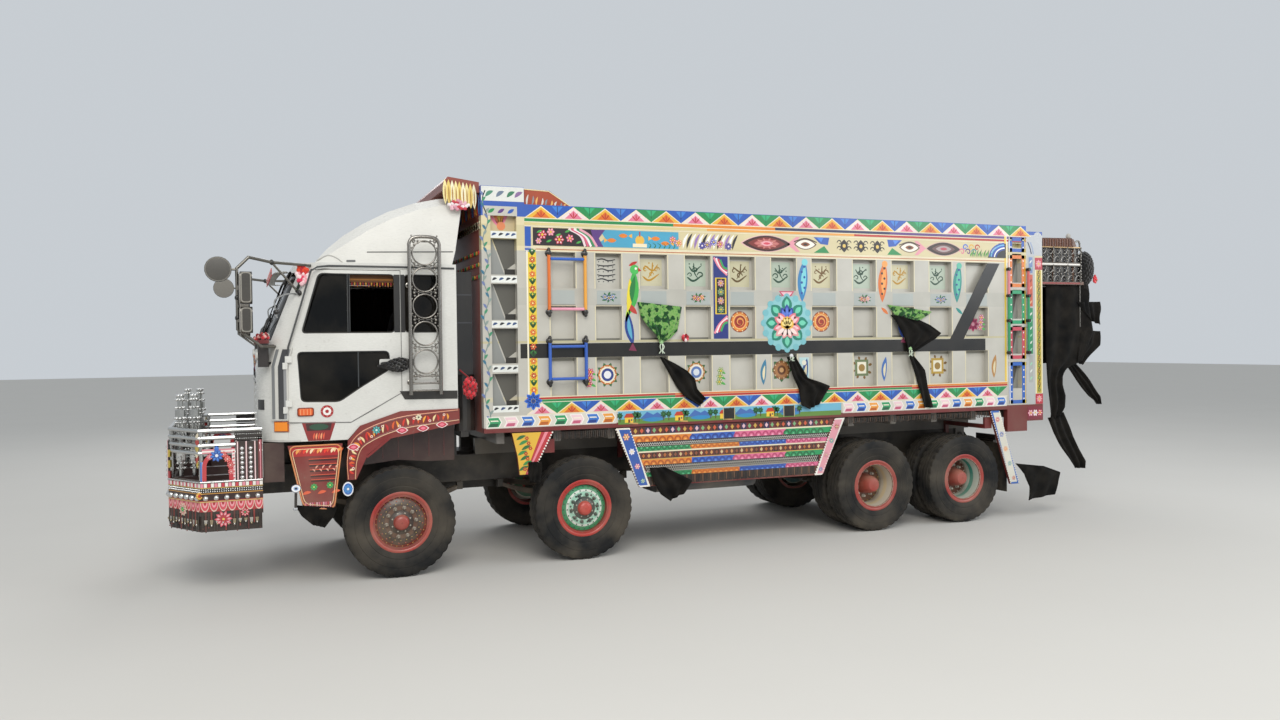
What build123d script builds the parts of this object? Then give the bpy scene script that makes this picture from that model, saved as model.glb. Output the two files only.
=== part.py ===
from build123d import *
import os

# A decorated forward-control tipper truck with two steered front axles and a twin-tyred rear bogie.
# Millimetres. The truck faces -X, its left side is -Y and the road is Z = 0.
# Lengths along the truck are written as distances behind axle 1, and at_x() places them.

# Overall and wheel spacing
front_overhang = 2065.0  # nose of the guard ahead of axle 1
rear_overhang = 2035.0  # tail of the rear rack behind axle 4
steer_spacing = 1880.0  # axle 1 to axle 2
main_gap = 3630.0  # axle 2 to axle 3
bogie_spacing = 1305.0  # axle 3 to axle 4
axle_stations = (
    0.0,
    steer_spacing,
    steer_spacing + main_gap,
    steer_spacing + main_gap + bogie_spacing,
)
overall_length = front_overhang + axle_stations[3] + rear_overhang
axle_1_x = front_overhang - overall_length / 2
nose_x = -front_overhang
tail_x = axle_stations[3] + rear_overhang

# Running clearances
fit_gap = 0.3  # pieces that rest on each other across a joint
shut_gap = 6.0  # doors, tailgate and other moving panels
pin_gap = 1.0  # a pin in its bore
hub_gap = 0.7  # a hub on its stub axle

# Tyres and rims
tyre_radius = 537.5
tyre_width = 284.0
tyre_shoulder = 26.0
rim_bead_radius = 262.0
rim_flange_radius = 298.0
rim_half_width = 115.0
front_track_half = 1060.0
dual_spacing = 330.0
rear_outer_half = 1082.0
stub_radius = 40.0
rear_tube_radius = 68.0
wheel_flats = 24
bar_flats = 8
shaft_flats = 16

# Steering
kingpin_half = 900.0
kingpin_radius = 20.0
beam_eye_radius = 50.0
beam_eye_height = 80.0
beam_half_width = 45.0
ear_thickness = 55.0

# Chassis frame
rail_top = 1080.0
rail_height = 280.0
rail_outer = 430.0
rail_flange = 85.0
rail_web = 10.0
rail_front = -1290.0
rail_rear = 7300.0
cross_bar_width = 100.0
cross_bar_bottom = 830.0
cross_bar_height = 100.0
spring_inner = 395.0
spring_outer = 475.0
rear_spring_inner = 480.0
rear_spring_outer = 560.0

# Cab
cab_half = 1225.0
cab_wall = 60.0
cab_rear = 560.0
cab_bottom = 1373.0
cab_roof_top = 3050.0
cab_corner = 390.0
cab_floor_bottom = 1640.0
cab_floor_thickness = 60.0
glass_inset = 22.0
glass_thickness = 6.0
cab_front_line = (  # height, front face behind axle 1
    (cab_bottom, -1290.0),
    (2080.0, -1290.0),
    (2290.0, -1233.0),
    (cab_roof_top, -934.0),
)
door_rear = 15.0
door_outline = (  # behind axle 1, height
    (-1030.0, 1557.0),
    (-462.0, 1540.0),
    (door_rear, 1805.0),
    (door_rear, 2978.0),
    (-792.0, 2978.0),
    (-1005.0, 2260.0),
)
door_hinge_x = -1034.0
door_hinge_out = cab_half + 10.0
window_top = 2942.0
window_sill = 2386.0
door_window = ((-889.0, window_sill), (-731.0, window_top), (-40.0, window_top), (-40.0, window_sill))
door_divider = -465.0
door_divider_width = 24.0
low_window = (
    (-930.0, 2207.0),
    (-100.0, 2207.0),
    (-88.0, 2034.0),
    (-364.0, 1868.0),
    (-562.0, 1735.0),
    (-905.0, 1745.0),
)
quarter_window = ((55.0, window_sill), (55.0, window_top), (410.0, window_top), (404.0, window_sill))
window_corner = 32.0
hinge_barrel_radius = 10.0
hinge_barrel_length = 60.0
hinge_barrels = (1702.0, 2112.0)
windscreen_half = 1050.0
windscreen_bottom = 2320.0
windscreen_top = 2962.0
grille_half = 640.0
grille_low = 1450.0
grille_high = 1890.0
grille_depth = 24.0
grille_slats = 6
grille_slat_height = 34.0
arch_edge = (  # lower edge of the white flare over wheel 1
    (-500.0, 1364.0),
    (-380.0, 1500.0),
    (0.0, 1625.0),
    (cab_rear, 1631.0),
)

# Bed
hinge_x = 7400.0
hinge_z = 1000.0
hinge_pin_radius = 30.0
bed_front = 812.0
bed_rear = 7766.0
bed_half = 1250.0
bed_bottom = 1371.0
bed_top = 3670.0
bed_wall = 100.0
bed_sheet = 30.0
bed_floor_thickness = 60.0
headboard_thickness = 60.0
fin_rear = 8028.0
fin_inner = 1190.0
tailgate_hinge_x = 7815.0
tailgate_hinge_z = 3560.0
tailgate_thickness = 70.0
tailgate_half = 1180.0
tailgate_bottom = 1400.0

# Hoist
hoist_foot_x = 6450.0
hoist_foot_z = 880.0
hoist_head_x = 3700.0
hoist_head_z = 1180.0
barrel_radius = 80.0
rod_radius = 38.0
hoist_pin_radius = 25.0


def at_x(distance):
    """Model X of a distance behind axle 1."""
    return axle_1_x + distance


def block(x_range, y_range, z_range, mode=Mode.ADD):
    """A box between two distances behind axle 1, two Y values and two heights."""
    (x0, x1), (y0, y1), (z0, z1) = x_range, y_range, z_range
    with Locations((at_x((x0 + x1) / 2), (y0 + y1) / 2, (z0 + z1) / 2)):
        Box(abs(x1 - x0), abs(y1 - y0), abs(z1 - z0), mode=mode)


def side_plate(points, y_range, corner=0.0, margin=0.0, mode=Mode.ADD):
    """A plate with a side-view outline, grown by a margin, between two Y values."""
    y0, y1 = min(y_range), max(y_range)
    with BuildSketch(Plane.XZ.offset(-y1)) as outline:
        with BuildLine():
            Polyline(*[(at_x(x), z) for x, z in points], close=True)
        make_face()
        if margin > 0:
            offset(amount=margin, kind=Kind.INTERSECTION)
        if corner > 0:
            fillet(outline.vertices(), corner)
    extrude(outline.sketch, amount=y1 - y0, mode=mode)


def rod_between(start, end, radius, mode=Mode.ADD):
    """A round bar between two points given as distance behind axle 1, Y and Z."""
    first = Vector(at_x(start[0]), start[1], start[2])
    last = Vector(at_x(end[0]), end[1], end[2])
    with BuildSketch(Plane(origin=first, z_dir=last - first)) as section:
        Circle(radius)
    extrude(section.sketch, amount=(last - first).length, mode=mode)


def bar_between(start, end, radius, flats=bar_flats):
    """A bar with a few flats between two points given as distance behind axle 1, Y and Z."""
    first = Vector(at_x(start[0]), start[1], start[2])
    last = Vector(at_x(end[0]), end[1], end[2])
    with BuildSketch(Plane(origin=first, z_dir=last - first)) as section:
        RegularPolygon(radius, flats)
    extrude(section.sketch, amount=(last - first).length)


def bent_tube(points, radius):
    """A bar through points given as distance behind axle 1, Y and Z, mitred at each corner."""
    with BuildLine() as route:
        Polyline(*[(at_x(x), y, z) for x, y, z in points])
    with BuildSketch(Plane(origin=route.line @ 0, z_dir=route.line % 0)) as section:
        RegularPolygon(radius, bar_flats)
    sweep(section.sketch, path=route.line, transition=Transition.RIGHT)


def wheel_form(x, y, sign, profile, mode=Mode.ADD):
    """A many-sided wheel body; the profile gives outward distance and the radius to its flats."""
    levels = []
    for out, radius in profile:
        with BuildSketch(
            Plane(origin=(at_x(x), y + sign * out, tyre_radius), x_dir=(1, 0, 0), z_dir=(0, sign, 0))
        ) as level:
            RegularPolygon(radius, wheel_flats, major_radius=False, rotation=180 / wheel_flats)
        levels.append(level.sketch)
    loft(levels, ruled=True, mode=mode)


def cab_form(inset, low, high, mode=Mode.ADD):
    """The cab's outer form, drawn in by an inset, between two heights."""
    heights = [low] + [h for h, _ in cab_front_line if low < h < high] + [high]
    levels = []
    for height in heights:
        with BuildSketch(Plane.XY.offset(height)) as level:
            front = cab_front_at(height) + inset
            rear = cab_rear - inset
            with Locations((at_x((front + rear) / 2), 0)):
                Rectangle(rear - front, 2 * (cab_half - inset))
            fillet(level.vertices().group_by(Axis.X)[0], cab_corner - inset)
        levels.append(level.sketch)
    loft(levels, ruled=True, mode=mode)


def cab_front_at(height):
    """How far the cab's front face lies behind axle 1 at a height."""
    for (z0, x0), (z1, x1) in zip(cab_front_line, cab_front_line[1:]):
        if height <= z1:
            return x0 + (x1 - x0) * (height - z0) / (z1 - z0)
    return cab_front_line[-1][1]


def cab_shell():
    """The cab's walls and roof, open below."""
    cab_form(0, cab_bottom, cab_roof_top)
    cab_form(cab_wall, cab_bottom, cab_roof_top - cab_wall, mode=Mode.SUBTRACT)


def save(name, part):
    """Label a piece and write its file."""
    part.label = name
    export_step(part, f"parts/{name}.step")


os.makedirs("parts", exist_ok=True)
sides = (("left", -1), ("right", 1))

# Chassis frame: two channel rails, cross bars, spring hangers, cab mounts and the bed's hinge pins
rail_bottom = rail_top - rail_height
rail_inner = rail_outer - rail_flange
spring_half_length = 690.0
hanger_drop = 80.0
hanger_length = 60.0
cab_mount_stations = (-1130.0, 400.0)
cab_mount_length = 90.0
cross_bars = (  # station, bottom
    (-1230.0, cross_bar_bottom), (1500.0, 960.0), (3100.0, cross_bar_bottom), (4400.0, cross_bar_bottom),
    (5150.0, cross_bar_bottom), (7230.0, cross_bar_bottom),
)
bogie_centre = (axle_stations[2] + axle_stations[3]) / 2
trunnion_z = 700.0
trunnion_radius = 40.0
hinge_plate = (240.0, 285.0)
hinge_plate_radius = 70.0
tow_plate_rear = 7440.0
tow_plate_half = 70.0
tow_plate_z = 850.0
tow_plate_thickness = 35.0
tow_hole_x = 7385.0
tow_hole_radius = 25.0

bracket_face = rear_spring_inner - 5.0
with BuildPart() as chassis_frame:
    for _, sign in sides:
        block(
            (rail_front, rail_rear), (sign * (rail_outer - rail_web), sign * rail_outer),
            (rail_bottom, rail_top),
        )
        for z in (rail_bottom, rail_top - rail_web):
            block((rail_front, rail_rear), (sign * rail_inner, sign * rail_outer), (z, z + rail_web))
        for axle in axle_stations[:2]:
            for end in (-1, 1):
                near = axle + end * spring_half_length
                block(
                    (near, near + end * hanger_length),
                    (sign * spring_inner, sign * spring_outer),
                    (rail_bottom - hanger_drop, rail_bottom),
                )
        for station in cab_mount_stations:
            block(
                (station - cab_mount_length / 2, station + cab_mount_length / 2),
                (sign * rail_inner, sign * rail_outer),
                (rail_top + fit_gap, cab_floor_bottom),
            )
        block(
            (bogie_centre - 80, bogie_centre + 80), (sign * rail_outer, sign * bracket_face),
            (trunnion_z - 60, rail_top - 100),
        )
        bar_between(
            (bogie_centre, sign * rail_outer, trunnion_z), (
                bogie_centre, sign * (rear_spring_outer + 20), trunnion_z,
            ),
            trunnion_radius, shaft_flats,
        )
        block(
            (rail_rear - 60, hinge_x), (sign * hinge_plate[0], sign * hinge_plate[1]),
            (hinge_z - hinge_plate_radius, hinge_z + hinge_plate_radius),
        )
        bar_between(
            (hinge_x, sign * hinge_plate[0], hinge_z), (hinge_x, sign * hinge_plate[1], hinge_z),
            hinge_plate_radius, shaft_flats,
        )
        rod_between(
            (hinge_x, sign * hinge_plate[0], hinge_z), (
                hinge_x, sign * (rail_outer + 10), hinge_z,
            ), hinge_pin_radius,
        )
        block(
            (hoist_foot_x - 45, hoist_foot_x + 45), (sign * 60, sign * 80), (
                cross_bar_bottom - 30, hoist_foot_z + 45,
            ),
        )
    bar_half = rail_outer - rail_web - fit_gap
    for station, low in cross_bars:
        block(
            (station - cross_bar_width / 2, station + cross_bar_width / 2), (-bar_half, bar_half),
            (low, low + cross_bar_height),
        )
    foot_half = rail_inner - fit_gap
    block((hoist_foot_x - 45, hoist_foot_x + 45), (-foot_half, foot_half), (rail_bottom, rail_bottom + 25))
    block((rail_rear - 60, rail_rear), (-bar_half, bar_half), (cross_bar_bottom, rail_top - 2 * rail_web))
    rod_between((hoist_foot_x, -80, hoist_foot_z), (hoist_foot_x, 80, hoist_foot_z), hoist_pin_radius)
    block(
        (rail_rear, tow_plate_rear), (-tow_plate_half, tow_plate_half),
        (tow_plate_z, tow_plate_z + tow_plate_thickness),
    )
    with Locations((at_x(tow_hole_x), 0, tow_plate_z + tow_plate_thickness / 2)):
        Cylinder(tow_hole_radius, tow_plate_thickness, mode=Mode.SUBTRACT)
save("chassis_frame", chassis_frame.part)

# Front axle beams: forged drop beams with an eye for each kingpin
beam_top = tyre_radius + beam_eye_height / 2
beam_bottom = tyre_radius - beam_eye_height / 2
beam_drop = 40.0
beam_bend = 640.0
beam_neck = kingpin_half - beam_eye_radius - 12.0
spring_seat_height = 40.0
with BuildPart() as front_axles:
    for axle in axle_stations[:2]:
        with BuildSketch(Plane.YZ.offset(at_x(axle + beam_half_width))) as beam:
            with BuildLine():
                Polyline(
                    (-kingpin_half, beam_top), (-beam_bend, beam_top - beam_drop),
                    (beam_bend, beam_top - beam_drop),
                    (kingpin_half, beam_top), (kingpin_half, beam_bottom), (beam_neck, beam_bottom),
                    (beam_bend - 60, beam_bottom - beam_drop), (60 - beam_bend, beam_bottom - beam_drop),
                    (-beam_neck, beam_bottom), (-kingpin_half, beam_bottom), close=True,
                )
            make_face()
        extrude(amount=-2 * beam_half_width)
        for _, sign in sides:
            with Locations((at_x(axle), sign * kingpin_half, tyre_radius)):
                Cylinder(beam_eye_radius, beam_eye_height)
                Cylinder(kingpin_radius + pin_gap, beam_eye_height, mode=Mode.SUBTRACT)
            block(
                (axle - 70, axle + 70),
                (sign * (spring_inner - 10), sign * (spring_outer + 10)),
                (beam_top - beam_drop, beam_top - beam_drop + spring_seat_height),
            )
save("front_axles", front_axles.part)

# Rear axle housings: a tube through a round differential case with its pinion nose
case_radius = 190.0
case_width = 200.0
nose_length = 240.0
rear_seat_top = tyre_radius + rear_tube_radius + 40.0
rear_tube_end = rear_outer_half - 62.0
with BuildPart() as rear_axles:
    for axle in axle_stations[2:]:
        bar_between(
            (axle, -rear_tube_end, tyre_radius), (axle, rear_tube_end, tyre_radius), rear_tube_radius,
            shaft_flats,
        )
        bar_between(
            (axle - case_width / 2, 0, tyre_radius), (axle + case_width / 2, 0, tyre_radius), case_radius,
            shaft_flats,
        )
        bar_between((axle - nose_length, 0, tyre_radius), (axle, 0, tyre_radius), 95, shaft_flats)
        for _, sign in sides:
            block(
                (axle - 60, axle + 60), (sign * (rear_spring_inner - 10), sign * (rear_spring_outer + 10)),
                (tyre_radius, rear_seat_top),
            )
save("rear_axles", rear_axles.part)

# Leaf springs: a long leaf pack on each front axle, and one equaliser pack a side over the bogie
spring_base = beam_top - beam_drop + spring_seat_height
spring_eye_z = rail_bottom - hanger_drop
leaf_pack = 62.0
bogie_spring_top = trunnion_z + trunnion_radius + 90.0
with BuildPart() as springs:
    for _, sign in sides:
        for axle in axle_stations[:2]:
            with BuildSketch(Plane.XZ.offset(-sign * (spring_inner + spring_outer) / 2)) as pack:
                with BuildLine():
                    ends = [
                        (at_x(axle - spring_half_length), spring_eye_z),
                        (at_x(axle + spring_half_length), spring_eye_z),
                    ]
                    ThreePointArc(ends[0], (at_x(axle), spring_base), ends[1])
                    Line(ends[1], (ends[1][0], spring_eye_z + 40))
                    ThreePointArc(
                        (ends[1][0], spring_eye_z + 40), (at_x(axle), spring_base + leaf_pack),
                        (ends[0][0], spring_eye_z + 40),
                    )
                    Line((ends[0][0], spring_eye_z + 40), ends[0])
                make_face()
            extrude(amount=(spring_outer - spring_inner) / 2, both=True)
        with BuildSketch(Plane.XZ.offset(-sign * (rear_spring_inner + rear_spring_outer) / 2)) as pack:
            with BuildLine():
                low = [
                    (at_x(axle_stations[2] - 60), rear_seat_top),
                    (at_x(axle_stations[3] + 60), rear_seat_top),
                ]
                saddle = (at_x(bogie_centre), trunnion_z + trunnion_radius + fit_gap)
                ThreePointArc(low[0], saddle, low[1])
                Line(low[1], (low[1][0], rear_seat_top + 30))
                ThreePointArc(
                    (low[1][0], rear_seat_top + 30), (at_x(bogie_centre), bogie_spring_top),
                    (low[0][0], rear_seat_top + 30),
                )
                Line((low[0][0], rear_seat_top + 30), low[0])
            make_face()
        extrude(amount=(rear_spring_outer - rear_spring_inner) / 2, both=True)
save("springs", springs.part)

# Engine, gearbox and radiator under the cab
engine_half = 330.0
engine_feet = (-500.0, 300.0)
gearbox_rear = 1150.0
shaft_z = 860.0
with BuildPart() as engine:
    block((-650, 450), (-engine_half, engine_half), (700, 1500))
    block((450, gearbox_rear), (-200, 200), (690, 1100))
    block((-980, -650), (-280, 280), (880, 1450))
    block((-1050, -980), (-engine_half, engine_half), (850, 1600))
    for station in engine_feet:
        block((station - 50, station + 50), (-rail_inner, rail_inner), (900, 960))
save("engine", engine.part)

# Propeller shafts with their centre bearing
shaft_radius = 50.0
flange_radius = 75.0
bearing_x = cross_bars[2][0]
bearing_z = cross_bar_bottom - 60.0
pinion_x = axle_stations[2] - nose_length
with BuildPart() as propshafts:
    bar_between((gearbox_rear, 0, shaft_z), (gearbox_rear + 60, 0, shaft_z), flange_radius)
    bar_between((gearbox_rear + 40, 0, shaft_z), (bearing_x, 0, bearing_z), shaft_radius)
    block((bearing_x - 40, bearing_x + 40), (-70, 70), (bearing_z, cross_bar_bottom))
    bar_between((bearing_x, 0, bearing_z), (pinion_x - 40, 0, tyre_radius), shaft_radius)
    bar_between((pinion_x - 60, 0, tyre_radius), (pinion_x, 0, tyre_radius), flange_radius)
    bar_between(
        (axle_stations[2] + case_width / 2, 0, tyre_radius),
        (axle_stations[3] - nose_length, 0, tyre_radius), shaft_radius,
    )
save("propshafts", propshafts.part)

# Fuel tank on the left and battery box on the right, each on two brackets
tank_inner = 560.0
tank_outer = 1120.0
with BuildPart() as side_tanks:
    for sign, (x0, x1), (z0, z1), corner in (
        (-1, (2750, 3950), (620, 1150), 120), (1, (2750, 3650), (680, 1120), 25),
    ):
        with BuildSketch(Plane.YZ.offset(at_x(x0))) as tank:
            with Locations((sign * (tank_inner + tank_outer) / 2, (z0 + z1) / 2)):
                RectangleRounded(tank_outer - tank_inner, z1 - z0, corner)
        extrude(amount=x1 - x0)
        for station in (x0 + 150, x1 - 150):
            block(
                (station - 30, station + 30), (sign * rail_outer, sign * (tank_inner + 40)),
                (rail_bottom + 10, rail_top - 40),
            )
save("side_tanks", side_tanks.part)

# Knuckles: two ears round the beam's eye, the kingpin, and the stub axle
knuckle_face = kingpin_half + beam_eye_radius + shut_gap
knuckle_thickness = 20.0
ear_reach = knuckle_face + knuckle_thickness - kingpin_half
stub_end = front_track_half + 55.0
for number, axle in enumerate(axle_stations[:2], 1):
    for side, sign in sides:
        with BuildPart() as knuckle:
            for end in (-1, 1):
                z0 = tyre_radius + end * (beam_eye_height / 2 + 5)
                z1 = z0 + end * ear_thickness
                bar_between(
                    (axle, sign * kingpin_half, z0), (axle, sign * kingpin_half, z1),
                    beam_eye_radius - 2, shaft_flats,
                )
                block(
                    (axle - 46, axle + 46), (sign * kingpin_half, sign * (kingpin_half + ear_reach)),
                    (z0, z1),
                )
            block(
                (axle - 46, axle + 46),
                (sign * knuckle_face, sign * (knuckle_face + knuckle_thickness)),
                (
                    tyre_radius - beam_eye_height / 2 - 5 - ear_thickness,
                    tyre_radius + beam_eye_height / 2 + 5 + ear_thickness,
                ),
            )
            bar_between(
                (axle, sign * kingpin_half, beam_bottom - 10), (axle, sign * kingpin_half, beam_top + 10),
                kingpin_radius, shaft_flats,
            )
            bar_between(
                (axle, sign * knuckle_face, tyre_radius), (axle, sign * stub_end, tyre_radius),
                stub_radius, shaft_flats,
            )
        save(f"knuckle_{number}_{side}", knuckle.part)

# Wheels: single rims on the steered axles, twin deep-dished rims on the bogie
half = tyre_width / 2
tyre_outer = (  # outward distance, radius
    (-half, tyre_radius - tyre_shoulder - 40),
    (-half + tyre_shoulder + 4, tyre_radius),
    (half - tyre_shoulder - 4, tyre_radius),
    (half, tyre_radius - tyre_shoulder - 40),
)
flange_width = 8.0
bead_plane = rim_half_width - flange_width
single_front = (
    (56, rim_bead_radius - 10), (74, rim_bead_radius - 10), (100, 178), (104, 108), (118, 72), (158, 62),
)
drum = ((-70, 200), (57, 200))
twin_drum = ((-430, 205), (-174, 205))
for number, axle in enumerate(axle_stations, 1):
    twin = number > 2
    centre = rear_outer_half if twin else front_track_half
    planes = (0.0, -dual_spacing) if twin else (0.0,)
    for side, sign in sides:
        hub_y = sign * centre
        with BuildPart() as rim:
            for shift in planes:
                y = hub_y + sign * shift
                wheel_form(
                    axle, y, sign,
                    ((-rim_half_width, rim_flange_radius), (-bead_plane - fit_gap, rim_flange_radius)),
                )
                wheel_form(
                    axle, y, sign,
                    ((bead_plane + fit_gap, rim_flange_radius), (rim_half_width, rim_flange_radius)),
                )
                wheel_form(
                    axle, y, sign, ((-rim_half_width, rim_bead_radius), (rim_half_width, rim_bead_radius)),
                )
                wheel_form(
                    axle, y, sign, (
                        (-rim_half_width - 1, rim_bead_radius - 14),
                        (rim_half_width + 1, rim_bead_radius - 14),
                    ),
                    mode=Mode.SUBTRACT,
                )
            if twin:
                wheel_form(axle, hub_y, sign, ((-220, rim_bead_radius), (-112, rim_bead_radius)))
                wheel_form(axle, hub_y, sign, ((-221, 232), (-111, 232)), mode=Mode.SUBTRACT)
                wheel_form(axle, hub_y, sign, ((-180, 240), (-155, 240)))
                wheel_form(axle, hub_y, sign, ((-156, 118), (-40, 100), (30, 84), (44, 60)))
                wheel_form(axle, hub_y, sign, twin_drum)
                rod_between(
                    (axle, hub_y - sign * 431, tyre_radius), (axle, hub_y - sign * 58, tyre_radius),
                    rear_tube_radius + pin_gap, mode=Mode.SUBTRACT,
                )
            else:
                wheel_form(axle, hub_y, sign, single_front)
                wheel_form(axle, hub_y, sign, drum)
                rod_between(
                    (axle, hub_y - sign * 71, tyre_radius), (axle, hub_y + sign * 60, tyre_radius),
                    stub_radius + hub_gap, mode=Mode.SUBTRACT,
                )
        save(f"rim_{number}_{side}", rim.part)
        with BuildPart() as tyre:
            for shift in planes:
                y = hub_y + sign * shift
                wheel_form(axle, y, sign, tyre_outer)
                wheel_form(
                    axle, y, sign, (
                        (-half - 1, rim_bead_radius + fit_gap), (half + 1, rim_bead_radius + fit_gap),
                    ),
                    mode=Mode.SUBTRACT,
                )
                for end in (-1, 1):
                    inner, outer = sorted((end * bead_plane, end * (half + 1)))
                    wheel_form(
                        axle, y, sign, (
                            (inner, rim_flange_radius + 3), (outer, rim_flange_radius + 3),
                        ), mode=Mode.SUBTRACT,
                    )
        save(f"tyre_{number}_{side}", tyre.part)

# Cab panels, cut from one shell along the real joints
front_joint = (  # the front panel and its pillars end here
    (-1500.0, 1300.0), (door_outline[0][0] - shut_gap, 1300.0), (
        door_outline[0][0] - shut_gap, door_outline[0][1],
    ),
    (door_outline[5][0] - shut_gap, door_outline[5][1]), (
        door_outline[4][0] - shut_gap, door_outline[4][1] + shut_gap,
    ),
    (door_outline[4][0] - shut_gap, cab_roof_top - cab_wall), (-1500.0, cab_roof_top - cab_wall),
)
arch_cut = ((arch_edge[0][0], 1300.0),) + arch_edge + (
    (cab_rear + 10, arch_edge[-1][1]), (cab_rear + 10, 1300.0),
)
inner_half = cab_half - cab_wall

with BuildPart() as cab_front:
    cab_shell()
    side_plate(front_joint, (-cab_half - 5, cab_half + 5), mode=Mode.INTERSECT)
    block(
        (-1500, -600), (-windscreen_half, windscreen_half), (windscreen_bottom, windscreen_top),
        mode=Mode.SUBTRACT,
    )
    front_face = cab_front_at(grille_low)
    block(
        (front_face - 5, front_face + grille_depth), (-grille_half, grille_half), (grille_low, grille_high),
        mode=Mode.SUBTRACT,
    )
    slat_pitch = (grille_high - grille_low) / (grille_slats + 0.5)
    for slat in range(grille_slats):
        low = grille_low + slat_pitch * (slat + 0.75) - grille_slat_height / 2
        side_plate(
            (
                (front_face + grille_depth, low),
                (front_face + 4, low - 8),
                (front_face + 4, low + grille_slat_height - 8),
                (front_face + grille_depth, low + grille_slat_height),
            ),
            (-grille_half, grille_half),
        )
    for _, sign in sides:
        for z in hinge_barrels:
            low = z - fit_gap - hinge_barrel_length
            rod_between(
                (door_hinge_x, sign * door_hinge_out, low), (
                    door_hinge_x, sign * door_hinge_out, z - fit_gap,
                ),
                hinge_barrel_radius,
            )
            block(
                (door_hinge_x - 30, door_hinge_x - 3), (sign * 1170, sign * (door_hinge_out + 6)),
                (low, z - fit_gap),
            )
save("cab_front", cab_front.part)

with BuildPart() as cab_sides:
    cab_shell()
    side_plate(front_joint, (-cab_half - 5, cab_half + 5), mode=Mode.SUBTRACT)
    block(
        (-1500, cab_rear + 10), (-cab_half - 5, cab_half + 5), (cab_roof_top - cab_wall, cab_roof_top + 5),
        mode=Mode.SUBTRACT,
    )
    block(
        (-1500, cab_rear + 10), (-inner_half, inner_half), (cab_bottom - 5, cab_roof_top + 5),
        mode=Mode.SUBTRACT,
    )
    side_plate(door_outline, (-cab_half - 5, cab_half + 5), margin=shut_gap, mode=Mode.SUBTRACT)
    side_plate(quarter_window, (-cab_half - 5, cab_half + 5), corner=window_corner, mode=Mode.SUBTRACT)
    side_plate(arch_cut, (-cab_half - 5, cab_half + 5), mode=Mode.SUBTRACT)
save("cab_sides", cab_sides.part)

with BuildPart() as cab_back:
    block(
        (cab_rear - cab_wall, cab_rear), (-inner_half, inner_half),
        (cab_floor_bottom, cab_roof_top - cab_wall),
    )
save("cab_back", cab_back.part)

with BuildPart() as cab_roof:
    cab_form(0, cab_roof_top - cab_wall, cab_roof_top)
save("cab_roof", cab_roof.part)

door_relief = 14.0
with BuildPart() as door_sweep:
    block(
        (door_outline[0][0] - 30, door_rear + shut_gap), (-cab_half, cab_half),
        (cab_floor_bottom - 1, cab_floor_bottom + cab_floor_thickness + 1),
    )
    cab_form(
        cab_wall + door_relief, cab_floor_bottom - 2, cab_floor_bottom + cab_floor_thickness + 2,
        mode=Mode.SUBTRACT,
    )
with BuildPart() as cab_floor:
    cab_form(cab_wall + fit_gap, cab_floor_bottom, cab_floor_bottom + cab_floor_thickness)
    add(door_sweep.part, mode=Mode.SUBTRACT)
save("cab_floor", cab_floor.part)

# Doors, each with an upper opening split by a bar and a low window
for side, sign in sides:
    near, far = sign * 900, sign * (cab_half + 5)
    with BuildPart() as door:
        cab_shell()
        side_plate(door_outline, (near, far), mode=Mode.INTERSECT)
        side_plate(door_window, (near, far), corner=window_corner, mode=Mode.SUBTRACT)
        side_plate(low_window, (near, far), corner=window_corner, mode=Mode.SUBTRACT)
        block(
            (door_divider - door_divider_width / 2, door_divider + door_divider_width / 2),
            (sign * (cab_half - glass_inset - 16), sign * (cab_half - glass_inset + 6)),
            (window_sill - 10, window_top + 10),
        )
        for z in hinge_barrels:
            rod_between(
                (door_hinge_x, sign * door_hinge_out, z), (
                    door_hinge_x, sign * door_hinge_out, z + hinge_barrel_length,
                ),
                hinge_barrel_radius,
            )
            block(
                (door_hinge_x + 3, door_hinge_x + 50), (sign * 1207, sign * (door_hinge_out + 6)),
                (z, z + hinge_barrel_length),
            )
    save(f"door_{side}", door.part)
    with BuildPart() as pane:
        cab_form(glass_inset, cab_bottom, cab_roof_top)
        cab_form(glass_inset + glass_thickness, cab_bottom, cab_roof_top + 5, mode=Mode.SUBTRACT)
        side_plate(door_window, (near, far), corner=window_corner, mode=Mode.INTERSECT)
        block(
            (door_divider - door_divider_width / 2, 600), (near, far), (window_sill - 10, window_top + 10),
            mode=Mode.SUBTRACT,
        )
    with BuildPart() as low_pane:
        cab_form(glass_inset, cab_bottom, cab_roof_top)
        cab_form(glass_inset + glass_thickness, cab_bottom, cab_roof_top + 5, mode=Mode.SUBTRACT)
        side_plate(low_window, (near, far), corner=window_corner, mode=Mode.INTERSECT)
    with BuildPart() as door_glass:
        add(pane.part)
        add(low_pane.part)
    save(f"door_glass_{side}", door_glass.part)

# Windscreen and rear quarter panes
with BuildPart() as screen:
    cab_form(glass_inset, cab_bottom, cab_roof_top)
    cab_form(glass_inset + glass_thickness, cab_bottom, cab_roof_top + 5, mode=Mode.SUBTRACT)
    block(
        (-1500, -600), (-windscreen_half, windscreen_half), (windscreen_bottom, windscreen_top),
        mode=Mode.INTERSECT,
    )
with BuildPart() as quarter_panes:
    for _, sign in sides:
        side_plate(
            quarter_window,
            (sign * (cab_half - glass_inset - glass_thickness), sign * (cab_half - glass_inset)),
            window_corner,
        )
with BuildPart() as cab_glass:
    add(screen.part)
    add(quarter_panes.part)
save("cab_glass", cab_glass.part)

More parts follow.
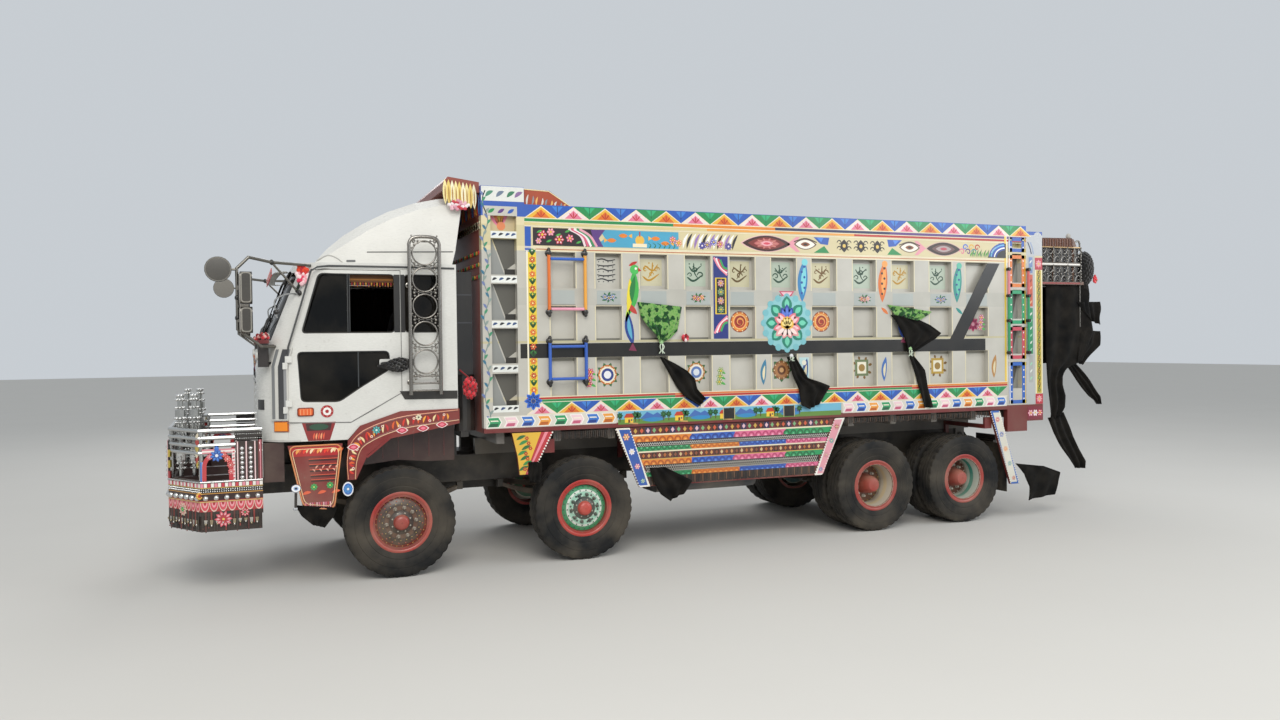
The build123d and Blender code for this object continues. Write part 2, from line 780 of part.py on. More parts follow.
# Roof fairing: a domed wedge on the roof, rising to the bed's height
fairing_half = 1130.0
fairing_shoulder = 170.0
fairing_line = (  # behind axle 1, height
    (-760.0, cab_roof_top), (-640.0, 3190.0), (-480.0, 3330.0), (-300.0, 3448.0), (-60.0, 3575.0),
    (200.0, 3672.0), (430.0, 3724.0), (659.0, 3750.0), (575.0, 3188.0), (540.0, cab_roof_top),
)
with BuildPart() as roof_fairing:
    with BuildSketch(Plane.XZ.offset(fairing_half)) as outline:
        with BuildLine():
            Polyline(*[(at_x(x), z) for x, z in fairing_line], close=True)
        make_face()
    extrude(amount=-2 * fairing_half)
    shoulders = roof_fairing.edges().filter_by(Plane.XZ).filter_by(
        lambda e: e.center().Z > cab_roof_top + 60
    )
    slanted = shoulders.filter_by(lambda e: abs((e @ 1).X - (e @ 0).X) > fairing_shoulder)
    chamfer(slanted, fairing_shoulder, fairing_shoulder / 2)
save("roof_fairing", roof_fairing.part)

# Dashboard with steering wheel, and the seats
with BuildPart() as dashboard:
    side_plate(
        ((-1140, 1700), (-1140, 2230), (-1060, 2260), (-900, 2200), (-860, 1950), (-980, 1700)),
        (-1000, 1000),
    )
    bar_between((-900, 550, 2120), (-690, 550, 2260), 25)
    with BuildSketch(Plane(origin=(at_x(-690), 550, 2260), z_dir=(0.83, 0, 0.55))):
        RegularPolygon(240, shaft_flats)
        RegularPolygon(212, shaft_flats, mode=Mode.SUBTRACT)
        Rectangle(40, 440)
    extrude(amount=26)
save("dashboard", dashboard.part)

with BuildPart() as seats:
    for centre in (-560, 560):
        block((-430, 120), (centre - 260, centre + 260), (cab_floor_bottom + cab_floor_thickness, 2010))
        side_plate(((60, 2010), (180, 2010), (330, 2750), (230, 2750)), (centre - 260, centre + 260))
save("seats", seats.part)

# Arch bands over wheel 1, painted strips that carry on under the flare
band_inner = 1180.0
band_outer = 1240.0
arch_band = ((-505.0, 990.0),) + ((-494.0, 1364.0 - fit_gap),) + tuple(
    (x, z - fit_gap) for x, z in arch_edge[1:]
) + (
    (cab_rear + 10, 1631.0), (cab_rear + 10, 1506.0), (274.0, 1450.0), (-102.0, 1385.0),
    (-315.0, 1221.0), (-422.0, 990.0),
)
liner = (
    (-330.0, 1205.0), (-102.0, 1385.0), (274.0, 1450.0), (cab_rear + 10, 1506.0),
    (cab_rear + 10, 1486.0), (276.0, 1430.0), (-94.0, 1366.0), (-314.0, 1190.0),
)
with BuildPart() as arch_bands:
    for _, sign in sides:
        side_plate(arch_band, (sign * band_inner, sign * band_outer))
        side_plate(liner, (sign * 640, sign * band_outer))
save("arch_bands", arch_bands.part)

# Steps below the doors: a painted panel with two treads behind it
step_panel = ((-1032.0, 1338.0), (-544.0, 1340.0), (-624.0, 717.0), (-906.0, 756.0))
with BuildPart() as cab_steps:
    for _, sign in sides:
        side_plate(step_panel, (sign * 1200, sign * 1240))
        for z in (800, 1080):
            block((-880, -640), (sign * 1000, sign * 1200), (z, z + 30))
        block((-820, -740), (sign * rail_outer, sign * 1200), (1020, 1080))
        block((-820, -740), (sign * 1000, sign * 1060), (800, 1110))
save("cab_steps", cab_steps.part)

# Bumper: a channel below the cab front, with the headlamps in it
with BuildPart() as front_bumper:
    block((-1340, -1290), (-1140, 1140), (880, 1366))
    for _, sign in sides:
        block((-1340, -1060), (sign * 1100, sign * 1140), (1000, 1366))
        block((-1360, -1280), (sign * 640, sign * 960), (1040, 1220), mode=Mode.SUBTRACT)
save("front_bumper", front_bumper.part)

with BuildPart() as headlamps:
    for _, sign in sides:
        block((-1345, -1300), (sign * 640, sign * 960), (1040, 1220))
save("headlamps", headlamps.part)

# Front guard: a wrapped bumper box with a cage of round bars and turned posts above it
guard_half = 1200.0
guard_front_half = 750.0
guard_rear = -1251.0
guard_turn = -1780.0
guard_bottom = 734.0
guard_top = 1050.0
guard_wall = 55.0
scallop_bottom = 590.0
guard_bar_radius = 19.0
guard_bars = (1305.0, 1372.0, 1439.0, 1506.0)
guard_plan = (
    (guard_rear, -guard_half), (guard_turn, -guard_half), (nose_x, -guard_front_half),
    (nose_x, guard_front_half), (guard_turn, guard_half), (guard_rear, guard_half),
)


def guard_strip(thickness, inset, low, high):
    """A strip that follows the guard's plan, between two heights."""
    with BuildSketch(Plane.XY.offset(low)) as strip:
        with BuildLine():
            Polyline(*[(at_x(x), y) for x, y in guard_plan], close=True)
        make_face()
        if inset > 0:
            offset(amount=-inset, kind=Kind.INTERSECTION, mode=Mode.REPLACE)
        offset(amount=-thickness, kind=Kind.INTERSECTION, mode=Mode.SUBTRACT)
        with Locations((at_x(guard_rear), 0)):
            Rectangle(4 * (thickness + inset), 2 * (guard_half - thickness - inset), mode=Mode.SUBTRACT)
    extrude(strip.sketch, amount=high - low)


with BuildPart() as front_guard:
    guard_strip(guard_wall, 0, guard_bottom, guard_top)
    guard_strip(8, 10, scallop_bottom, guard_bottom)
    for z in guard_bars:
        route = [(x, y * (1 - guard_bar_radius / guard_half), z) for x, y in guard_plan]
        route = [(max(x, nose_x + guard_bar_radius), y, z) for x, y, z in route]
        bent_tube(route, guard_bar_radius)
    for x, y in ((guard_rear - 20, guard_half), (guard_turn, guard_half), (nose_x + 19, guard_front_half)):
        for _, sign in sides:
            inner = sign * (y - guard_bar_radius - 2)
            bar_between((x + 12, inner, guard_top), (x + 12, inner, guard_bars[-1]), guard_bar_radius)
    for y in (-450, -150, 150, 450):
        bar_between((nose_x + 20, y, guard_top), (nose_x + 20, y, guard_bars[-1]), guard_bar_radius)
    for _, sign in sides:
        block((nose_x + guard_wall, -1340), (sign * rail_inner, sign * rail_outer), (890, 1010))
    for _, sign in sides:
        for x in (-1956, -1837):
            for z, radius, height in (
                (guard_top, 24, 770), (1180, 50, 70), (1400, 40, 60), (1600, 46, 80), (1760, 34, 56),
            ):
                bar_between((x, sign * 700, z), (x, sign * 700, z + height), radius)
        block((nose_x + guard_wall, -1812), (sign * 675, sign * 725), (guard_top - 60, guard_top))
save("front_guard", front_guard.part)

# Mirrors: a bent loop ahead of each pillar with two flat heads and a round one
mirror_out = 1450.0
with BuildPart() as mirrors:
    for _, sign in sides:
        loop = [
            (-798, sign * 1151, 3021), (-1144, sign * 1330, 3030), (-1340, sign * mirror_out, 3062),
            (-1440, sign * mirror_out, 2960), (-1440, sign * mirror_out, 2420), (-1241, sign * 1300, 2262),
            (-1123.3, sign * 1122.5, 2262),
        ]
        bent_tube(loop, 14)
        bar_between((-1144, sign * 1330, 3030), (-898.8, sign * 1149.7, 2757), 11)
        for z0, z1 in ((2645, 2930), (2386, 2618)):
            with BuildSketch(Plane.YZ.offset(at_x(-1415))) as head:
                with Locations((sign * (mirror_out + 10), (z0 + z1) / 2)):
                    RectangleRounded(190, z1 - z0, 45)
            extrude(head.sketch, amount=95)
            block(
                (-1445, -1410), (sign * (mirror_out - 15), sign * (mirror_out + 15)),
                ((z0 + z1) / 2 - 20, (z0 + z1) / 2 + 20),
            )
        bar_between(
            (-1592, sign * (mirror_out - 15), 2950), (-1592, sign * (mirror_out + 25), 2950), 110,
            shaft_flats,
        )
        bar_between((-1500, sign * mirror_out, 2950), (-1432, sign * mirror_out, 2950), 10)
save("mirrors", mirrors.part)

# Ornamental ladders on the cab's rear corners
ladder_out = 1320.0
ladder_rails = (92.0, 378.0)
ladder_bottom = 1790.0
ladder_top = 3290.0
ladder_radius = 13.0
with BuildPart() as ladders:
    for _, sign in sides:
        y = sign * ladder_out
        bent_tube(
            [(ladder_rails[0], y, ladder_bottom), (ladder_rails[0], y, ladder_top),
             (ladder_rails[1], y, ladder_top), (ladder_rails[1], y, ladder_bottom)], ladder_radius,
        )
        for step in range(6):
            z = 1900 + 235 * step
            bar_between((ladder_rails[0], y, z), (ladder_rails[1], y, z), 9)
        for z in (1900, 2840):
            for x in ladder_rails:
                bar_between((x, y, z), (x, sign * cab_half, z), 10)
save("ladders", ladders.part)

# Air intake behind the cab: a canister on a bracket with a tall duct
with BuildPart() as air_intake:
    block((590, 745), (-1080, -860), (1960, 2989))
    bar_between((680, -960, 1390), (680, -960, 1965), 105, shaft_flats)
    block((620, 700), (-1050, -rail_inner), (1330, 1390))
    block((620, 700), (-rail_outer, -rail_inner), (rail_top, 1390))
save("air_intake", air_intake.part)

# Side skirts with the slanted arch arms
skirt_inner = 1200.0
skirt_outer = 1232.0
arm_outer = 1244.0
skirt_top = bed_bottom - 9.0
skirt_outline = ((2373.0, skirt_top), (5053.0, skirt_top), (4740.0, 717.0), (2479.0, 728.0))
arm_outlines = (
    ((1095.0, skirt_top), (1530.0, skirt_top), (1300.0, 935.0), (1170.0, 935.0), (1150.0, 1120.0)),
    ((2215.0, skirt_top), (2373.0, skirt_top), (2600.0, 724.0), (2479.0, 724.0)),
    ((4925.0, skirt_top), (5053.0, skirt_top), (4740.0, 717.0), (4640.0, 717.0)),
    ((7190.0, skirt_top), (7330.0, skirt_top), (7640.0, 430.0), (7510.0, 430.0)),
)
skirt_brackets = (1470.0, 2560.0, 4560.0, 7160.0)
with BuildPart() as side_skirts:
    for _, sign in sides:
        side_plate(skirt_outline, (sign * skirt_inner, sign * skirt_outer))
        for arm in arm_outlines:
            side_plate(arm, (sign * skirt_inner, sign * arm_outer))
        for station in skirt_brackets:
            block(
                (station - 25, station + 25), (sign * rail_outer, sign * skirt_inner),
                (rail_top + 60, rail_top + 110),
            )
            block(
                (station - 25, station + 25), (sign * rail_outer, sign * (rail_outer + 40)),
                (rail_top - 120, rail_top + 110),
            )
            block(
                (station - 25, station + 85), (sign * (skirt_inner - 30), sign * skirt_inner),
                (rail_top + 60, rail_top + 200),
            )
save("side_skirts", side_skirts.part)

# Mudflaps behind the bogie on a bar under the tail
flap_x = 7472.0
with BuildPart() as mudflaps:
    block((flap_x, flap_x + 28), (-1190, 1190), (890, 932))
    for _, sign in sides:
        block((flap_x + 8, flap_x + 20), (sign * 620, sign * 1190), (330, 890))
        block((rail_rear, flap_x), (sign * hinge_plate[0], sign * hinge_plate[1]), (870, 925))
save("mudflaps", mudflaps.part)

# Bed floor: a deck on cross bearers, on two runners with the hinge lugs and the hoist's clevis
deck_half = bed_half - bed_wall
deck_front = bed_front + headboard_thickness
bearer_stations = (
    1000.0, 1600.0, 2200.0, 2800.0, 3350.0, 4000.0, 4600.0, 5200.0, 5800.0, 6400.0, 7000.0, 7650.0,
)
bearer_width = 80.0
lug_radius = 70.0
lug_inner = 300.0
with BuildPart() as bed_floor:
    block(
        (deck_front, bed_rear - shut_gap), (-deck_half, deck_half),
        (bed_bottom, bed_bottom + bed_floor_thickness),
    )
    for station in bearer_stations:
        block(
            (station - bearer_width / 2, station + bearer_width / 2), (-deck_half, deck_half),
            (bed_bottom - 120, bed_bottom),
        )
    for _, sign in sides:
        block((900, 7540), (sign * rail_inner, sign * rail_outer), (rail_top + fit_gap, bed_bottom - 120))
        block(
            (hinge_x - lug_radius, hinge_x + lug_radius), (sign * lug_inner, sign * rail_outer),
            (hinge_z, rail_top + 60),
        )
        rod_between((hinge_x, sign * lug_inner, hinge_z), (hinge_x, sign * rail_outer, hinge_z), lug_radius)
        rod_between(
            (hinge_x, sign * lug_inner, hinge_z), (hinge_x, sign * rail_outer, hinge_z),
            hinge_pin_radius + pin_gap, mode=Mode.SUBTRACT,
        )
        block(
            (hoist_head_x - 50, hoist_head_x + 50), (sign * 56, sign * 80), (hoist_head_z - 50, bed_bottom),
        )
save("bed_floor", bed_floor.part)

# Bed sides: an inner sheet with a raised outer frame of ribs, rails and ladder-like end posts
band_top = 3195.0
stripe_top = 2289.0
stripe_bottom = 2112.0
low_top = 1721.0
rail_shelf = (2643.0, 2826.0)
bays = (  # front edge, rear edge
    (1518.0, 1789.0), (2009.0, 2297.0), (2506.0, 2823.0), (3034.0, 3340.0), (3572.0, 3884.0),
    (4095.0, 4416.0), (4621.0, 4950.0), (5178.0, 5496.0), (5721.0, 6038.0), (6269.0, 6597.0),
    (6810.0, 7150.0),
)
post_openings = (  # low, high
    (1630.0, 1964.0), (2064.0, 2418.0), (2503.0, 2866.0), (2956.0, 3319.0), (3394.0, 3640.0),
)
front_post = (bed_front, 1254.0)
front_post_window = (905.0, 1171.0)
rear_post = (7452.0, bed_rear)
rear_post_window = (7540.0, 7690.0)
rear_post_bottom = 1090.0
sheet_outer = deck_half + bed_sheet
post_gusset = ((1180.0, bed_top - 20), (1180.0, 3836.0), (1536.0, 3826.0), (1800.0, bed_top - 20))
with BuildPart() as bed_sides:
    for _, sign in sides:
        block((bed_front, bed_rear), (sign * deck_half, sign * sheet_outer), (bed_bottom, bed_top))
        with BuildSketch(Plane.XZ.offset(-sign * sheet_outer)) as frame:
            with Locations((at_x((bed_front + bed_rear) / 2), (bed_bottom + bed_top) / 2)):
                Rectangle(bed_rear - bed_front, bed_top - bed_bottom)
            for x0, x1 in bays:
                for z0, z1 in (
                    (low_top, stripe_bottom), (stripe_top, rail_shelf[0]), (rail_shelf[1], band_top),
                ):
                    with Locations((at_x((x0 + x1) / 2), (z0 + z1) / 2)):
                        Rectangle(x1 - x0, z1 - z0, mode=Mode.SUBTRACT)
            for x0, x1 in (front_post_window, rear_post_window):
                for z0, z1 in post_openings:
                    with Locations((at_x((x0 + x1) / 2), (z0 + z1) / 2)):
                        Rectangle(x1 - x0, z1 - z0, mode=Mode.SUBTRACT)
        extrude(frame.sketch, amount=-sign * (bed_half - sheet_outer))
        block((bed_front, front_post[1]), (sign * sheet_outer, sign * bed_half), (bed_top, 3840))
        side_plate(post_gusset, (sign * deck_half, sign * (sheet_outer + 20)))
        block(rear_post, (sign * sheet_outer, sign * bed_half), (rear_post_bottom, bed_bottom))
        block((bed_rear, fin_rear), (sign * fin_inner, sign * bed_half), (1214, 3603))
        rod_between(
            (tailgate_hinge_x, sign * fin_inner, tailgate_hinge_z),
            (tailgate_hinge_x, sign * (fin_inner - 60), tailgate_hinge_z), 14,
        )
save("bed_sides", bed_sides.part)

# Headboard with the crown that leans over the cab's roof
with BuildPart() as headboard:
    block((bed_front, deck_front), (-deck_half, deck_half), (bed_bottom, 3840))
    side_plate(
        ((bed_front, 3775), (bed_front, 3880), (500, 3920), (451, 3860), (470, 3800)),
        (-deck_half - 30, deck_half + 30),
    )
save("headboard", headboard.part)

# Tailgate, hung on pins between the fins, with the rack's arms
tailgate_front = tailgate_hinge_x - tailgate_thickness / 2
tailgate_back = tailgate_hinge_x + tailgate_thickness / 2
with BuildPart() as tailgate:
    block(
        (tailgate_front, tailgate_back), (-tailgate_half, tailgate_half),
        (tailgate_bottom, tailgate_hinge_z),
    )
    rod_between(
        (tailgate_hinge_x, -tailgate_half, tailgate_hinge_z),
        (tailgate_hinge_x, tailgate_half, tailgate_hinge_z), tailgate_thickness / 2,
    )
    rod_between(
        (tailgate_hinge_x, -tailgate_half, tailgate_hinge_z),
        (tailgate_hinge_x, tailgate_half, tailgate_hinge_z), 14 + pin_gap, mode=Mode.SUBTRACT,
    )
save("tailgate", tailgate.part)

# Rear rack: a roofed ornamental cage on the tailgate
rack_half = 1130.0
with BuildPart() as rear_rack:
    block((tailgate_back, tail_x), (-rack_half, rack_half), (2950, 2990))
    side_plate(
        ((tailgate_back, 3430), (tailgate_back, 3530), (tail_x - 170, 3545), (tail_x - 120, 3450)),
        (-rack_half, rack_half),
    )
    block((tailgate_back, tail_x - 60), (-rack_half, rack_half), (3200, 3230))
    for y in (-rack_half + 30, -rack_half / 2, 0, rack_half / 2, rack_half - 30):
        for x in (tailgate_back + 30, (tailgate_back + tail_x) / 2, tail_x - 160):
            bar_between((x, y, 2990), (x, y, 3440), 18)
save("rear_rack", rear_rack.part)

# Grab bars on the front bay of each bed side
with BuildPart() as grab_bars:
    for _, sign in sides:
        y = sign * (bed_half + 34)
        for z0, z1 in ((2552, 3213), (1838, 2318)):
            for x in (1496, 1884):
                bar_between((x, y, z0), (x, y, z1), 15)
                for z in (z0 + 30, z1 - 30):
                    bar_between((x, sign * bed_half, z), (x, y, z), 12)
            for z in (z0 + 60, z1 - 90):
                bar_between((1496, y, z), (1884, y, z), 14)
save("grab_bars", grab_bars.part)

# Hoist: a barrel hinged between the rails and the rod that lifts the bed
foot = Vector(at_x(hoist_foot_x), 0, hoist_foot_z)
head = Vector(at_x(hoist_head_x), 0, hoist_head_z)
reach = (head - foot).length
aim = (head - foot).normalized()
barrel_length = 1750.0
barrel_start = 110.0
rod_tail = 260.0
eye_radius = 45.0
with BuildPart() as hoist_barrel:
    with BuildSketch(Plane(origin=foot + aim * barrel_start, z_dir=aim)) as outer:
        Circle(barrel_radius)
    extrude(amount=barrel_length)
    with BuildSketch(Plane(origin=foot, z_dir=aim)):
        Circle(eye_radius - 8)
    extrude(amount=barrel_start + 20)
    with BuildSketch(Plane(origin=foot + aim * (rod_tail - 20), z_dir=aim)) as bore:
        Circle(rod_radius + pin_gap)
    extrude(amount=barrel_length, mode=Mode.SUBTRACT)
    rod_between((hoist_foot_x, -50, hoist_foot_z), (hoist_foot_x, 50, hoist_foot_z), eye_radius)
    rod_between(
        (hoist_foot_x, -80, hoist_foot_z), (hoist_foot_x, 80, hoist_foot_z), hoist_pin_radius + pin_gap,
        mode=Mode.SUBTRACT,
    )
save("hoist_barrel", hoist_barrel.part)
with BuildPart() as hoist_rod:
    with BuildSketch(Plane(origin=foot + aim * rod_tail, z_dir=aim)) as section:
        Circle(rod_radius)
    extrude(amount=reach - rod_tail - 20)
    rod_between((hoist_head_x, -44, hoist_head_z), (hoist_head_x, 44, hoist_head_z), eye_radius)
save("hoist_rod", hoist_rod.part)

# Cloths: knotted streamers on the bed's sides and black cloths below the rear rack
streamers = (
    ((2379, 2709), (3074, 2680), (2760, 2130), (3242, 1715), (3060, 1580), (2690, 2120)),
    ((4240, 2150), (4330, 2150), (4833, 1748), (4538, 1506)),
    ((5629, 2668), (6397, 2586), (6020, 2200), (6313, 1491), (6165, 1448), (5950, 2210)),
)
with BuildPart() as side_cloths:
    for _, sign in sides:
        for outline in streamers:
            side_plate(outline, (sign * (bed_half + fit_gap), sign * (bed_half + 45)))
save("side_cloths", side_cloths.part)

rear_cloth_strips = (  # middle Y, width, front, rear, low
    (-960.0, 300.0, 8080.0, 8560.0, 1500.0),
    (-520.0, 380.0, 8200.0, 8700.0, 1900.0),
    (0.0, 380.0, 8120.0, 8640.0, 1700.0),
    (520.0, 380.0, 8200.0, 8700.0, 1900.0),
    (960.0, 300.0, 8080.0, 8560.0, 1500.0),
)
with BuildPart() as rear_cloths:
    for middle, width, x0, x1, low in rear_cloth_strips:
        side_plate(
            (
                (x0, 2950 - fit_gap), (x1, 2950 - fit_gap), (x1 - 60, 2300), ((x0 + x1) / 2 + 60, low),
                ((x0 + x1) / 2 - 80, low),
            ),
            (middle - width / 2, middle + width / 2),
        )
save("rear_cloths", rear_cloths.part)
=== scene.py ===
# %% [markdown]
# # A decorated four-axle tipper truck
#
# The truck is a forward-control tipper whose owner had every surface painted, studded or hung with cloth. Its
# frame, axles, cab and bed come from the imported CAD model, which stays fixed. This lesson adds what a CAD
# model leaves out: paint, patterns, rubber tread, chrome studs, cloth and lamps. Every new piece is worked
# out with numpy as whole arrays, and every finish is a procedural material.

# %% Load the frame
import math
import bpy
import numpy as np
from mathutils import Matrix, Vector


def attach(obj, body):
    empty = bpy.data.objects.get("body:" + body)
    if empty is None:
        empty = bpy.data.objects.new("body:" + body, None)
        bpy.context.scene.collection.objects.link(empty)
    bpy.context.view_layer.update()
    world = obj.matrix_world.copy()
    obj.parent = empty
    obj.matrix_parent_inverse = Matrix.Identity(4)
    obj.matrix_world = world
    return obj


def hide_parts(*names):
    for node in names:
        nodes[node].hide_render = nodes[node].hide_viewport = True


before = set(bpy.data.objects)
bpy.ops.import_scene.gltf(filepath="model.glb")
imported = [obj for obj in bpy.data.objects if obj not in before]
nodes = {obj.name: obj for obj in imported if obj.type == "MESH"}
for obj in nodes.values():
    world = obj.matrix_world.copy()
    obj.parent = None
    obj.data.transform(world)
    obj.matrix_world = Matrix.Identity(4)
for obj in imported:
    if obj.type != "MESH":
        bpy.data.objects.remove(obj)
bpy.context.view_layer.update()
MM = 0.001
AXLE_1 = -3392.5  # model X of the first axle, in millimetres
WHEEL_AT = (0.0, 1880.0, 5510.0, 6815.0)  # each axle behind the first
TYRE_R = 537.5

# %% [markdown]
# ## Camera, light and floor
#
# The photograph was taken from the left front at eye height with a phone's wide lens. The camera's place, aim
# and focal length were solved from the wheels and the bed's straight edges, so the render lies over the
# photograph. A cloudy sky is soft from all sides, so a pale world does most of the work, and three large area
# lights add a gentle shape. A white wall or a sun lamp would also light the truck, but would give hard edges
# or hard shadows.

# %% Camera at the photograph's angle
scene = bpy.context.scene
EYE = np.array([-4.8002, -10.8543, 2.2464])
YAW, PITCH, ROLL = (math.radians(a) for a in (22.121, -0.945, -0.7006))
FOCAL_PIXELS = 978.56
IMAGE_WIDTH = 1280.0
SENSOR = 36.0


def unit(v):
    """The vector over its own length."""
    v = np.asarray(v, float)
    return v / np.linalg.norm(v, axis=-1, keepdims=True)


aim = np.array([math.sin(YAW) * math.cos(PITCH), math.cos(YAW) * math.cos(PITCH), math.sin(PITCH)])
level_right = unit(np.cross(aim, (0, 0, 1)))
level_up = np.cross(level_right, aim)
right = math.cos(ROLL) * level_right + math.sin(ROLL) * level_up
up = -math.sin(ROLL) * level_right + math.cos(ROLL) * level_up
lens = bpy.data.cameras.new("photo_camera")
lens.lens = FOCAL_PIXELS * SENSOR / IMAGE_WIDTH
lens.sensor_width = SENSOR
lens.clip_end = 500
camera = bpy.data.objects.new("photo_camera", lens)
scene.collection.objects.link(camera)
placed = np.eye(4)
placed[:3, 0], placed[:3, 1], placed[:3, 2], placed[:3, 3] = right, up, -aim, EYE
camera.matrix_world = Matrix(placed.tolist())
scene.camera = camera
scene.view_settings.view_transform = "Standard"
print("camera focal length", round(lens.lens, 2), "mm")

# %% Soft sky and area lights
SKY = (0.80, 0.85, 0.90, 1.0)
world = bpy.data.worlds.new("soft_sky")
world.use_nodes = True
world.node_tree.nodes["Background"].inputs["Color"].default_value = SKY
world.node_tree.nodes["Background"].inputs["Strength"].default_value = 0.72
scene.world = world


def area_light(name, place, target, size, watts, colour=(1, 1, 1)):
    """A square lamp of one size at a place, turned so that its -Z axis points to the target."""
    lamp = bpy.data.lights.new(name, "AREA")
    lamp.size, lamp.energy, lamp.color = size, watts, colour
    obj = bpy.data.objects.new(name, lamp)
    scene.collection.objects.link(obj)
    obj.location = place
    obj.rotation_mode = "QUATERNION"
    towards = Vector(target) - Vector(place)
    obj.rotation_quaternion = towards.to_track_quat("-Z", "Y")


area_light("key_light", (-5, -13, 11), (0, 0, 1.5), 9, 1500, (1.0, 0.98, 0.94))
area_light("fill_light", (10, -9, 7), (2, 0, 1.5), 8, 500, (0.94, 0.97, 1.0))
area_light("back_light", (2, 13, 11), (0, 0, 2), 9, 700)
print("lights", 3)

# %% [markdown]
# ## Shapes as arrays
#
# Each shape below is a formula on whole arrays: an outline pushed into a plate, a profile turned about an
# axis, or a section carried along a path. One `Shapes` object gathers hundreds of them, with a paint colour
# for every vertex, and turns them into one Blender mesh. Lengths go in as millimetres behind axle 1, sideways
# and up, as on a drawing.

# %% A gatherer of closed shapes
def rgb(code):
    """Linear red, green and blue of a six-digit colour code:
    each channel c becomes ((c + 0.055) / 1.055) ** 2.4."""
    c = np.array([int(code[i:i + 2], 16) / 255 for i in (0, 2, 4)])
    return np.where(c <= 0.04045, c / 12.92, ((c + 0.055) / 1.055) ** 2.4)


class Shapes:
    """Closed shapes that become one mesh: vertices, faces by corner count, and a colour for each vertex."""

    def __init__(self):
        self.places, self.faces, self.colours, self.count = [], [], [], 0

    def add(self, points, faces, colour="c8c8c8"):
        """Keeps an n by 3 array of points in millimetres and lists of faces that index it."""
        points = np.asarray(points, float).reshape(-1, 3)
        tint = rgb(colour) if isinstance(colour, str) else np.asarray(colour, float)
        self.places.append(points)
        self.colours.append(np.broadcast_to(tint, points.shape).copy())
        for face in faces:
            self.faces.append(np.asarray(face) + self.count)
        self.count += len(points)

    def mirrored(self):
        """A copy with Y turned round, and each face's corners reversed so that it still points out."""
        other = Shapes()
        other.places = [p * (1, -1, 1) for p in self.places]
        other.faces = [f[..., ::-1] for f in self.faces]
        other.colours, other.count = list(self.colours), self.count
        return other

    def join(self, other):
        """Takes in all of another's shapes."""
        self.places += other.places
        self.colours += other.colours
        self.faces += [f + self.count for f in other.faces]
        self.count += other.count
        return self

    def build(self, name, finish, body, slot=None, smooth=None):
        """Makes the object: x = (AXLE_1 + distance) * MM, rides it on its body and gives it its finish."""
        places = np.concatenate(self.places)
        places = (places + (AXLE_1, 0, 0)) * MM
        corners = [row for f in self.faces for row in (f.tolist() if f.ndim > 1 else [f.tolist()])]
        mesh = bpy.data.meshes.new(name)
        mesh.from_pydata(places.tolist(), [], corners)
        paint = mesh.attributes.new("paint", "FLOAT_COLOR", "POINT")
        colours = np.concatenate(self.colours)
        paint.data.foreach_set("color", np.c_[colours, np.ones(len(colours))].astype(np.float32).ravel())
        obj = bpy.data.objects.new(name, mesh)
        scene.collection.objects.link(obj)
        mesh.materials.append(finish)
        if smooth is not None:
            mesh.shade_smooth()
            mesh.set_sharp_from_angle(angle=math.radians(smooth))
        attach(obj, body)
        triangles = sum(len(c) - 2 for c in corners)
        print(name, len(places), "vertices", triangles, "triangles")
        return obj


# %% Plates, turned shapes and sections along a path
def both(shapes):
    """The left side's shapes together with their mirror image."""
    return Shapes().join(shapes).join(shapes.mirrored())


def ring_faces(rows, columns, wrap_rows=False):
    """Quads between neighbours of a rows by columns grid of points whose columns close on themselves."""
    i = np.arange(rows if wrap_rows else rows - 1)[:, None]
    j = np.arange(columns)[None, :]
    i2, j2 = (i + 1) % rows, (j + 1) % columns
    corners = (i * columns + j, i * columns + j2, i2 * columns + j2, i2 * columns + j)
    return np.stack(corners, -1).reshape(-1, 4)


SUNK = -0.5  # millimetres by which a plate reaches into what it lies on


class Flat:
    """A drawing surface: a point (u, v) at height h lies at origin + u * across + v * along + h * out."""

    def __init__(self, origin, across, along):
        self.origin, self.across, self.along = (np.asarray(a, float) for a in (origin, across, along))
        self.out = np.cross(self.across, self.along)

    def place(self, uv, height):
        uv = np.asarray(uv, float)
        return self.origin + uv[:, :1] * self.across + uv[:, 1:2] * self.along + height * self.out


def side_flat(y):
    """The left side's upright face at one sideways place, drawn from front to rear and upwards."""
    return Flat((0, y, 0), (1, 0, 0), (0, 0, 1))


def front_flat(u):
    """The upright face across the truck at one place, seen from the front."""
    return Flat((u, 0, 0), (0, -1, 0), (0, 0, 1))


def rear_flat(u):
    """The upright face across the truck at one place, seen from behind."""
    return Flat((u, 0, 0), (0, 1, 0), (0, 0, 1))


def signed_area(uv):
    """Half the sum of u1 * v2 - u2 * v1 round an outline: positive if it runs anticlockwise."""
    nxt = np.roll(uv, -1, 0)
    return 0.5 * np.sum(uv[:, 0] * nxt[:, 1] - nxt[:, 0] * uv[:, 1])


def plate(shapes, flat, uv, colour, low=SUNK, high=1.0, slope=0.0):
    """A closed plate: an outline at a low height and the same outline, drawn in by a slope, at a high one."""
    uv = np.asarray(uv, float)
    if signed_area(uv) < 0:
        uv = uv[::-1]
    middle = uv.mean(0)
    top = middle + (uv - middle) * (1 - slope)
    n = len(uv)
    points = np.r_[flat.place(uv, low), flat.place(top, high)]
    shapes.add(points, [ring_faces(2, n), np.arange(n)[::-1], n + np.arange(n)], colour)


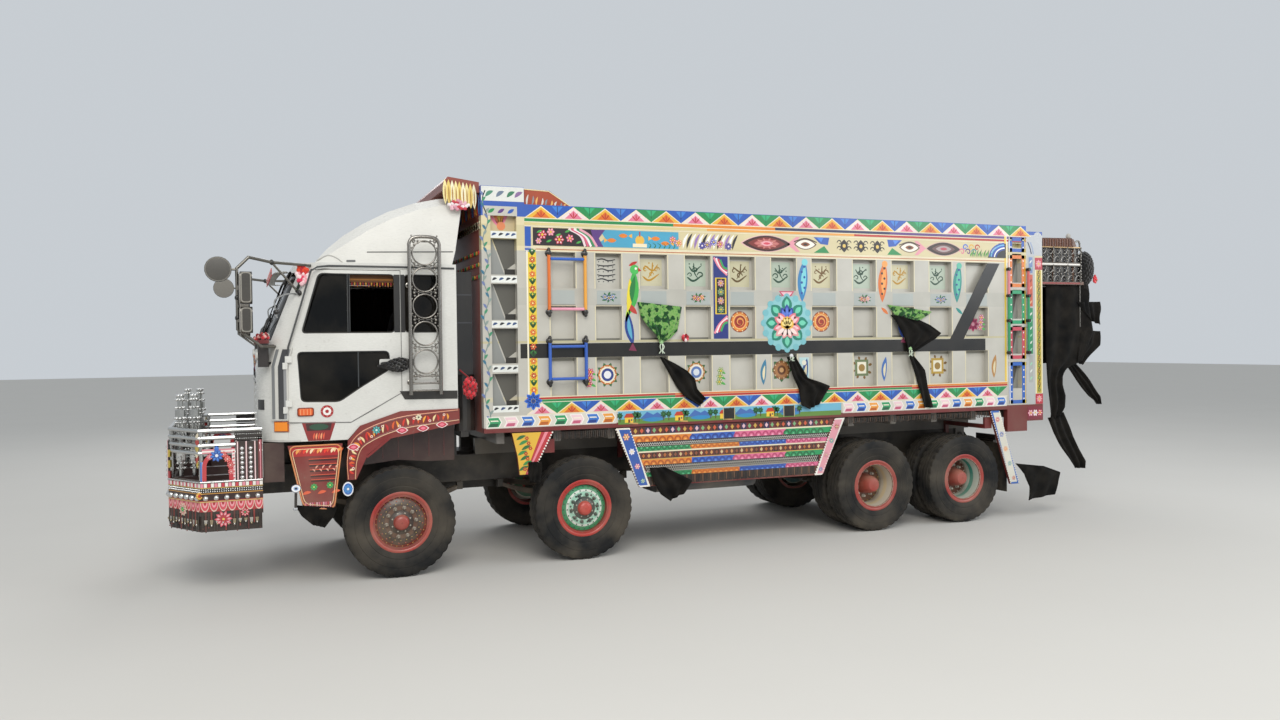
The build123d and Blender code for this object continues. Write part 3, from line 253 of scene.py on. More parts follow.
def turn(shapes, start, axis, profile, colour, steps=24, closed=False):
    """A profile of (distance along, radius) turned about an axis:
    p = start + axis * a + r * (cos t * e1 + sin t * e2)."""
    profile = np.asarray(profile, float)
    axis = unit(axis)
    e1 = unit(np.cross(axis, (0.31, 0.17, 0.93)))
    e2 = np.cross(axis, e1)
    t = np.arange(steps) * 2 * math.pi / steps
    spoke = np.cos(t)[:, None] * e1 + np.sin(t)[:, None] * e2
    points = np.asarray(start, float) + profile[:, None, :1] * axis + profile[:, None, 1:] * spoke[None]
    faces = [ring_faces(len(profile), steps, closed)]
    if not closed:
        last = (len(profile) - 1) * steps
        faces += [np.arange(steps)[::-1], last + np.arange(steps)]
    shapes.add(points.reshape(-1, 3), faces, colour)


def follow(shapes, path, section, colour, loop=False, roll=None):
    """A closed section carried along a path: each section lies square to the path,
    on two directions kept level."""
    path = np.asarray(path, float)
    section = np.asarray(section, float)
    ahead = np.roll(path, -1, 0) - np.roll(path, 1, 0) if loop else np.gradient(path, axis=0)
    ahead = unit(ahead)
    guide = np.array([0.0, 0.0, 1.0]) if roll is None else np.asarray(roll, float)
    if np.abs(ahead @ guide).max() > 0.98:
        guide = np.array([0.02, 1.0, 0.03])
    side = unit(np.cross(ahead, guide))
    rise = np.cross(side, ahead)
    points = path[:, None] + section[None, :, :1] * side[:, None] + section[None, :, 1:2] * rise[:, None]
    m, n = points.shape[:2]
    faces = [ring_faces(m, n, loop)]
    if not loop:
        faces += [np.arange(n)[::-1], (m - 1) * n + np.arange(n)]
    shapes.add(points.reshape(-1, 3), faces, colour)


def circle(radius, steps=12, x=0.0, y=0.0, squash=1.0):
    """Points (x + r * cos t, y + r * squash * sin t) at even steps of t."""
    t = np.arange(steps) * 2 * math.pi / steps
    return np.c_[x + radius * np.cos(t), y + radius * squash * np.sin(t)]


def rod(shapes, start, end, radius, colour="c8c8c8", steps=10):
    """A straight round bar between two points."""
    start, end = np.asarray(start, float), np.asarray(end, float)
    reach = np.linalg.norm(end - start)
    turn(shapes, start, end - start, [(0, radius), (reach, radius)], colour, steps)


def ball(shapes, middle, radii, colour, steps=12, rows=7):
    """A closed ball: point = middle + radii * (sin a * cos t, sin a * sin t, cos a), with small end caps."""
    a = np.linspace(math.pi - 0.12, 0.12, rows)[:, None]
    t = (np.arange(steps) * 2 * math.pi / steps)[None]
    r = np.broadcast_to(np.asarray(radii, float), (3,))
    way = np.stack([np.sin(a) * np.cos(t), np.sin(a) * np.sin(t), np.cos(a) + 0 * t], -1)
    grid = way * r + np.asarray(middle, float)
    last = (rows - 1) * steps
    shapes.add(grid.reshape(-1, 3), [ring_faces(rows, steps), np.arange(steps)[::-1],
        last + np.arange(steps)], colour)


def smooth_path(points, count=24):
    """A Catmull-Rom curve through points: each span blends its four nearest points with cubic weights."""
    p = np.asarray(points, float)
    p = np.r_[2 * p[:1] - p[1:2], p, 2 * p[-1:] - p[-2:-1]]
    spans = len(p) - 3
    s = np.linspace(0, spans, count)
    i = np.minimum(s.astype(int), spans - 1)
    f = (s - i)[:, None]
    a, b, c, d = p[i], p[i + 1], p[i + 2], p[i + 3]
    squared = (2 * a - 5 * b + 4 * c - d) * f ** 2
    cubed = (3 * b - a - 3 * c + d) * f ** 3
    return 0.5 * (2 * b + (c - a) * f + squared + cubed)


print("shape tools ready")

# %% [markdown]
# ## Finishes as expressions
#
# A real painted truck is never one flat colour: enamel goes chalky, dust gathers low down and on ledges, and
# chrome keeps small scratches. Each finish mixes such causes by noise on object coordinates, so no image is
# needed and neighbouring pieces match. The class below lets shader maths be written as Python, so `mask *
# dust` adds a Math node.

# %% Shader arithmetic
class Term:
    """A socket of a material; arithmetic on it adds Math nodes."""

    def __init__(self, finish, socket):
        self.finish, self.socket = finish, socket

    def maths(self, kind, other=0.0):
        return self.finish.node("ShaderNodeMath", {0: self, 1: other}, operation=kind)

    def __add__(self, other):
        return self.maths("ADD", other)

    def __sub__(self, other):
        return self.maths("SUBTRACT", other)

    def __mul__(self, other):
        return self.maths("MULTIPLY", other)

    def __truediv__(self, other):
        return self.maths("DIVIDE", other)

    def __gt__(self, other):
        return self.maths("GREATER_THAN", other)

    def limited(self):
        return self.finish.node("ShaderNodeClamp", {0: self})


class Finish:
    """A material with its Principled shader, and one method that adds any node."""

    def __init__(self, name, **constants):
        self.material = bpy.data.materials.new(name)
        self.material.use_nodes = True
        self.tree = self.material.node_tree
        self.shader = self.tree.nodes["Principled BSDF"]
        for key, value in constants.items():
            self.shader.inputs[key.replace("_", " ")].default_value = value

    def node(self, kind, inputs=None, output=0, **settings):
        """Adds a node: terms are linked to its inputs, plain values set on them."""
        made = self.tree.nodes.new(kind)
        for key, value in settings.items():
            setattr(made, key, value)
        for key, value in (inputs or {}).items():
            if isinstance(value, Term):
                self.tree.links.new(value.socket, made.inputs[key])
            else:
                made.inputs[key].default_value = value
        return Term(self, made.outputs[output])

    def where(self):
        """The object coordinates as a vector."""
        return self.node("ShaderNodeTexCoord", output=3)

    def axes(self):
        """Object x, y and z in metres."""
        split = self.node("ShaderNodeSeparateXYZ", {0: self.where()})
        outputs = split.socket.node.outputs
        return [Term(self, outputs[i]) for i in range(3)]

    def noise(self, scale, detail=3.0, stretch=None):
        """Fractal noise in 0 to 1, `scale` bumps a metre, stretched along chosen axes."""
        place = self.where()
        if stretch:
            place = self.node("ShaderNodeMapping", {0: place, 3: stretch})
        return self.node("ShaderNodeTexNoise", {"Vector": place, "Scale": scale, "Detail": detail})

    def mix(self, share, first, second):
        """First colour at share 0, second at share 1."""
        first, second = (c if isinstance(c, Term) else (*rgb(c), 1.0) for c in (first, second))
        inputs = {0: share, 6: first, 7: second}
        return self.node("ShaderNodeMix", inputs, output=2, data_type="RGBA")

    def step(self, value, low, high):
        """0 below low, 1 above high and a straight slope between."""
        return self.node("ShaderNodeMapRange", {0: value, 1: low, 2: high})

    def bands(self, share, stops):
        """Colours without blending: each holds from its place, in 0 to 1, up to the next one's."""
        made = self.node("ShaderNodeValToRGB", {0: share})
        ramp = made.socket.node.color_ramp
        ramp.interpolation = "CONSTANT"
        while len(ramp.elements) < len(stops):
            ramp.elements.new(1.0)
        for element, (place, colour) in zip(ramp.elements, stops):
            element.position, element.color = place, (*rgb(colour), 1.0)
        return made

    def paint(self):
        """The colour that a piece's vertices carry."""
        return self.node("ShaderNodeAttribute", attribute_name="paint")

    def set(self, **links):
        """Links values to the shader's own sockets."""
        for key, value in links.items():
            self.tree.links.new(value.socket, self.shader.inputs[key.replace("_", " ")])
        return self

    def bump(self, height, depth, strength=0.5):
        """Feeds Normal from a height in 0 to 1, `depth` metres deep."""
        return self.set(Normal=self.node("ShaderNodeBump",
            {"Height": height, "Distance": depth, "Strength": strength}))


DUST = "a89a84"


def dusty(finish, colour, dust=0.25):
    """Colour under road dust: more low down, on faces that look up, and in patches of noise."""
    z = finish.axes()[2]
    up = finish.node("ShaderNodeSeparateXYZ", {0: finish.node("ShaderNodeNewGeometry", output=1)}, output=2)
    patch = finish.step(finish.noise(3.0, 6.0), 0.35, 0.75)
    low = finish.step(z, 1.9, 0.2)
    share = (patch * (low * 0.75 + 0.25) + finish.step(up, 0.4, 1.0) * 0.5) * dust
    return finish.mix(share.limited(), colour, DUST)


def enamel(name, colour, rough=0.32, dust=0.25, wear=0.0, metal=0.0, bare="6b6259"):
    """Hand-brushed gloss paint: tint varies softly, brush streaks show in the gloss,
    and chips show along noise ridges."""
    f = Finish(name, Metallic=metal, Coat_Weight=0.25, Coat_Roughness=0.15)
    base = f.paint() if colour is None else colour
    tone = f.noise(2.2, 5.0)
    lively = f.mix(f.step(tone, 0.25, 0.8) * 0.16, base, "3a3834")
    if wear:
        chips = f.step(f.noise(34.0, 8.0) * 0.6 + f.noise(6.0, 3.0) * 0.4, 0.62, 0.66)
        lively = f.mix(chips * wear, lively, bare)
    streaks = f.noise(26.0, 4.0, (1.0, 1.0, 9.0))
    f.set(Base_Color=dusty(f, lively, dust), Roughness=streaks * 0.22 + (rough - 0.08))
    f.bump(streaks, 0.0006, 0.35)
    return f.material


def chrome(name, colour=None, rough=0.12, dust=0.12):
    """Plated steel: mirror-like, with fine wiping marks and a little dust."""
    f = Finish(name, Metallic=1.0)
    base = f.paint() if colour is None else colour
    marks = f.noise(60.0, 5.0, (1.0, 1.0, 4.0))
    f.set(Base_Color=dusty(f, base, dust), Roughness=marks * 0.18 + rough)
    f.bump(marks, 0.0003, 0.25)
    return f.material


def rubber(name, colour="161617", rough=0.72, dust=0.45, grain=90.0):
    """Dull rubber with fine grain and dust in its low places."""
    f = Finish(name, Specular_IOR_Level=0.35)
    fine = f.noise(grain, 6.0)
    tint = f.mix(f.step(f.noise(5.0, 4.0), 0.3, 0.8) * 0.5, f.paint() if colour is None else colour, "191919")
    f.set(Base_Color=dusty(f, tint, dust), Roughness=fine * 0.2 + (rough - 0.1))
    f.bump(fine, 0.0008, 0.5)
    return f.material


def cloth(name, colour=None, weave=900.0, sheen=0.3, rough=0.85):
    """Woven cloth: two crossed fine waves make the threads, and slow noise the fading."""
    f = Finish(name, Sheen_Weight=sheen, Sheen_Roughness=0.5, Specular_IOR_Level=0.2)
    x, y, z = f.axes()
    across = f.node("ShaderNodeMath", {0: (x + y) * weave}, operation="SINE")
    threads = across * f.node("ShaderNodeMath", {0: z * weave}, operation="SINE")
    fade = f.step(f.noise(7.0, 4.0), 0.3, 0.8)
    base = f.paint() if colour is None else colour
    f.set(Base_Color=f.mix(fade * 0.3, base, f.mix(0.35, base, "70675c")),
        Roughness=fade * 0.1 + (rough - 0.05))
    f.bump(threads * 0.5 + 0.5, 0.0006, 0.4)
    return f.material


def glass(name, colour, alpha, rough=0.05):
    """Tinted window film on glass: nearly black, glossy, with a thin veil of dust."""
    f = Finish(name, Specular_IOR_Level=0.25)
    veil = f.step(f.noise(2.0, 6.0), 0.4, 0.9)
    f.set(Base_Color=f.mix(veil * 0.10, colour, DUST), Roughness=veil * 0.12 + rough,
        Alpha=veil * 0.04 + alpha)
    return f.material


print("finish tools ready")

# %% [markdown]
# ## Floor and the finishes of the CAD pieces
#
# The floor is one pale plane. Every piece of the frame gets a finish that fits its job:
# brushed enamel on panels, dusty black on the running gear, plated steel on rails, film on the windows. The
# bed's sides carry their ground colours in bands, as a sign writer lays them before any ornament, so those
# colours are a ramp over height rather than separate pieces.

# %% Pale floor
floor_finish = Finish("studio_floor", Specular_IOR_Level=0.2)
floor_grain = floor_finish.noise(0.6, 3.0)
floor_finish.set(Base_Color=floor_finish.mix(floor_grain * 0.25, "cfccc6", "c2beb7"),
    Roughness=floor_grain * 0.1 + 0.8)
floor_mesh = bpy.data.meshes.new("studio_floor")
floor_mesh.from_pydata([(-70, -60, 0), (70, -60, 0), (70, 80, 0), (-70, 80, 0)], [], [(0, 1, 2, 3)])
floor_mesh.materials.append(floor_finish.material)
floor = bpy.data.objects.new("studio_floor", floor_mesh)
scene.collection.objects.link(floor)
print("floor placed")


# %% Banded grounds of the bed's sides
def banded(name, stops, low, high, dust=0.2, rough=0.34):
    """Gloss paint whose ground colour depends on height: a constant ramp over z from low to high,
    in metres."""
    f = Finish(name, Coat_Weight=0.3, Coat_Roughness=0.15)
    z = f.axes()[2]
    share = f.node("ShaderNodeMapRange", {0: z, 1: low, 2: high})
    coat = f.bands(share, [((height - low) / (high - low), colour) for height, colour in stops])
    ground = f.mix(f.step(f.noise(3.0, 5.0), 0.3, 0.8) * 0.18, coat, "4a4038")
    brush = f.noise(22.0, 4.0, (5.0, 1.0, 1.0))
    f.set(Base_Color=dusty(f, ground, dust), Roughness=brush * 0.2 + (rough - 0.08))
    f.bump(brush, 0.0008, 0.35)
    return f.material


CREAM = "bfbcb2"
side_bands = (
    (1.000, "6e2424"), (1.412, CREAM), (1.546, CREAM), (1.674, "c8c0a6"), (1.721, CREAM), (2.112, CREAM),
    (2.262, "bfb794"), (2.289, CREAM), (2.643, "b8b6ac"), (2.826, CREAM), (3.195, "ddd0a8"),
    (3.247, "cfc49a"), (3.452, "ddd0a8"), (3.537, "2456b0"),
)
bed_paint = banded("bed_ground_bands", side_bands, 1.0, 4.0)
print("bands", len(side_bands))


# %% Ringed wheels
HUB_HEIGHT = 0.5375  # metres
RING_REACH = 0.4  # radius in metres where the ramp ends


def ringed(name, axle, rings, metal=0.0, rough=0.35, dust=0.3):
    """Wheel paint in rings: colour by r = sqrt((x - axle) ** 2 + (z - hub height) ** 2),
    from the hub outwards."""
    f = Finish(name, Metallic=metal, Coat_Weight=0.2)
    x, y, z = f.axes()
    across, tall = x - axle, z - HUB_HEIGHT
    r = f.node("ShaderNodeMath", {0: across * across + tall * tall}, operation="SQRT")
    coat = f.bands(r / RING_REACH, [(radius / RING_REACH, colour) for radius, colour in rings])
    grime = f.step(f.noise(14.0, 6.0), 0.35, 0.75)
    f.set(Base_Color=dusty(f, f.mix(grime * 0.45, coat, "3b2f28"), dust), Roughness=grime * 0.3 + rough)
    f.bump(f.noise(60.0, 4.0), 0.0008, 0.4)
    return f.material


AXLES = tuple((AXLE_1 + d) * MM for d in WHEEL_AT)
wheel_1_paint = ringed("wheel_1_paint", AXLES[0],
    ((0, "8d1f1b"), (0.085, "4b2a1c"), (0.180, "5d3a26"), (0.235, "8c2019")))
wheel_2_paint = ringed("wheel_2_paint", AXLES[1],
    ((0, "a3241c"), (0.085, "23704a"), (0.180, "cfc9b6"), (0.235, "a2251d")))
rear_paints = [
    ringed(f"rear_wheel_paint_{i}", AXLES[i],
    ((0, "8f221c"), (0.09, "c6c0ae"), (0.14, "2a6a6c"), (0.2, "b9b4a4"), (0.25, "9a2a24")))
    for i in (2, 3)
]
print("ringed paints", 4)

# %% A finish for every CAD node
gear_black = enamel("chassis_black", "161311", 0.6, 0.35, 0.1)
spring_steel = enamel("spring_rust", "3a2d25", 0.6, 0.6, 0.3)
cab_white = enamel("cab_white", "d9d8d2", 0.24, 0.16, 0.12)
fairing_white = enamel("fairing_white", "e4e2db", 0.26, 0.12, 0.08)
bumper_red = enamel("bumper_red", "7c1c1c", 0.35, 0.35, 0.25)
bumper_dark = enamel("bumper_dark", "340c10", 0.35, 0.35, 0.2)
mirror_steel = chrome("mirror_steel", "77746e", 0.28, 0.2)
guard_steel = chrome("guard_steel", "b9bab8", 0.16, 0.16)
ladder_chrome = chrome("ladder_chrome", "c9cac8", 0.12, 0.1)
window_film = glass("window_film", "050607", 0.93)
deck_steel = enamel("deck_steel", "6b6762", 0.6, 0.5, 0.5)
skirt_paint = enamel("skirt_paint", "6d2220", 0.38, 0.3, 0.1)
flap_rubber = rubber("flap_rubber")
rack_paint = enamel("rack_brown", "6a4a3a", 0.35, 0.2, 0.1)
headboard_paint = enamel("headboard_red", "8a3b2c", 0.38, 0.2, 0.1)
plastic_dark = rubber("dash_plastic", "202022", 0.5, 0.2, 200.0)
mirror_black = enamel("mirror_black", "1b1b1d", 0.3, 0.15)
lamp_lens = glass("lamp_lens", "c8ccd0", 0.9, 0.08)
tank_paint = enamel("tank_paint", "3a3c40", 0.35, 0.5, 0.15)
hoist_steel = chrome("hoist_steel", "a8a8a6", 0.2, 0.3)
finishes = {
    "chassis_frame": gear_black, "front_axles": gear_black, "rear_axles": gear_black,
    "springs": spring_steel, "engine": gear_black, "propshafts": gear_black, "side_tanks": tank_paint,
    "cab_front": cab_white, "cab_sides": cab_white, "cab_back": cab_white, "cab_roof": cab_white,
    "cab_floor": plastic_dark, "cab_glass": window_film, "door_left": cab_white, "door_right": cab_white,
    "door_glass_left": window_film, "door_glass_right": window_film, "roof_fairing": fairing_white,
    "dashboard": plastic_dark, "arch_bands": bumper_red, "cab_steps": bumper_red,
    "front_bumper": bumper_dark, "headlamps": lamp_lens, "front_guard": guard_steel,
    "mirrors": mirror_steel, "ladders": ladder_chrome, "air_intake": mirror_black,
    "side_skirts": skirt_paint, "mudflaps": flap_rubber, "bed_floor": deck_steel, "bed_sides": bed_paint,
    "headboard": headboard_paint, "tailgate": headboard_paint, "rear_rack": rack_paint,
    "grab_bars": mirror_black, "hoist_barrel": tank_paint, "hoist_rod": hoist_steel,
}
for side in ("left", "right"):
    for i in (1, 2):
        finishes[f"knuckle_{i}_{side}"] = gear_black
    for i, paint in enumerate((wheel_1_paint, wheel_2_paint, *rear_paints), 1):
        finishes[f"rim_{i}_{side}"] = paint
for name, finish in finishes.items():
    for place in nodes[name].material_slots:
        place.material = finish
print("nodes dressed", len(finishes), "left", sorted(set(nodes) - set(finishes)))

# %% [markdown]
# ## Tyres
#
# A lorry tyre is a bulged ring whose tread is cut into ribs and lugs, and whose sidewall carries fine rings.
# The CAD tyre is a plain ring of flats, so each is replaced by a profile turned about the axle: the profile
# is a list of (sideways, radius) pairs, and the shoulder radius is lowered between lugs by a wave of the
# angle. Modelling every block separately would cost a hundred times the faces for the same outline.

# %% Tyre surface
TYRE_PROFILE = np.array([  # sideways from the tyre's middle, radius, share of the lug depth
    (-118, 300, 0), (-126, 312, 0), (-134, 340, 0), (-136, 352, 0), (-133, 356, 0), (-139, 372, 0),
    (-141.5, 410, 0), (-141.5, 438, 0), (-138, 442, 0), (-139, 468, 0), (-136, 492, 0.4), (-132, 512, 1),
    (-122, 530, 1), (-104, 535, 1), (-84, 536.5, 1), (-80, 524, 0), (-72, 524, 0), (-68, 537, 0.5),
    (-36, 537.5, 0.5), (-32, 524, 0), (-24, 524, 0), (-20, 537.5, 0), (20, 537.5, 0), (24, 524, 0),
    (32, 524, 0), (36, 537.5, 0.5), (68, 537, 0.5), (72, 524, 0), (80, 524, 0), (84, 536.5, 1),
    (104, 535, 1), (122, 530, 1), (132, 512, 1), (136, 492, 0.4), (139, 468, 0), (138, 442, 0),
    (141.5, 438, 0), (141.5, 410, 0), (139, 372, 0), (133, 356, 0), (136, 352, 0), (134, 340, 0),
    (126, 312, 0), (118, 300, 0), (112, 268, 0), (-112, 268, 0),
])


def tyre(shapes, axle, middle_y, steps=108):
    """A ring: radius at angle t = profile radius - 11 mm * lug share wherever the wave
    of 36 lugs is in its gap."""
    t = np.arange(steps) * 2 * math.pi / steps
    gap = (np.arange(steps) % 3 == 0).astype(float)
    side, radius, lug = TYRE_PROFILE.T
    r = radius[:, None] - 11.0 * lug[:, None] * gap[None]
    squash = np.maximum(-np.sin(t), 0.0)[None] ** 24
    y = middle_y + side[:, None] * (1 + 0.015 * squash)
    grid = np.stack([axle + r * np.cos(t), y + 0 * r, TYRE_R + np.maximum(r * np.sin(t), -TYRE_R)], -1)
    faces = ring_faces(len(side), steps, True)
    shapes.add(grid.reshape(-1, 3), [faces], "0f1011")


tyre_rubber = rubber("tyre_rubber", None, 0.72, 0.2)
for i, axle in enumerate(WHEEL_AT, 1):
    for side, sign in (("left", -1), ("right", 1)):
        ring = Shapes()
        for middle_y in ((1060,) if i < 3 else (1082, 752)):
            tyre(ring, axle, sign * middle_y)
        obj = ring.build(f"tyre_tread_{i}_{side}", tyre_rubber, f"wheel_{i}_{side}", smooth=34)
        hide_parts(f"tyre_{i}_{side}")

# %% [markdown]
# ## Painted wheels
#
# The wheels are painted in rings with rows of dots, and have bolts, hub caps and lock rings. The rings of
# paint are already in the wheel's finish; the lock ring, bolts, dots and hub are turned or repeated pieces
# that sit on it.

# %% Hubs, bolts and painted dots
def around(count, radius, start=0.0):
    """Places on a circle: (cos, sin) times the radius at even angles."""
    a = start + np.arange(count) * 2 * math.pi / count
    return np.c_[radius * np.cos(a), radius * np.sin(a)]


def disc_face(radius):
    """How far the single rim's dished disc stands outwards at a radius,
    along straight lines between its turns."""
    return np.interp(radius, (62, 72, 108, 178, 252), (158, 118, 104, 100, 74))


def wheel_dress(number, axle):
    """The left wheel's extra pieces; y grows outwards from the tyre's middle plane."""
    s = Shapes()
    twin = number > 2
    hub = 1082.0 if twin else 1060.0

    def out(y):
        return -(hub + y)

    flange = 298.0
    tone = ("a3241c", "b0271e", "9c2a24", "a02a24")[number - 1]
    turn(s, (axle, out(100), TYRE_R), (0, -1, 0),
        [(4, flange + 4), (18, flange + 2), (22, flange - 10), (18, flange - 26), (8, flange - 34),
        (0, flange - 20)], tone, 48, True)
    turn(s, (axle, out(96), TYRE_R), (0, -1, 0),
        [(0, 262), (8, 260), (10, 250), (0, 246)], "7c1d18", 40, True)
    if twin:
        depth = -156.0
        turn(s, (axle, out(-110), TYRE_R), (0, -1, 0), [(0, 240), (206, 252), (206, 246), (2, 234)],
            ("cfc8b6", "c2d0c4")[number - 3], 40, True)
        turn(s, (axle, out(-60), TYRE_R), (0, -1, 0), [(0, 238.5), (70, 243), (70, 241), (0, 236.5)],
            ("d9c9a0", "2f9c8c")[number - 3], 40, True)
        turn(s, (axle, out(depth), TYRE_R), (0, -1, 0),
            [(0, 238), (10, 236), (16, 205), (30, 176), (34, 130), (30, 100), (0, 96)], "6b3a2c", 40, True)
        turn(s, (axle, out(depth + 30), TYRE_R), (0, -1, 0),
            [(0, 122), (40, 118), (120, 104), (158, 96), (182, 88), (206, 70), (212, 40), (212, 4), (0, 4)],
            "9e241e", 28)
        for ux, uz in around(10, 150, 0.2):
            turn(s, (axle + ux, out(depth + 28), TYRE_R + uz), (0, -1, 0),
                [(0, 20), (14, 20), (16, 15), (44, 14), (50, 8)], "c9c6bd", 6)
        for ux, uz in around(8, 66, 0.1):
            turn(s, (axle + ux, out(58), TYRE_R + uz), (0, -1, 0), [(0, 13), (10, 13), (16, 6)], "e9e6dd", 6)
        for ux, uz in around(24, 222):
            ball(s, (axle + ux, out(depth + 14), TYRE_R + uz), (7, 4, 7),
                ("d8c04a", "e8e4da")[number - 3], 6, 4)
    else:
        face = 100.0
        coats = {
            1: ((250, "7c1c18"), (226, "4a2a1e"), (196, "33201a"), (160, "5a3826"), (118, "2c1c18")),
            2: ((250, "8c1f1c"), (240, "1f8a58"), (196, "d8e0d4"), (172, "9fd0b8"), (120, "2b3a36")),
        }[number]
        for k, (radius, colour) in enumerate(coats):
            inner = coats[k + 1][0] if k + 1 < len(coats) else 74
            steps = np.linspace(radius, inner + 1, 4)
            lift = [(disc_face(r) + 2.5, r) for r in steps]
            turn(s, (axle, out(0), TYRE_R), (0, -1, 0),
                [(lift[0][0] - 6, radius), *lift, (lift[-1][0] - 6, inner + 1)], colour, 40, True)
        turn(s, (axle, out(face), TYRE_R), (0, -1, 0),
            [(0, 84), (12, 82), (20, 76), (50, 70), (62, 58), (68, 34), (69, 4), (0, 4)],
            ("9b221c", "c02a22")[number - 1], 28)
        for ux, uz in around(10, 142, 0.1):
            turn(s, (axle + ux, out(face), TYRE_R + uz), (0, -1, 0),
                [(0, 21), (12, 21), (15, 16), (34, 15), (44, 9)], ("8c8478", "3a4a46")[number - 1], 6)
        for ux, uz in around(8, 92, 0.4):
            turn(s, (axle + ux, out(face + 6), TYRE_R + uz), (0, -1, 0),
                [(0, 9), (8, 9), (12, 5)], "b8b2a4", 6)
        if number == 2:
            for count, radius, size, colour in ((24, 220, 8, "1a3a30"), (18, 184, 9, "1f5a48"),
                    (16, 150, 12, "22302e"), (18, 128, 7, "e8ece4")):
                for ux, uz in around(count, radius, 0.3 * radius):
                    ball(s, (axle + ux, out(disc_face(radius) + 3), TYRE_R + uz),
                        (size, 3.5, size), colour, 6, 4)
        else:
            for count, radius, size, colour in ((28, 238, 6, "c8963a"), (20, 208, 7, "a8452c"),
                    (20, 180, 5, "d8b460")):
                for ux, uz in around(count, radius, 0.3 * radius):
                    ball(s, (axle + ux, out(disc_face(radius) + 3), TYRE_R + uz),
                        (size, 3.5, size), colour, 6, 4)
    return s


wheel_gloss = enamel("wheel_ornament", None, 0.36, 0.4, 0.15)
for i, axle in enumerate(WHEEL_AT, 1):
    left_dress = wheel_dress(i, axle)
    left_dress.build(f"wheel_dress_{i}_left", wheel_gloss, f"wheel_{i}_left", smooth=38)
    left_dress.mirrored().build(f"wheel_dress_{i}_right", wheel_gloss, f"wheel_{i}_right", smooth=38)

# %% [markdown]
# ## Sign-writer's shapes
#
# The painter works with a small stock of strokes: triangles, lens-shaped leaves, petals round a centre,
# scrolls and ribbons. On the real truck each is a coat of enamel on the one below, so here each is a closed
# plate a millimetre thick, laid on the panel and on each other in half-millimetre steps. An image would be
# quicker, but would blur in close views; plates stay crisp and can be counted.

# %% Strokes of the brush
RED, ORANGE, YELLOW, GREEN, TEAL, BLUE = "b8281f", "e0852a", "e3c23c", "1f8a4c", "2a8f95", "2456b0"
NAVY, PINK, WHITE, BLACK, PURPLE, BROWN = "1c2550", "e07a96", "f1eee6", "141316", "5c3a80", "5a2c1c"
SKYBLUE, ROSE, LEAF = "6fb4cf", "c9476a", "4aa84a"


def lens_outline(start, end, width, steps=10, lean=0.0):
    """A leaf: half width = width * sin(pi t) ** 0.8 / 2 on each side of the line,
    bowed sideways by lean * sin(pi t)."""
    start, end = np.asarray(start, float), np.asarray(end, float)
    t = np.linspace(0, 1, steps)[:, None]
    ahead = unit(end - start)
    side = np.array([-ahead[1], ahead[0]])
    middle = start + (end - start) * t + side * lean * np.sin(math.pi * t)
    half = side * width / 2 * np.sin(math.pi * t) ** 0.8
    return np.r_[middle + half, (middle - half)[1:-1][::-1]]


def leaf(shapes, flat, start, end, width, colour, high, lean=0.0, steps=8):
    """One leaf or petal as a plate; a short one needs fewer points."""
    reach = math.hypot(end[0] - start[0], end[1] - start[1])
    plate(shapes, flat, lens_outline(start, end, width, min(steps, 3 + int(reach / 25)), lean),
        colour, SUNK, high)


def box_plate(shapes, flat, u0, u1, v0, v1, colour, high, low=SUNK):
    """A rectangle between two u and two v."""
    plate(shapes, flat, [(u0, v0), (u1, v0), (u1, v1), (u0, v1)], colour, low, high)


def disc(shapes, flat, u, v, radius, colour, high, steps=16, squash=1.0):
    """A round spot; a small one needs fewer points."""
    plate(shapes, flat, circle(radius, min(steps, 6 + int(radius / 5)), u, v, squash), colour, SUNK, high)


def rosette(shapes, flat, u, v, radius, colours, high, petals=8, start=0.0, inner=0.25):
    """Petals round a centre: leaf k runs from inner * r to r at the angle start + 2 pi k / petals."""
    for k in range(petals):
        a = start + 2 * math.pi * k / petals
        way = np.array([math.cos(a), math.sin(a)])
        wide = 2 * math.pi * radius / petals * 0.62
        leaf(shapes, flat, (u, v) + way * radius * inner * 0.4, (u, v) + way * radius, wide, colours[0], high)
        if len(colours) > 2:
            leaf(shapes, flat, (u, v) + way * radius * 0.35, (u, v) + way * radius * 0.82,
                wide * 0.45, colours[2], high + 0.5)
    disc(shapes, flat, u, v, radius * inner, colours[1], high + 1.0, 12)


def ribbon(shapes, flat, route, width, colour, high, count=20, taper=0.0, pinch=0.0):
    """A brush line along a smooth route: half width = w / 2 * (1 - taper * t),
    thinned at both ends by pinch."""
    path = smooth_path(route, count) if len(route) > 2 else np.asarray(route, float)
    ahead = unit(np.gradient(path, axis=0))
    side = np.c_[-ahead[:, 1], ahead[:, 0]]
    t = np.linspace(0, 1, len(path))[:, None]
    half = width / 2 * (1 - taper * t) * (1 - pinch * (1 - np.sin(math.pi * t) ** 0.5))
    plate(shapes, flat, np.r_[path + side * half, (path - side * half)[::-1]], colour, SUNK, high)


def scroll(shapes, flat, u, v, size, colour, high, flip=1, turns=1.2, width=0.16):
    """A curl: points u + flip * r cos a, v + r sin a with r shrinking from size to
    size / 4 over the turns."""
    a = np.linspace(0, 2 * math.pi * turns, 18)
    r = size * (1 - 0.78 * a / a[-1])
    ribbon(shapes, flat, np.c_[u + flip * r * np.cos(a), v + r * np.sin(a)],
        size * width * 2, colour, high, 26, 0.5, 0.6)


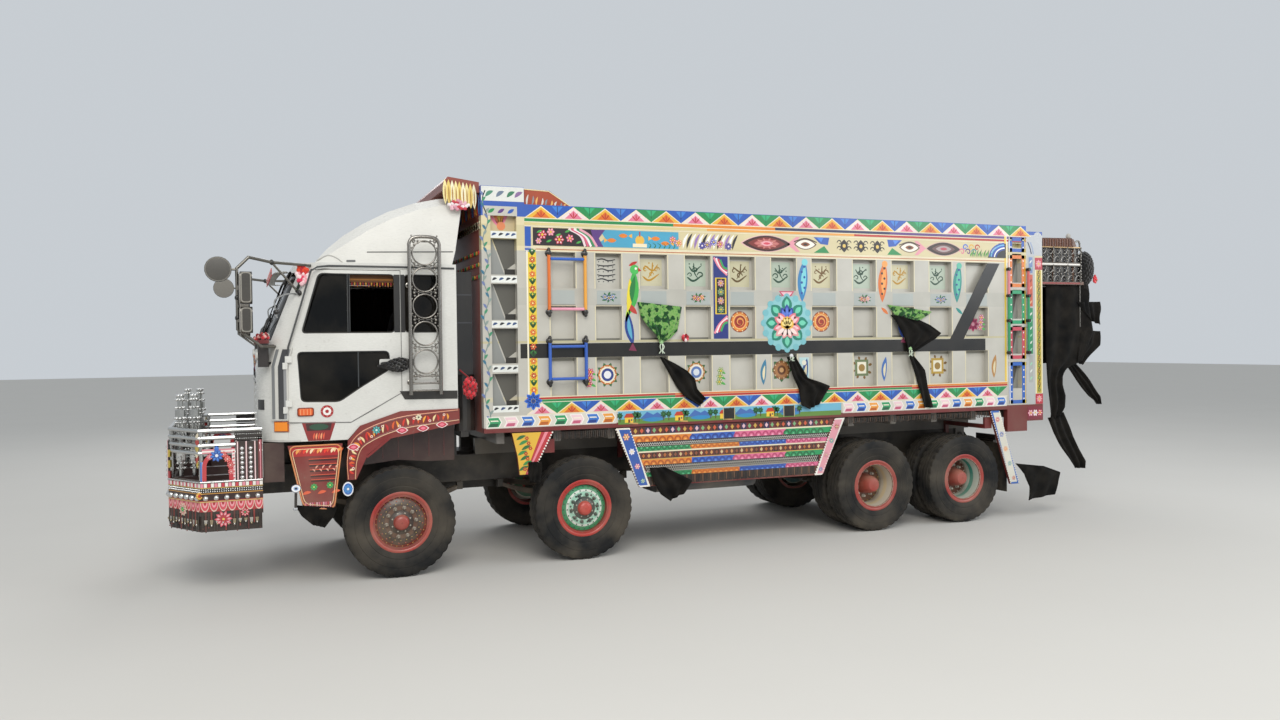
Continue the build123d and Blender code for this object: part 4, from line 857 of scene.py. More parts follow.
def triangle_row(shapes, flat, first, pitch, count, v0, v1, ups, marks, downs, high=1.0, edge=8.0, ends=None):
    """Upright triangles one pitch apart with inverted ones between,
    each in two coats with a mark in the middle."""
    tall = v1 - v0
    limits = ends or (first - pitch / 2, first + pitch * (count - 0.5))
    for k in range(count + 1):
        u = first + pitch * (k - 0.5)
        a, b = max(u - pitch / 2, limits[0]), min(u + pitch / 2, limits[1])
        if b - a < pitch * 0.6:
            continue
        plate(shapes, flat, [(a, v1), (u, v0), (b, v1)], downs[k % len(downs)][0], SUNK, high)
        plate(shapes, flat, [(u - pitch * 0.17, v1 - 6), (u, v0 + tall * 0.42), (u + pitch * 0.17, v1 - 6)],
            downs[k % len(downs)][1], SUNK, high + 0.5)
        ribbon(shapes, flat, [(u, v1 - 5), (u, v0 + tall * 0.3)], 7, downs[k % len(downs)][2], high + 1.0)
    for k in range(count):
        u = first + pitch * k
        outer, inner, mark = ups[k % len(ups)], marks[k % len(marks)][0], marks[k % len(marks)][1]
        plate(shapes, flat, [(u - pitch / 2, v0), (u + pitch / 2, v0), (u, v1 - 4)],
            "efe4c0", SUNK, high + 0.5)
        plate(shapes, flat, [(u - pitch / 2 + 2.2 * edge, v0 + 3), (u + pitch / 2 - 2.2 * edge, v0 + 3),
            (u, v1 - 4 - edge * 1.6)], outer, SUNK, high + 1.0)
        plate(shapes, flat, [(u - pitch * 0.27, v0 + 3), (u + pitch * 0.27, v0 + 3), (u, v0 + tall * 0.68)],
            inner, SUNK, high + 1.5)
        for lean in (-0.5, 0.0, 0.5):
            leaf(shapes, flat, (u, v0 + 6), (u + lean * pitch * 0.28,
                v0 + tall * (0.62 - 0.25 * abs(lean))), 12, mark, high + 2.0, steps=5)


print("strokes ready")

# %% [markdown]
# ## The bed's long bands
#
# Two rows of triangles, a painted frieze and a row of arrow-headed blocks run the length of the bed. Their
# pitches were measured on the photograph, so the count comes out the same. Each row is one loop over its
# repeats; the other side of the truck is the mirror image, which is how such beds are made.

# %% Rows along the side
outer = side_flat(-1250)
recess = side_flat(-1180)
rows = Shapes()
REAR, POST = 7766.0, 7452.0
up_coats = [("e8b23c", "d9701f", RED), ("ecd9d6", PINK, RED)]
triangle_row(
    rows, outer, 1430, 347, 19, 3537, 3666, [c[0] for c in up_coats], [(c[1], c[2]) for c in up_coats],
    [(GREEN, "2fae74", "0d5a38"), (BLUE, "3d7fd0", NAVY)], ends=(1254, 7766),
)
for (v0, v1), spans in (
    ((3500, 3530), ((1254, 2900, GREEN), (2900, 4150, ORANGE), (4150, 5700, NAVY), (5700, 7766, PURPLE))),
    ((3466, 3490), ((1254, 3300, "d9c98e"), (3300, 5200, "e6a04a"), (5200, 7766, RED))),
):
    for u0, u1, colour in spans:
        box_plate(rows, outer, u0, u1, v0, v1, colour, 1.0)
for v in (3452, 3494, 3533, 3245, 3232, 3205):
    box_plate(rows, outer, 1254, 7452 if v < 3300 else REAR, v - 3, v + 3, "f3ead0", 1.5)
box_plate(rows, outer, 1370, POST, 3218, 3226, "c06a4a", 1.2)
triangle_row(
    rows, outer, 1413, 318, 19, 1546, 1662, [c[0] for c in up_coats[::-1]],
    [(c[1], c[2]) for c in up_coats[::-1]], [(BLUE, "3d7fd0", NAVY), (GREEN, "2fae74", "0d5a38")],
    ends=(1254, 7452),
)
box_plate(rows, outer, 1254, 2900, 1668, 1690, GREEN, 1.0)
box_plate(rows, outer, 1254, 2900, 1694, 1712, RED, 1.0)
for u0, u1, first, second in ((2900, 4500, RED, "e07a40"), (4500, 6000, GREEN, RED),
        (6000, 7452, RED, ORANGE)):
    box_plate(rows, outer, u0, u1, 1668, 1690, first, 1.0)
    box_plate(rows, outer, u0, u1, 1694, 1712, second, 1.0)
for v in (1541, 1665, 1717):
    box_plate(rows, outer, 1254, POST, v - 3, v + 3, "f3ead0", 1.5)


def arrow_blocks(shapes, flat, start, end, width, v0, v1, colours):
    """Blocks of colour along a pale rounded rail, each between two white-edged arrow points."""
    middle, half = (v0 + v1) / 2, (v1 - v0) / 2
    box_plate(shapes, flat, start, end, v0 - 9, v1 + 9, "d9d4c8", 1.0)
    for k in range(int(round((end - start) / width))):
        u = start + width * k
        a, b = u + 6, u + width - 8
        body = colours[k % len(colours)]
        light = {"pink": "f0cfd4", "blue": "3c78cc", "orange": "eda042", "green": "2a9a62"}[body]
        # Each colour in painted shade, for the lower half of its block.
        dark = {"pink": "c25a78", "blue": "173a86", "orange": "b9601c", "green": "0f5a3c"}[body]
        plate(shapes, flat, [(a, v0), (b - 30, v0), (b, middle), (b - 30, v1), (a, v1), (a + 28, middle)],
            "f4f1e8", SUNK, 3.0)
        plate(shapes, flat, [(a + 12, v0 + 7), (b - 38, v0 + 7), (b - 12, middle), (b - 38, v1 - 7),
            (a + 12, v1 - 7), (a + 38, middle)], light, SUNK, 5.0)
        # Dark patch over the lower half: painted shade of the rounded rail.
        plate(shapes, flat, [(a + 22, v0 + 9), (b - 52, v0 + 9), (b - 36, middle - 12),
            (a + 42, middle - 12)], dark, SUNK, 5.5)
        # Pale strip just above the middle: painted highlight of the rounded rail.
        plate(shapes, flat, [(a + 45, middle + 8), (b - 34, middle + 8), (b - 46, middle + 20),
            (a + 38, middle + 20)], "f2ead6", SUNK, 5.5)


arrow_blocks(rows, outer, 830, 2222, 174, 1424, 1530, ("green", "pink", "blue", "orange"))
arrow_blocks(rows, outer, 5020, 7440, 173, 1424, 1530, ("pink", "blue", "orange", "green"))
print("bands", rows.count, "points")


# %% The village landscape between the arrow blocks
def landscape(shapes, flat, u0, u1, v0, v1):
    """Sky over green ground, with a lake, hills, trees and yellow houses,
    repeated with changes along the strip."""
    box_plate(shapes, flat, u0, u1, v0, v1, SKYBLUE, 1.0)
    box_plate(shapes, flat, u0, u1, v0, v0 + (v1 - v0) * 0.38, "5f8a3a", 1.5)
    tall = v1 - v0
    scene_width = 560.0
    for k in range(int((u1 - u0) / scene_width)):
        u = u0 + scene_width * k
        plate(shapes, flat, [(u + 250, v0 + tall * 0.38), (u + 330, v1 - 14), (u + 400, v0 + tall * 0.66),
            (u + 450, v1 - 24), (u + 545, v0 + tall * 0.38)], "3d6ab0", SUNK, 2.0)
        leaf(shapes, flat, (u + 270, v0 + tall * 0.28), (u + 540, v0 + tall * 0.3), 46, "2b87bd", 2.5)
        for du, size in ((20, 60), (195, 74), (235, 58), (520, 66)):
            ribbon(shapes, flat, [(u + du, v0 + 22), (u + du + 3, v0 + 80)], 8, BROWN, 3.0)
            rosette(shapes, flat, u + du, v0 + 92, size * 0.62, ("1f5a34", "2f7a3c"), 3.0, 7, k * 0.7)
        house = u + 75 + 20 * (k % 2)
        box_plate(shapes, flat, house, house + 95, v0 + 16, v0 + 74, "eec53c", 3.5)
        plate(shapes, flat, [(house - 12, v0 + 70), (house + 107, v0 + 70), (house + 78, v0 + 112),
            (house + 18, v0 + 112)], "bf3a24", SUNK, 4.0)
        box_plate(shapes, flat, house + 38, house + 58, v0 + 16, v0 + 50, "6a2c18", 4.0)
        box_plate(shapes, flat, house + 68, house + 84, v0 + 34, v0 + 52, "2c4a6a", 4.0)
        ribbon(shapes, flat, [(house + 48, v0 + 16), (house + 90, v0 + 8), (house + 150, v0 + 3)],
            14, "c79a5c", 3.0, 8)


landscape(rows, outer, 2240, 5000, 1400, 1538)
for u in (3480, 4240):
    box_plate(rows, outer, u, u + 130, 1412, 1528, "0e0d10", 5.0)
    for a, b in ((u - 8, u), (u + 130, u + 138)):
        box_plate(rows, outer, a, b, 1404, 1536, "c9b98a", 6.0)
print("landscape done", rows.count, "points")


# %% The frieze under the top rail
def eye_motif(shapes, flat, u, v, wide, tall, coats):
    """A lens within lenses, with a round centre: a traditional eye-shaped ornament."""
    for k, (share, colour) in enumerate(coats):
        leaf(shapes, flat, (u - wide / 2 * share, v), (u + wide / 2 * share, v), tall * share, colour,
            1.5 + 0.5 * k, steps=14)


def frieze(shapes, flat, v0, v1):
    """Motifs from front to rear: flowers, curved stripes, a lake, feathers, eyes, three dark ornaments,
    then grass and arcs."""
    middle, tall = (v0 + v1) / 2, v1 - v0
    box_plate(shapes, flat, 1325, 7445, v0, v1, "d8cba0", 1.0)
    box_plate(shapes, flat, 1340, 1980, v0 + 6, v1 - 6, "241c22", 1.3)
    for u, v, r, c in ((1440, 20, 52, "c8324a"), (1530, 50, 44, "e8889a"), (1620, -25, 56, "b82c3a"),
            (1735, -10, 46, "d95a74"), (1400, -45, 34, "e08aa0")):
        rosette(shapes, flat, u, middle + v, r, (c, YELLOW, "f3c6cf"), 2.0, 6, u)
    for u, v in ((1480, -55), (1680, 50), (1580, 10), (1800, -60), (1380, 40)):
        leaf(shapes, flat, (u, middle + v), (u + 60, middle + v + 24), 22, LEAF, 2.5)
    for k, colour in enumerate(("f0d9dc", "d95f7c", "f3ecec", "3a8a58", "e7a4b4")):
        ribbon(shapes, flat, [(1720 + 30 * k, v1 - 8), (1850 + 26 * k, middle + 20),
            (1900 + 32 * k, v0 + 8)], 24, colour, 2.0 + 0.2 * k, 14)
    plate(shapes, flat, [(1990, v0 + 6), (2960, v0 + 6), (2960, v1 - 6), (2060, v1 - 6), (2120, middle)],
        "4aa3c4", SUNK, 1.6)
    plate(shapes, flat, [(1960, v1 - 8), (2120, v1 - 8), (2050, middle), (2100, v0 + 8), (2010, v0 + 8),
        (1985, middle)], PURPLE, SUNK, 2.2)
    for u, v, s in ((2200, -18, 1), (2330, 34, -1), (2700, 14, 1), (2810, -34, -1)):
        leaf(shapes, flat, (u - 60, middle + v), (u + 44, middle + v), 46, "e5822e", 2.5, steps=9)
        plate(shapes, flat, [(u - s * 52, middle + v), (u - s * 92, middle + v + 24),
            (u - s * 92, middle + v - 24)], "f0b24a", SUNK, 3.0)
    disc(shapes, flat, 2510, middle - 10, 52, "e8b84a", 2.6, 18)
    box_plate(shapes, flat, 2430, 2590, v0 + 14, v0 + 52, "f1e3c0", 3.1)
    box_plate(shapes, flat, 2504, 2516, middle + 30, v1 - 14, RED, 3.1)
    for k in range(6):
        ribbon(shapes, flat, [(2620 + 56 * k, v0 + 10), (2635 + 56 * k, v0 + 40), (2600 + 56 * k, v0 + 66)],
            12, "2c6a3a", 2.8, 8, 0.7)
    for u, c in ((2890, "e05050"), (2960, "e88a3a"), (3300, PURPLE), (3380, "3a5ac0"), (3460, ROSE)):
        rosette(shapes, flat, u, v0 + 62 + (u % 50), 44, (c, YELLOW, "f6e2e2"), 3.0, 7, u)
    for k in range(14):
        u = 3010 + 46 * k
        colour = ("f4f4f0", "23222a", "f4f4f0", "9a7ab8")[k % 4]
        leaf(shapes, flat, (u, v0 + 12), (u + 70, v1 - 10), 30, colour, 2.4, 14, 8)
    for u in (3240, 3560):
        rosette(shapes, flat, u, v0 + 50, 46, (PURPLE, "e8e0f0", "4a78d0"), 3.4, 8, u)
    eye_motif(shapes, flat, 4040, middle, 660, tall * 0.98,
        ((1.0, "e6b8b8"), (0.93, "3a1816"), (0.72, "7a2a26"), (0.5, "b85a5a"),
        (0.3, "e8a8b0"), (0.14, "d8485c")))
    for k in range(10):
        a = 2 * math.pi * k / 10
        leaf(shapes, flat, (4040 + 60 * math.cos(a), middle + 26 * math.sin(a)),
            (4040 + 150 * math.cos(a), middle + 62 * math.sin(a)), 22, "c87a70", 4.6)
    for u, way in ((4540, 1), (5980, -1)):
        plate(shapes, flat, [(u - way * 240, middle), (u - way * 120, v1 - 12), (u - way * 70, v1 - 12),
            (u - way * 150, middle), (u - way * 70, v0 + 12), (u - way * 120, v0 + 12)], "e59aa8", SUNK, 2.0)
        eye_motif(shapes, flat, u, middle + 4, 300, tall * 0.62,
            ((1.0, "5a3a28"), (0.86, "f4efe2"), (0.42, "8a4a22"), (0.2, "16120f")))
        ribbon(shapes, flat, [(u - 150, middle + 30), (u, v1 - 26), (u + 150, middle + 30)],
            12, "3c2a1e", 3.2, 10)
        plate(shapes, flat, [(u + way * 110, v1 - 8), (u + way * 320, v1 - 8), (u + way * 300, middle + 4),
            (u + way * 200, middle + 14)], BLUE, SUNK, 2.4)
        plate(shapes, flat, [(u + way * 110, v0 + 8), (u + way * 320, v0 + 8), (u + way * 250, middle - 8)],
            GREEN, SUNK, 2.4)
        plate(shapes, flat, [(u + way * 150, v1 - 12), (u + way * 240, v1 - 12),
            (u + way * 210, middle + 34)], "4c86e0", SUNK, 2.9)
    for k, u in enumerate((5060, 5290, 5520)):
        dark = "1a1014"
        leaf(shapes, flat, (u, v0 + 22), (u, v1 - 22), 96, dark, 2.5, steps=12)
        for way in (-1, 1):
            scroll(shapes, flat, u + way * 62, middle + 34, 34, dark, 2.5, way, 0.9, 0.22)
            scroll(shapes, flat, u + way * 62, middle - 34, 34, dark, 2.5, way, 0.9, 0.22)
        disc(shapes, flat, u, middle, 22, "e3c060", 3.0, 12)
    eye_motif(shapes, flat, 6480, middle, 560, tall * 0.9,
        ((1.0, "d9b8a8"), (0.9, "2c1a18"), (0.62, "6a4a48"), (0.42, "b0a0a0"), (0.2, "c04a5a")))
    for k, colour in enumerate((PINK, "3a6ad0", PURPLE, "e0b040", TEAL, RED)):
        scroll(shapes, flat, 6760 + 46 * k, middle + (28 if k % 2 else -26), 40, colour, 2.6,
            1 if k % 2 else -1, 1.1, 0.24)
    for k in range(16):
        u = 6880 + 20 * k
        leaf(shapes, flat, (u, v0 + 8), (u + 34 - 5 * (k % 5), v0 + 70 + 18 * (k % 3)), 13,
            ("2c8a44", "76b84a", "1c5c34")[k % 3], 2.8, 6, 5)
    plate(shapes, flat, [(7150, v0 + 6), (7440, v0 + 6), (7440, v1 - 6), (7330, v1 - 6)], BLACK, SUNK, 2.0)
    for k, colour in enumerate((BLUE, "6ab0e0", "2a58c0", "f0f0f0", "1c3c90")):
        a = np.linspace(0.52 * math.pi, 0.98 * math.pi, 10)
        r = 250 - 26 * k
        ribbon(shapes, flat, np.c_[7430 + r * np.cos(a), v0 + 8 + 0.72 * r * np.sin(a)],
            17, colour, 3.0 + 0.2 * k, 12)


frieze(rows, outer, 3253, 3446)
print("frieze done", rows.count, "points")

# %% [markdown]
# ## Panels, ribs and their pictures
#
# The bays between the ribs are pressed in, edged with cream lines, and each holds a small picture:
# flourishes, birds, bunches of flowers, round medallions. They are ordinary folk motifs, so they are drawn
# here afresh from leaves, petals and scrolls. Where the truck carries words or letters, generic flourishes of
# the same size stand instead.

# %% Edged bays, their painted shade and the dark stripe
BAYS = (
    (1518, 1789), (2009, 2297), (2506, 2823), (3034, 3340), (3572, 3884), (4095, 4416), (4621, 4950),
    (5178, 5496), (5721, 6038), (6269, 6597), (6810, 7150),
)
ROWS = ((1721, 2112), (2289, 2643), (2826, 3195))
panels = Shapes()
for a, b in BAYS:
    for v0, v1 in ROWS:
        for u in (a - 7, b + 7):
            box_plate(panels, outer, u - 6, u + 6, v0, v1, "dcd3b4", 1.2)
        box_plate(panels, outer, a, b, v1 + 1, v1 + 9, "c9bfa2", 1.0)
        # A grey strip along the top of each pressed-in bay is painted shade under its upper lip.
        box_plate(panels, recess, a + 2, b - 2, v1 - 34, v1 - 2, "8f8c80", 0.6)
    box_plate(panels, outer, a + 12, b - 12, 2664, 2806, "aab0ac", 1.0)
    # The grey line just under the rail band is its painted shadow.
    box_plate(panels, outer, a + 4, b - 4, 2654, 2662, "8f8f86", 1.2)
box_plate(panels, outer, 1196, 7110, 2114, 2260, "060607", 1.4)
plate(panels, outer, [(6480, 2114), (6690, 2114), (7340, 3190), (7145, 3190)], "060607", SUNK, 1.8)
for u0, u1 in BAYS:
    box_plate(panels, recess, u0 + 1, u1 - 1, 2290, 2310, "77766f", 0.6)
print("bays", len(BAYS) * len(ROWS))


# %% Flourishes, bouquets and medallions
def flourish(shapes, flat, u, v, wide, colour, seed):
    """A generic brush flourish: two bowed strokes, three curls and a few dots, leaned by the seed."""
    lean = (-1) ** seed
    ribbon(shapes, flat, [(u - wide * 0.42, v - 48), (u - 20, v - 88), (u + wide * 0.4, v - 18)], 26,
        colour, 1.6, 16, 0.3, 0.8)
    ribbon(shapes, flat, [(u - wide * 0.32, v + 70), (u + lean * 20, v + 16), (u + wide * 0.34, v + 84)],
        20, colour, 1.6, 16, 0.2, 0.8)
    ribbon(shapes, flat, [(u + lean * 18, v + 104), (u + lean * 8, v), (u - lean * 34, v - 62)],
        18, colour, 2.0, 14, 0.4, 0.6)
    for k in range(3):
        scroll(shapes, flat, u + (k - 1) * wide * 0.27, v + 26 * (-1) ** (k + seed),
            30 + 5 * ((k + seed) % 3), colour, 2.2, lean, 0.9, 0.22)
    for k in range(4):
        disc(shapes, flat, u - wide * 0.3 + k * wide * 0.2, v + 96 - 30 * ((k + seed) % 3), 8, colour, 2.2, 8)


def bouquet(shapes, flat, u, v, size, petals, leaves, seed=0):
    """Three rosettes over crossed leaves."""
    for k in range(8):
        a = math.pi * (k + 0.5) / 4 + seed
        leaf(shapes, flat, (u, v), (u + size * 1.25 * math.cos(a), v + size * 0.75 * math.sin(a)),
            size * 0.32, leaves, 1.2, size * 0.1)
    for k, (du, dv) in enumerate(((-0.55, 0.02), (0.55, 0.05), (0.0, -0.12))):
        rosette(shapes, flat, u + du * size, v + dv * size, size * 0.42,
            (petals[k % len(petals)], YELLOW, WHITE), 2.0, 6, seed + k)


def medallion(shapes, flat, u, v, radius, rings, petals=0):
    """Round coats of paint, one on the other, with scalloped petals round the edge."""
    if petals:
        rosette(shapes, flat, u, v, radius * 1.28, ("3a6a3c", "c97a2c"), 0.9, petals)
    for k, (share, colour) in enumerate(rings):
        disc(shapes, flat, u, v, radius * share, colour, 1.4 + 0.5 * k, 22)
    for k in range(10):
        a = 2 * math.pi * k / 10
        disc(shapes, flat, u + radius * 0.88 * math.cos(a), v + radius * 0.88 * math.sin(a),
            radius * 0.07, "f0e0b0", 2.4, 6)


def middle_of(i):
    return (BAYS[i][0] + BAYS[i][1]) / 2


box_plate(panels, recess, 2035, 2270, 2880, 3160, "c2c0b6", 0.6)
for k in range(5):
    v = 3132 - 52 * k
    ribbon(panels, recess, [(2050, v), (2110, v + 10 * (-1) ** k), (2180, v - 8), (2255, v + 6)], 14,
        "2a2c30", 1.2, 14, 0, 0.4)
    for j in range(4):
        disc(panels, recess, 2070 + 52 * j, v - 20, 7, "3a3c40", 1.2, 6)
for i, (ink, glow) in enumerate(
    (("b98a18", "c9c3a4"), ("17442e", "b3c0ae"), ("5e4718", "cac4a2"), ("17442e", "b3c0ae"),
    ("6a4a14", "cbc4a0"), ("143c28", "b4c1b0"),
     ("b58818", "cac3a2"), ("17442e", "b3c0ae")), 2,
):
    box_plate(panels, recess, middle_of(i) - 124, middle_of(i) + 124, 2866, 3150, glow, 0.7)
    flourish(panels, recess, middle_of(i), 3014, 236, ink, i)
for i, petals in ((1, ("3a5a9a", "6a7ab0", "2c3c70")), (3, (RED, "d86a3a", "b83048")),
        (5, (PINK, "f0a0b4", ROSE)), (7, (RED, "e08a9a", "a03040")), (9, (BLUE, "4a4aa0", PURPLE))):
    bouquet(panels, outer, middle_of(i), 2738, 78, petals, ("4a6a4a", "2c6a3c")[i % 2], i)
for i in (4, 6):
    medallion(panels, recess, middle_of(i), 2478, 118,
        ((1.0, "8c3a24"), (0.9, "e58a3a"), (0.72, "f0b870"), (0.6, "b8402a"),
        (0.42, "e89a50"), (0.22, "a83222")))
    scroll(panels, recess, middle_of(i), 2478, 66, "8c2a1c", 4.5, 1, 1.4, 0.16)
medallion(panels, recess, middle_of(1), 1925, 104,
    ((1.0, "c9702a"), (0.84, "f0e6d0"), (0.66, "2b3f86"), (0.4, "e8e8ec")), 10)
medallion(panels, recess, middle_of(3), 1930, 104,
    ((1.0, "b8742c"), (0.82, "f3ead8"), (0.62, "5a7ab8"), (0.36, "dfe6f0")), 10)
medallion(panels, recess, middle_of(5), 1930, 108,
    ((1.0, "8a5a34"), (0.8, "b07a4c"), (0.5, "6b4028"), (0.26, "d8a870")), 8)
for i, coat in ((7, "6a7a54"), (9, "b8963a")):
    u = middle_of(i)
    box_plate(panels, recess, u - 92, u + 92, 1838, 2030, coat, 1.0)
    box_plate(panels, recess, u - 62, u + 62, 1866, 2002, "e8e2cc", 1.6)
    disc(panels, recess, u, 1934, 44, "9a7a3a", 2.2, 16)
    for k in range(8):
        a = math.pi * k / 4 + 0.3
        leaf(panels, recess, (u + 96 * math.cos(a), 1934 + 96 * math.sin(a)),
            (u + 150 * math.cos(a), 1934 + 142 * math.sin(a)), 34, "7a5a28", 1.4)
for u, v, coats in ((1930, 1900, ("c22c48", "f0c0c8")), (3440, 1880, ("7a9a4a", "e8e4c0")),
        (7040, 2460, ("b84a6a", "f0d0d8"))):
    for k in range(3):
        rosette(panels, outer, u + 10 * (k - 1), v + 60 * (k - 1), 44,
            (coats[0], YELLOW, coats[1]), 1.2, 6, k)
        leaf(panels, outer, (u, v + 60 * (k - 1)), (u + 70, v + 60 * (k - 1) - 34), 26, LEAF, 1.0)
rosette(panels, recess, 6980, 2440, 96, ("c44a78", "f0b0c0", "7a2a4a"), 1.4, 8)
print("pictures done", panels.count, "points")


# %% Lotus, bird, fish and the rib pictures
def lotus(shapes, flat, u, v, r):
    """Leaves in a ring, then three tiers of petals that open upwards from one point."""
    disc(shapes, flat, u, v, r, "8cc7cc", 1.0, 28)
    for k in range(16):
        a = 2 * math.pi * k / 16
        disc(shapes, flat, u + r * 0.97 * math.cos(a), v + r * 0.97 * math.sin(a),
            r * 0.13, "79bcc4", 1.4, 10)
    for k, (a, reach) in enumerate(((90, 1.0), (135, 0.92), (45, 0.92), (180, 0.9), (0, 0.9), (225, 0.88),
            (315, 0.88), (270, 0.95))):
        way = np.array([math.cos(math.radians(a)), math.sin(math.radians(a))])
        leaf(shapes, flat, (u, v) + way * r * 0.35, (u, v) + way * r * reach, r * 0.44, "15806a", 2.2)
        leaf(shapes, flat, (u, v) + way * r * 0.5, (u, v) + way * r * reach * 0.9, r * 0.2, "6fd0b0", 2.8)
    for tier, (colour, pale, lengths, low) in enumerate((
        ("2a3f9a", "5a7ad8", ((112, 0.62), (90, 0.7), (68, 0.62)), 0.0),
        ("e07a84", "f6c9cc", ((150, 0.62), (128, 0.6), (52, 0.6), (30, 0.62), (192, 0.6), (-12, 0.6)), -0.1),
        ("e8a0a0", "fbe3dc", ((218, 0.62), (-38, 0.62), (250, 0.5), (-70, 0.5)), -0.1),
        ("f0b848", "fbe08a", ((128, 0.4), (108, 0.46), (90, 0.48), (72, 0.46), (52, 0.4)), -0.22),
    )):
        for a, reach in lengths:
            way = np.array([math.cos(math.radians(a)), math.sin(math.radians(a))])
            base = np.array([u, v + low * r])
            leaf(shapes, flat, base, base + way * r * reach, r * 0.3, colour, 3.4 + tier * 0.9)
            leaf(shapes, flat, base + way * r * 0.12, base + way * r * reach * 0.86,
                r * 0.14, pale, 3.9 + tier * 0.9)


lotus(panels, side_flat(-1252), 4290, 2462, 305)
plate(panels, outer, [(4190, 2820), (4390, 2820), (4330, 2740), (4250, 2740)], "c8486a", SUNK, 2.0)
plate(panels, outer, [(4215, 2808), (4365, 2808), (4322, 2764), (4258, 2764)], "f0c4cc", SUNK, 2.5)


def parrot(shapes, flat, u, v):
    """A green and yellow bird on a rib: long leaves for body, wing and tail, and a round head."""
    leaf(shapes, flat, (u - 20, v - 330), (u + 40, v + 150), 120, "3fae4a", 1.4, -20)
    leaf(shapes, flat, (u - 40, v - 300), (u - 8, v + 60), 66, "e8d53a", 1.9, -14)
    leaf(shapes, flat, (u + 10, v - 200), (u + 50, v + 90), 60, "1f7a3a", 2.4, 12)
    leaf(shapes, flat, (u - 60, v - 410), (u - 6, v - 180), 40, "b8e04a", 1.4)
    disc(shapes, flat, u + 46, v + 150, 52, "49b856", 2.4, 14)
    disc(shapes, flat, u + 60, v + 162, 14, WHITE, 2.9, 10)
    plate(shapes, flat, [(u + 84, v + 176), (u + 124, v + 140), (u + 86, v + 128)], RED, SUNK, 2.9)
    leaf(shapes, flat, (u - 20, v + 190), (u + 80, v + 236), 34, RED, 2.0)


parrot(panels, outer, 2400, 2880)
for u, v, s in ((2380, 2420, 1), (5850, 2420, 0.8)):
    leaf(panels, outer, (u + 40 * s, v - 190 * s), (u - 20 * s, v + 170 * s), 96 * s, "1f3f8a", 1.4, 12)
    leaf(panels, outer, (u + 30 * s, v - 130 * s), (u - 10 * s, v + 110 * s), 44 * s, "5aa8c8", 1.9, 10)
    plate(panels, outer, [(u + 36 * s, v - 160 * s), (u + 80 * s, v - 250 * s), (u - 10 * s, v - 240 * s)],
        "7a2a4a", SUNK, 2.2)
leaf(panels, outer, (2350, 2680), (2470, 2560), 60, "c03a30", 1.8)

chain = side_flat(-1250)
box_plate(panels, chain, 3372, 3548, 2292, 3192, "20307a", 1.0)
box_plate(panels, chain, 3392, 3530, 2560, 2960, YELLOW, 1.4)
box_plate(panels, chain, 3410, 3512, 2570, 2950, "16241c", 1.9)
for k in range(4):
    rosette(panels, chain, 3461, 2612 + 96 * k, 44,
        (("2fa060", PINK)[k % 2], YELLOW, (PINK, "9ae0b0")[k % 2]), 2.4, 8, k)
for v0, way in ((2960, 1), (2570, -1)):
    for k, colour in enumerate(("e8889a", "f6dfe2", "c8405a", "38a05a")):
        ribbon(panels, chain, [(3380 + 26 * k, v0 + way * (220 - 8 * k)), (3440 + 18 * k, v0 + way * 120),
            (3540, v0 + way * (30 + 22 * k))], 24, colour, 1.8 + 0.3 * k, 14)
for u, coats in ((4515, ("2b7fb8", "7ad0d8", "1c4a9a")), (5608, ("d8702a", "f0a050", "1c1a1c")),
        (6700, ("1f8a84", "58b8a0", "28408a"))):
    leaf(panels, outer, (u - 24, 2700), (u + 14, 3180), 128, coats[0], 1.4, 10, 12)
    leaf(panels, outer, (u - 10, 2780), (u + 18, 3120), 66, coats[1], 1.9, 8)
    for k in range(6):
        disc(panels, outer, u - 26 + 34 * (k % 2), 2800 + 60 * k, 15, coats[2], 2.4, 8)
    disc(panels, outer, u + 14, 3150, 40, coats[1], 2.2, 12)
    leaf(panels, outer, (u - 40, 2640), (u + 60, 2560), 40, coats[0], 1.4)
for u, coat in ((3990, "3a7a9a"), (4530, "2c4a8a"), (5610, "3c6ab0"), (7250, "b8864a")):
    leaf(panels, outer, (u - 8, 1770), (u + 20, 2060), 74, coat, 1.4, 14, 9)
    leaf(panels, outer, (u - 4, 1820), (u + 12, 1990), 34, "e2d6b0", 1.9, 8)
box_plate(panels, outer, 4448, 4572, 1800, 2070, "b9d8d8", 1.0)
box_plate(panels, outer, 4474, 4546, 1830, 1950, "38708a", 1.6)
disc(panels, outer, 4510, 2010, 30, "e8e4d0", 1.6)
print("ribs done", panels.count, "points")

# %% The floral strip beside the front post
strip = side_flat(-1250)
box_plate(panels, strip, 1286, 1372, 1722, 3190, "e6c83a", 1.0)
box_plate(panels, strip, 1268, 1284, 1722, 3200, "f2ecd4", 2.0)
for k in range(10):
    v = 1790 + 147 * k
    rosette(panels, strip, 1330, v, 38, (("d8622a", RED)[k % 2], "f4e49a", "f0a04a"), 1.6, 6, k)
    for way in (-1, 1):
        leaf(panels, strip, (1330, v + 40), (1330 + way * 38, v + 104), 26, "1c4a22", 1.6, way * 6)
        leaf(panels, strip, (1330, v + 112), (1330 + way * 34, v + 74), 15, "2f7a34", 2.1)
box_plate(panels, strip, 1256, 1320, 3196, 3448, BLUE, 1.0)
rosette(panels, strip, 1322, 1680, 96, ("2a6ad0", "e0c040", "123a90"), 3.0, 8)
disc(panels, strip, 1322, 1680, 22, "183a80", 4.6, 12)
for u in (7430,):
    box_plate(panels, strip, u - 14, u + 14, 1722, 3530, "e9c64c", 1.6)
    box_plate(panels, strip, u + 14, u + 22, 1722, 3530, "f4efe0", 2.0)
print("strip done")

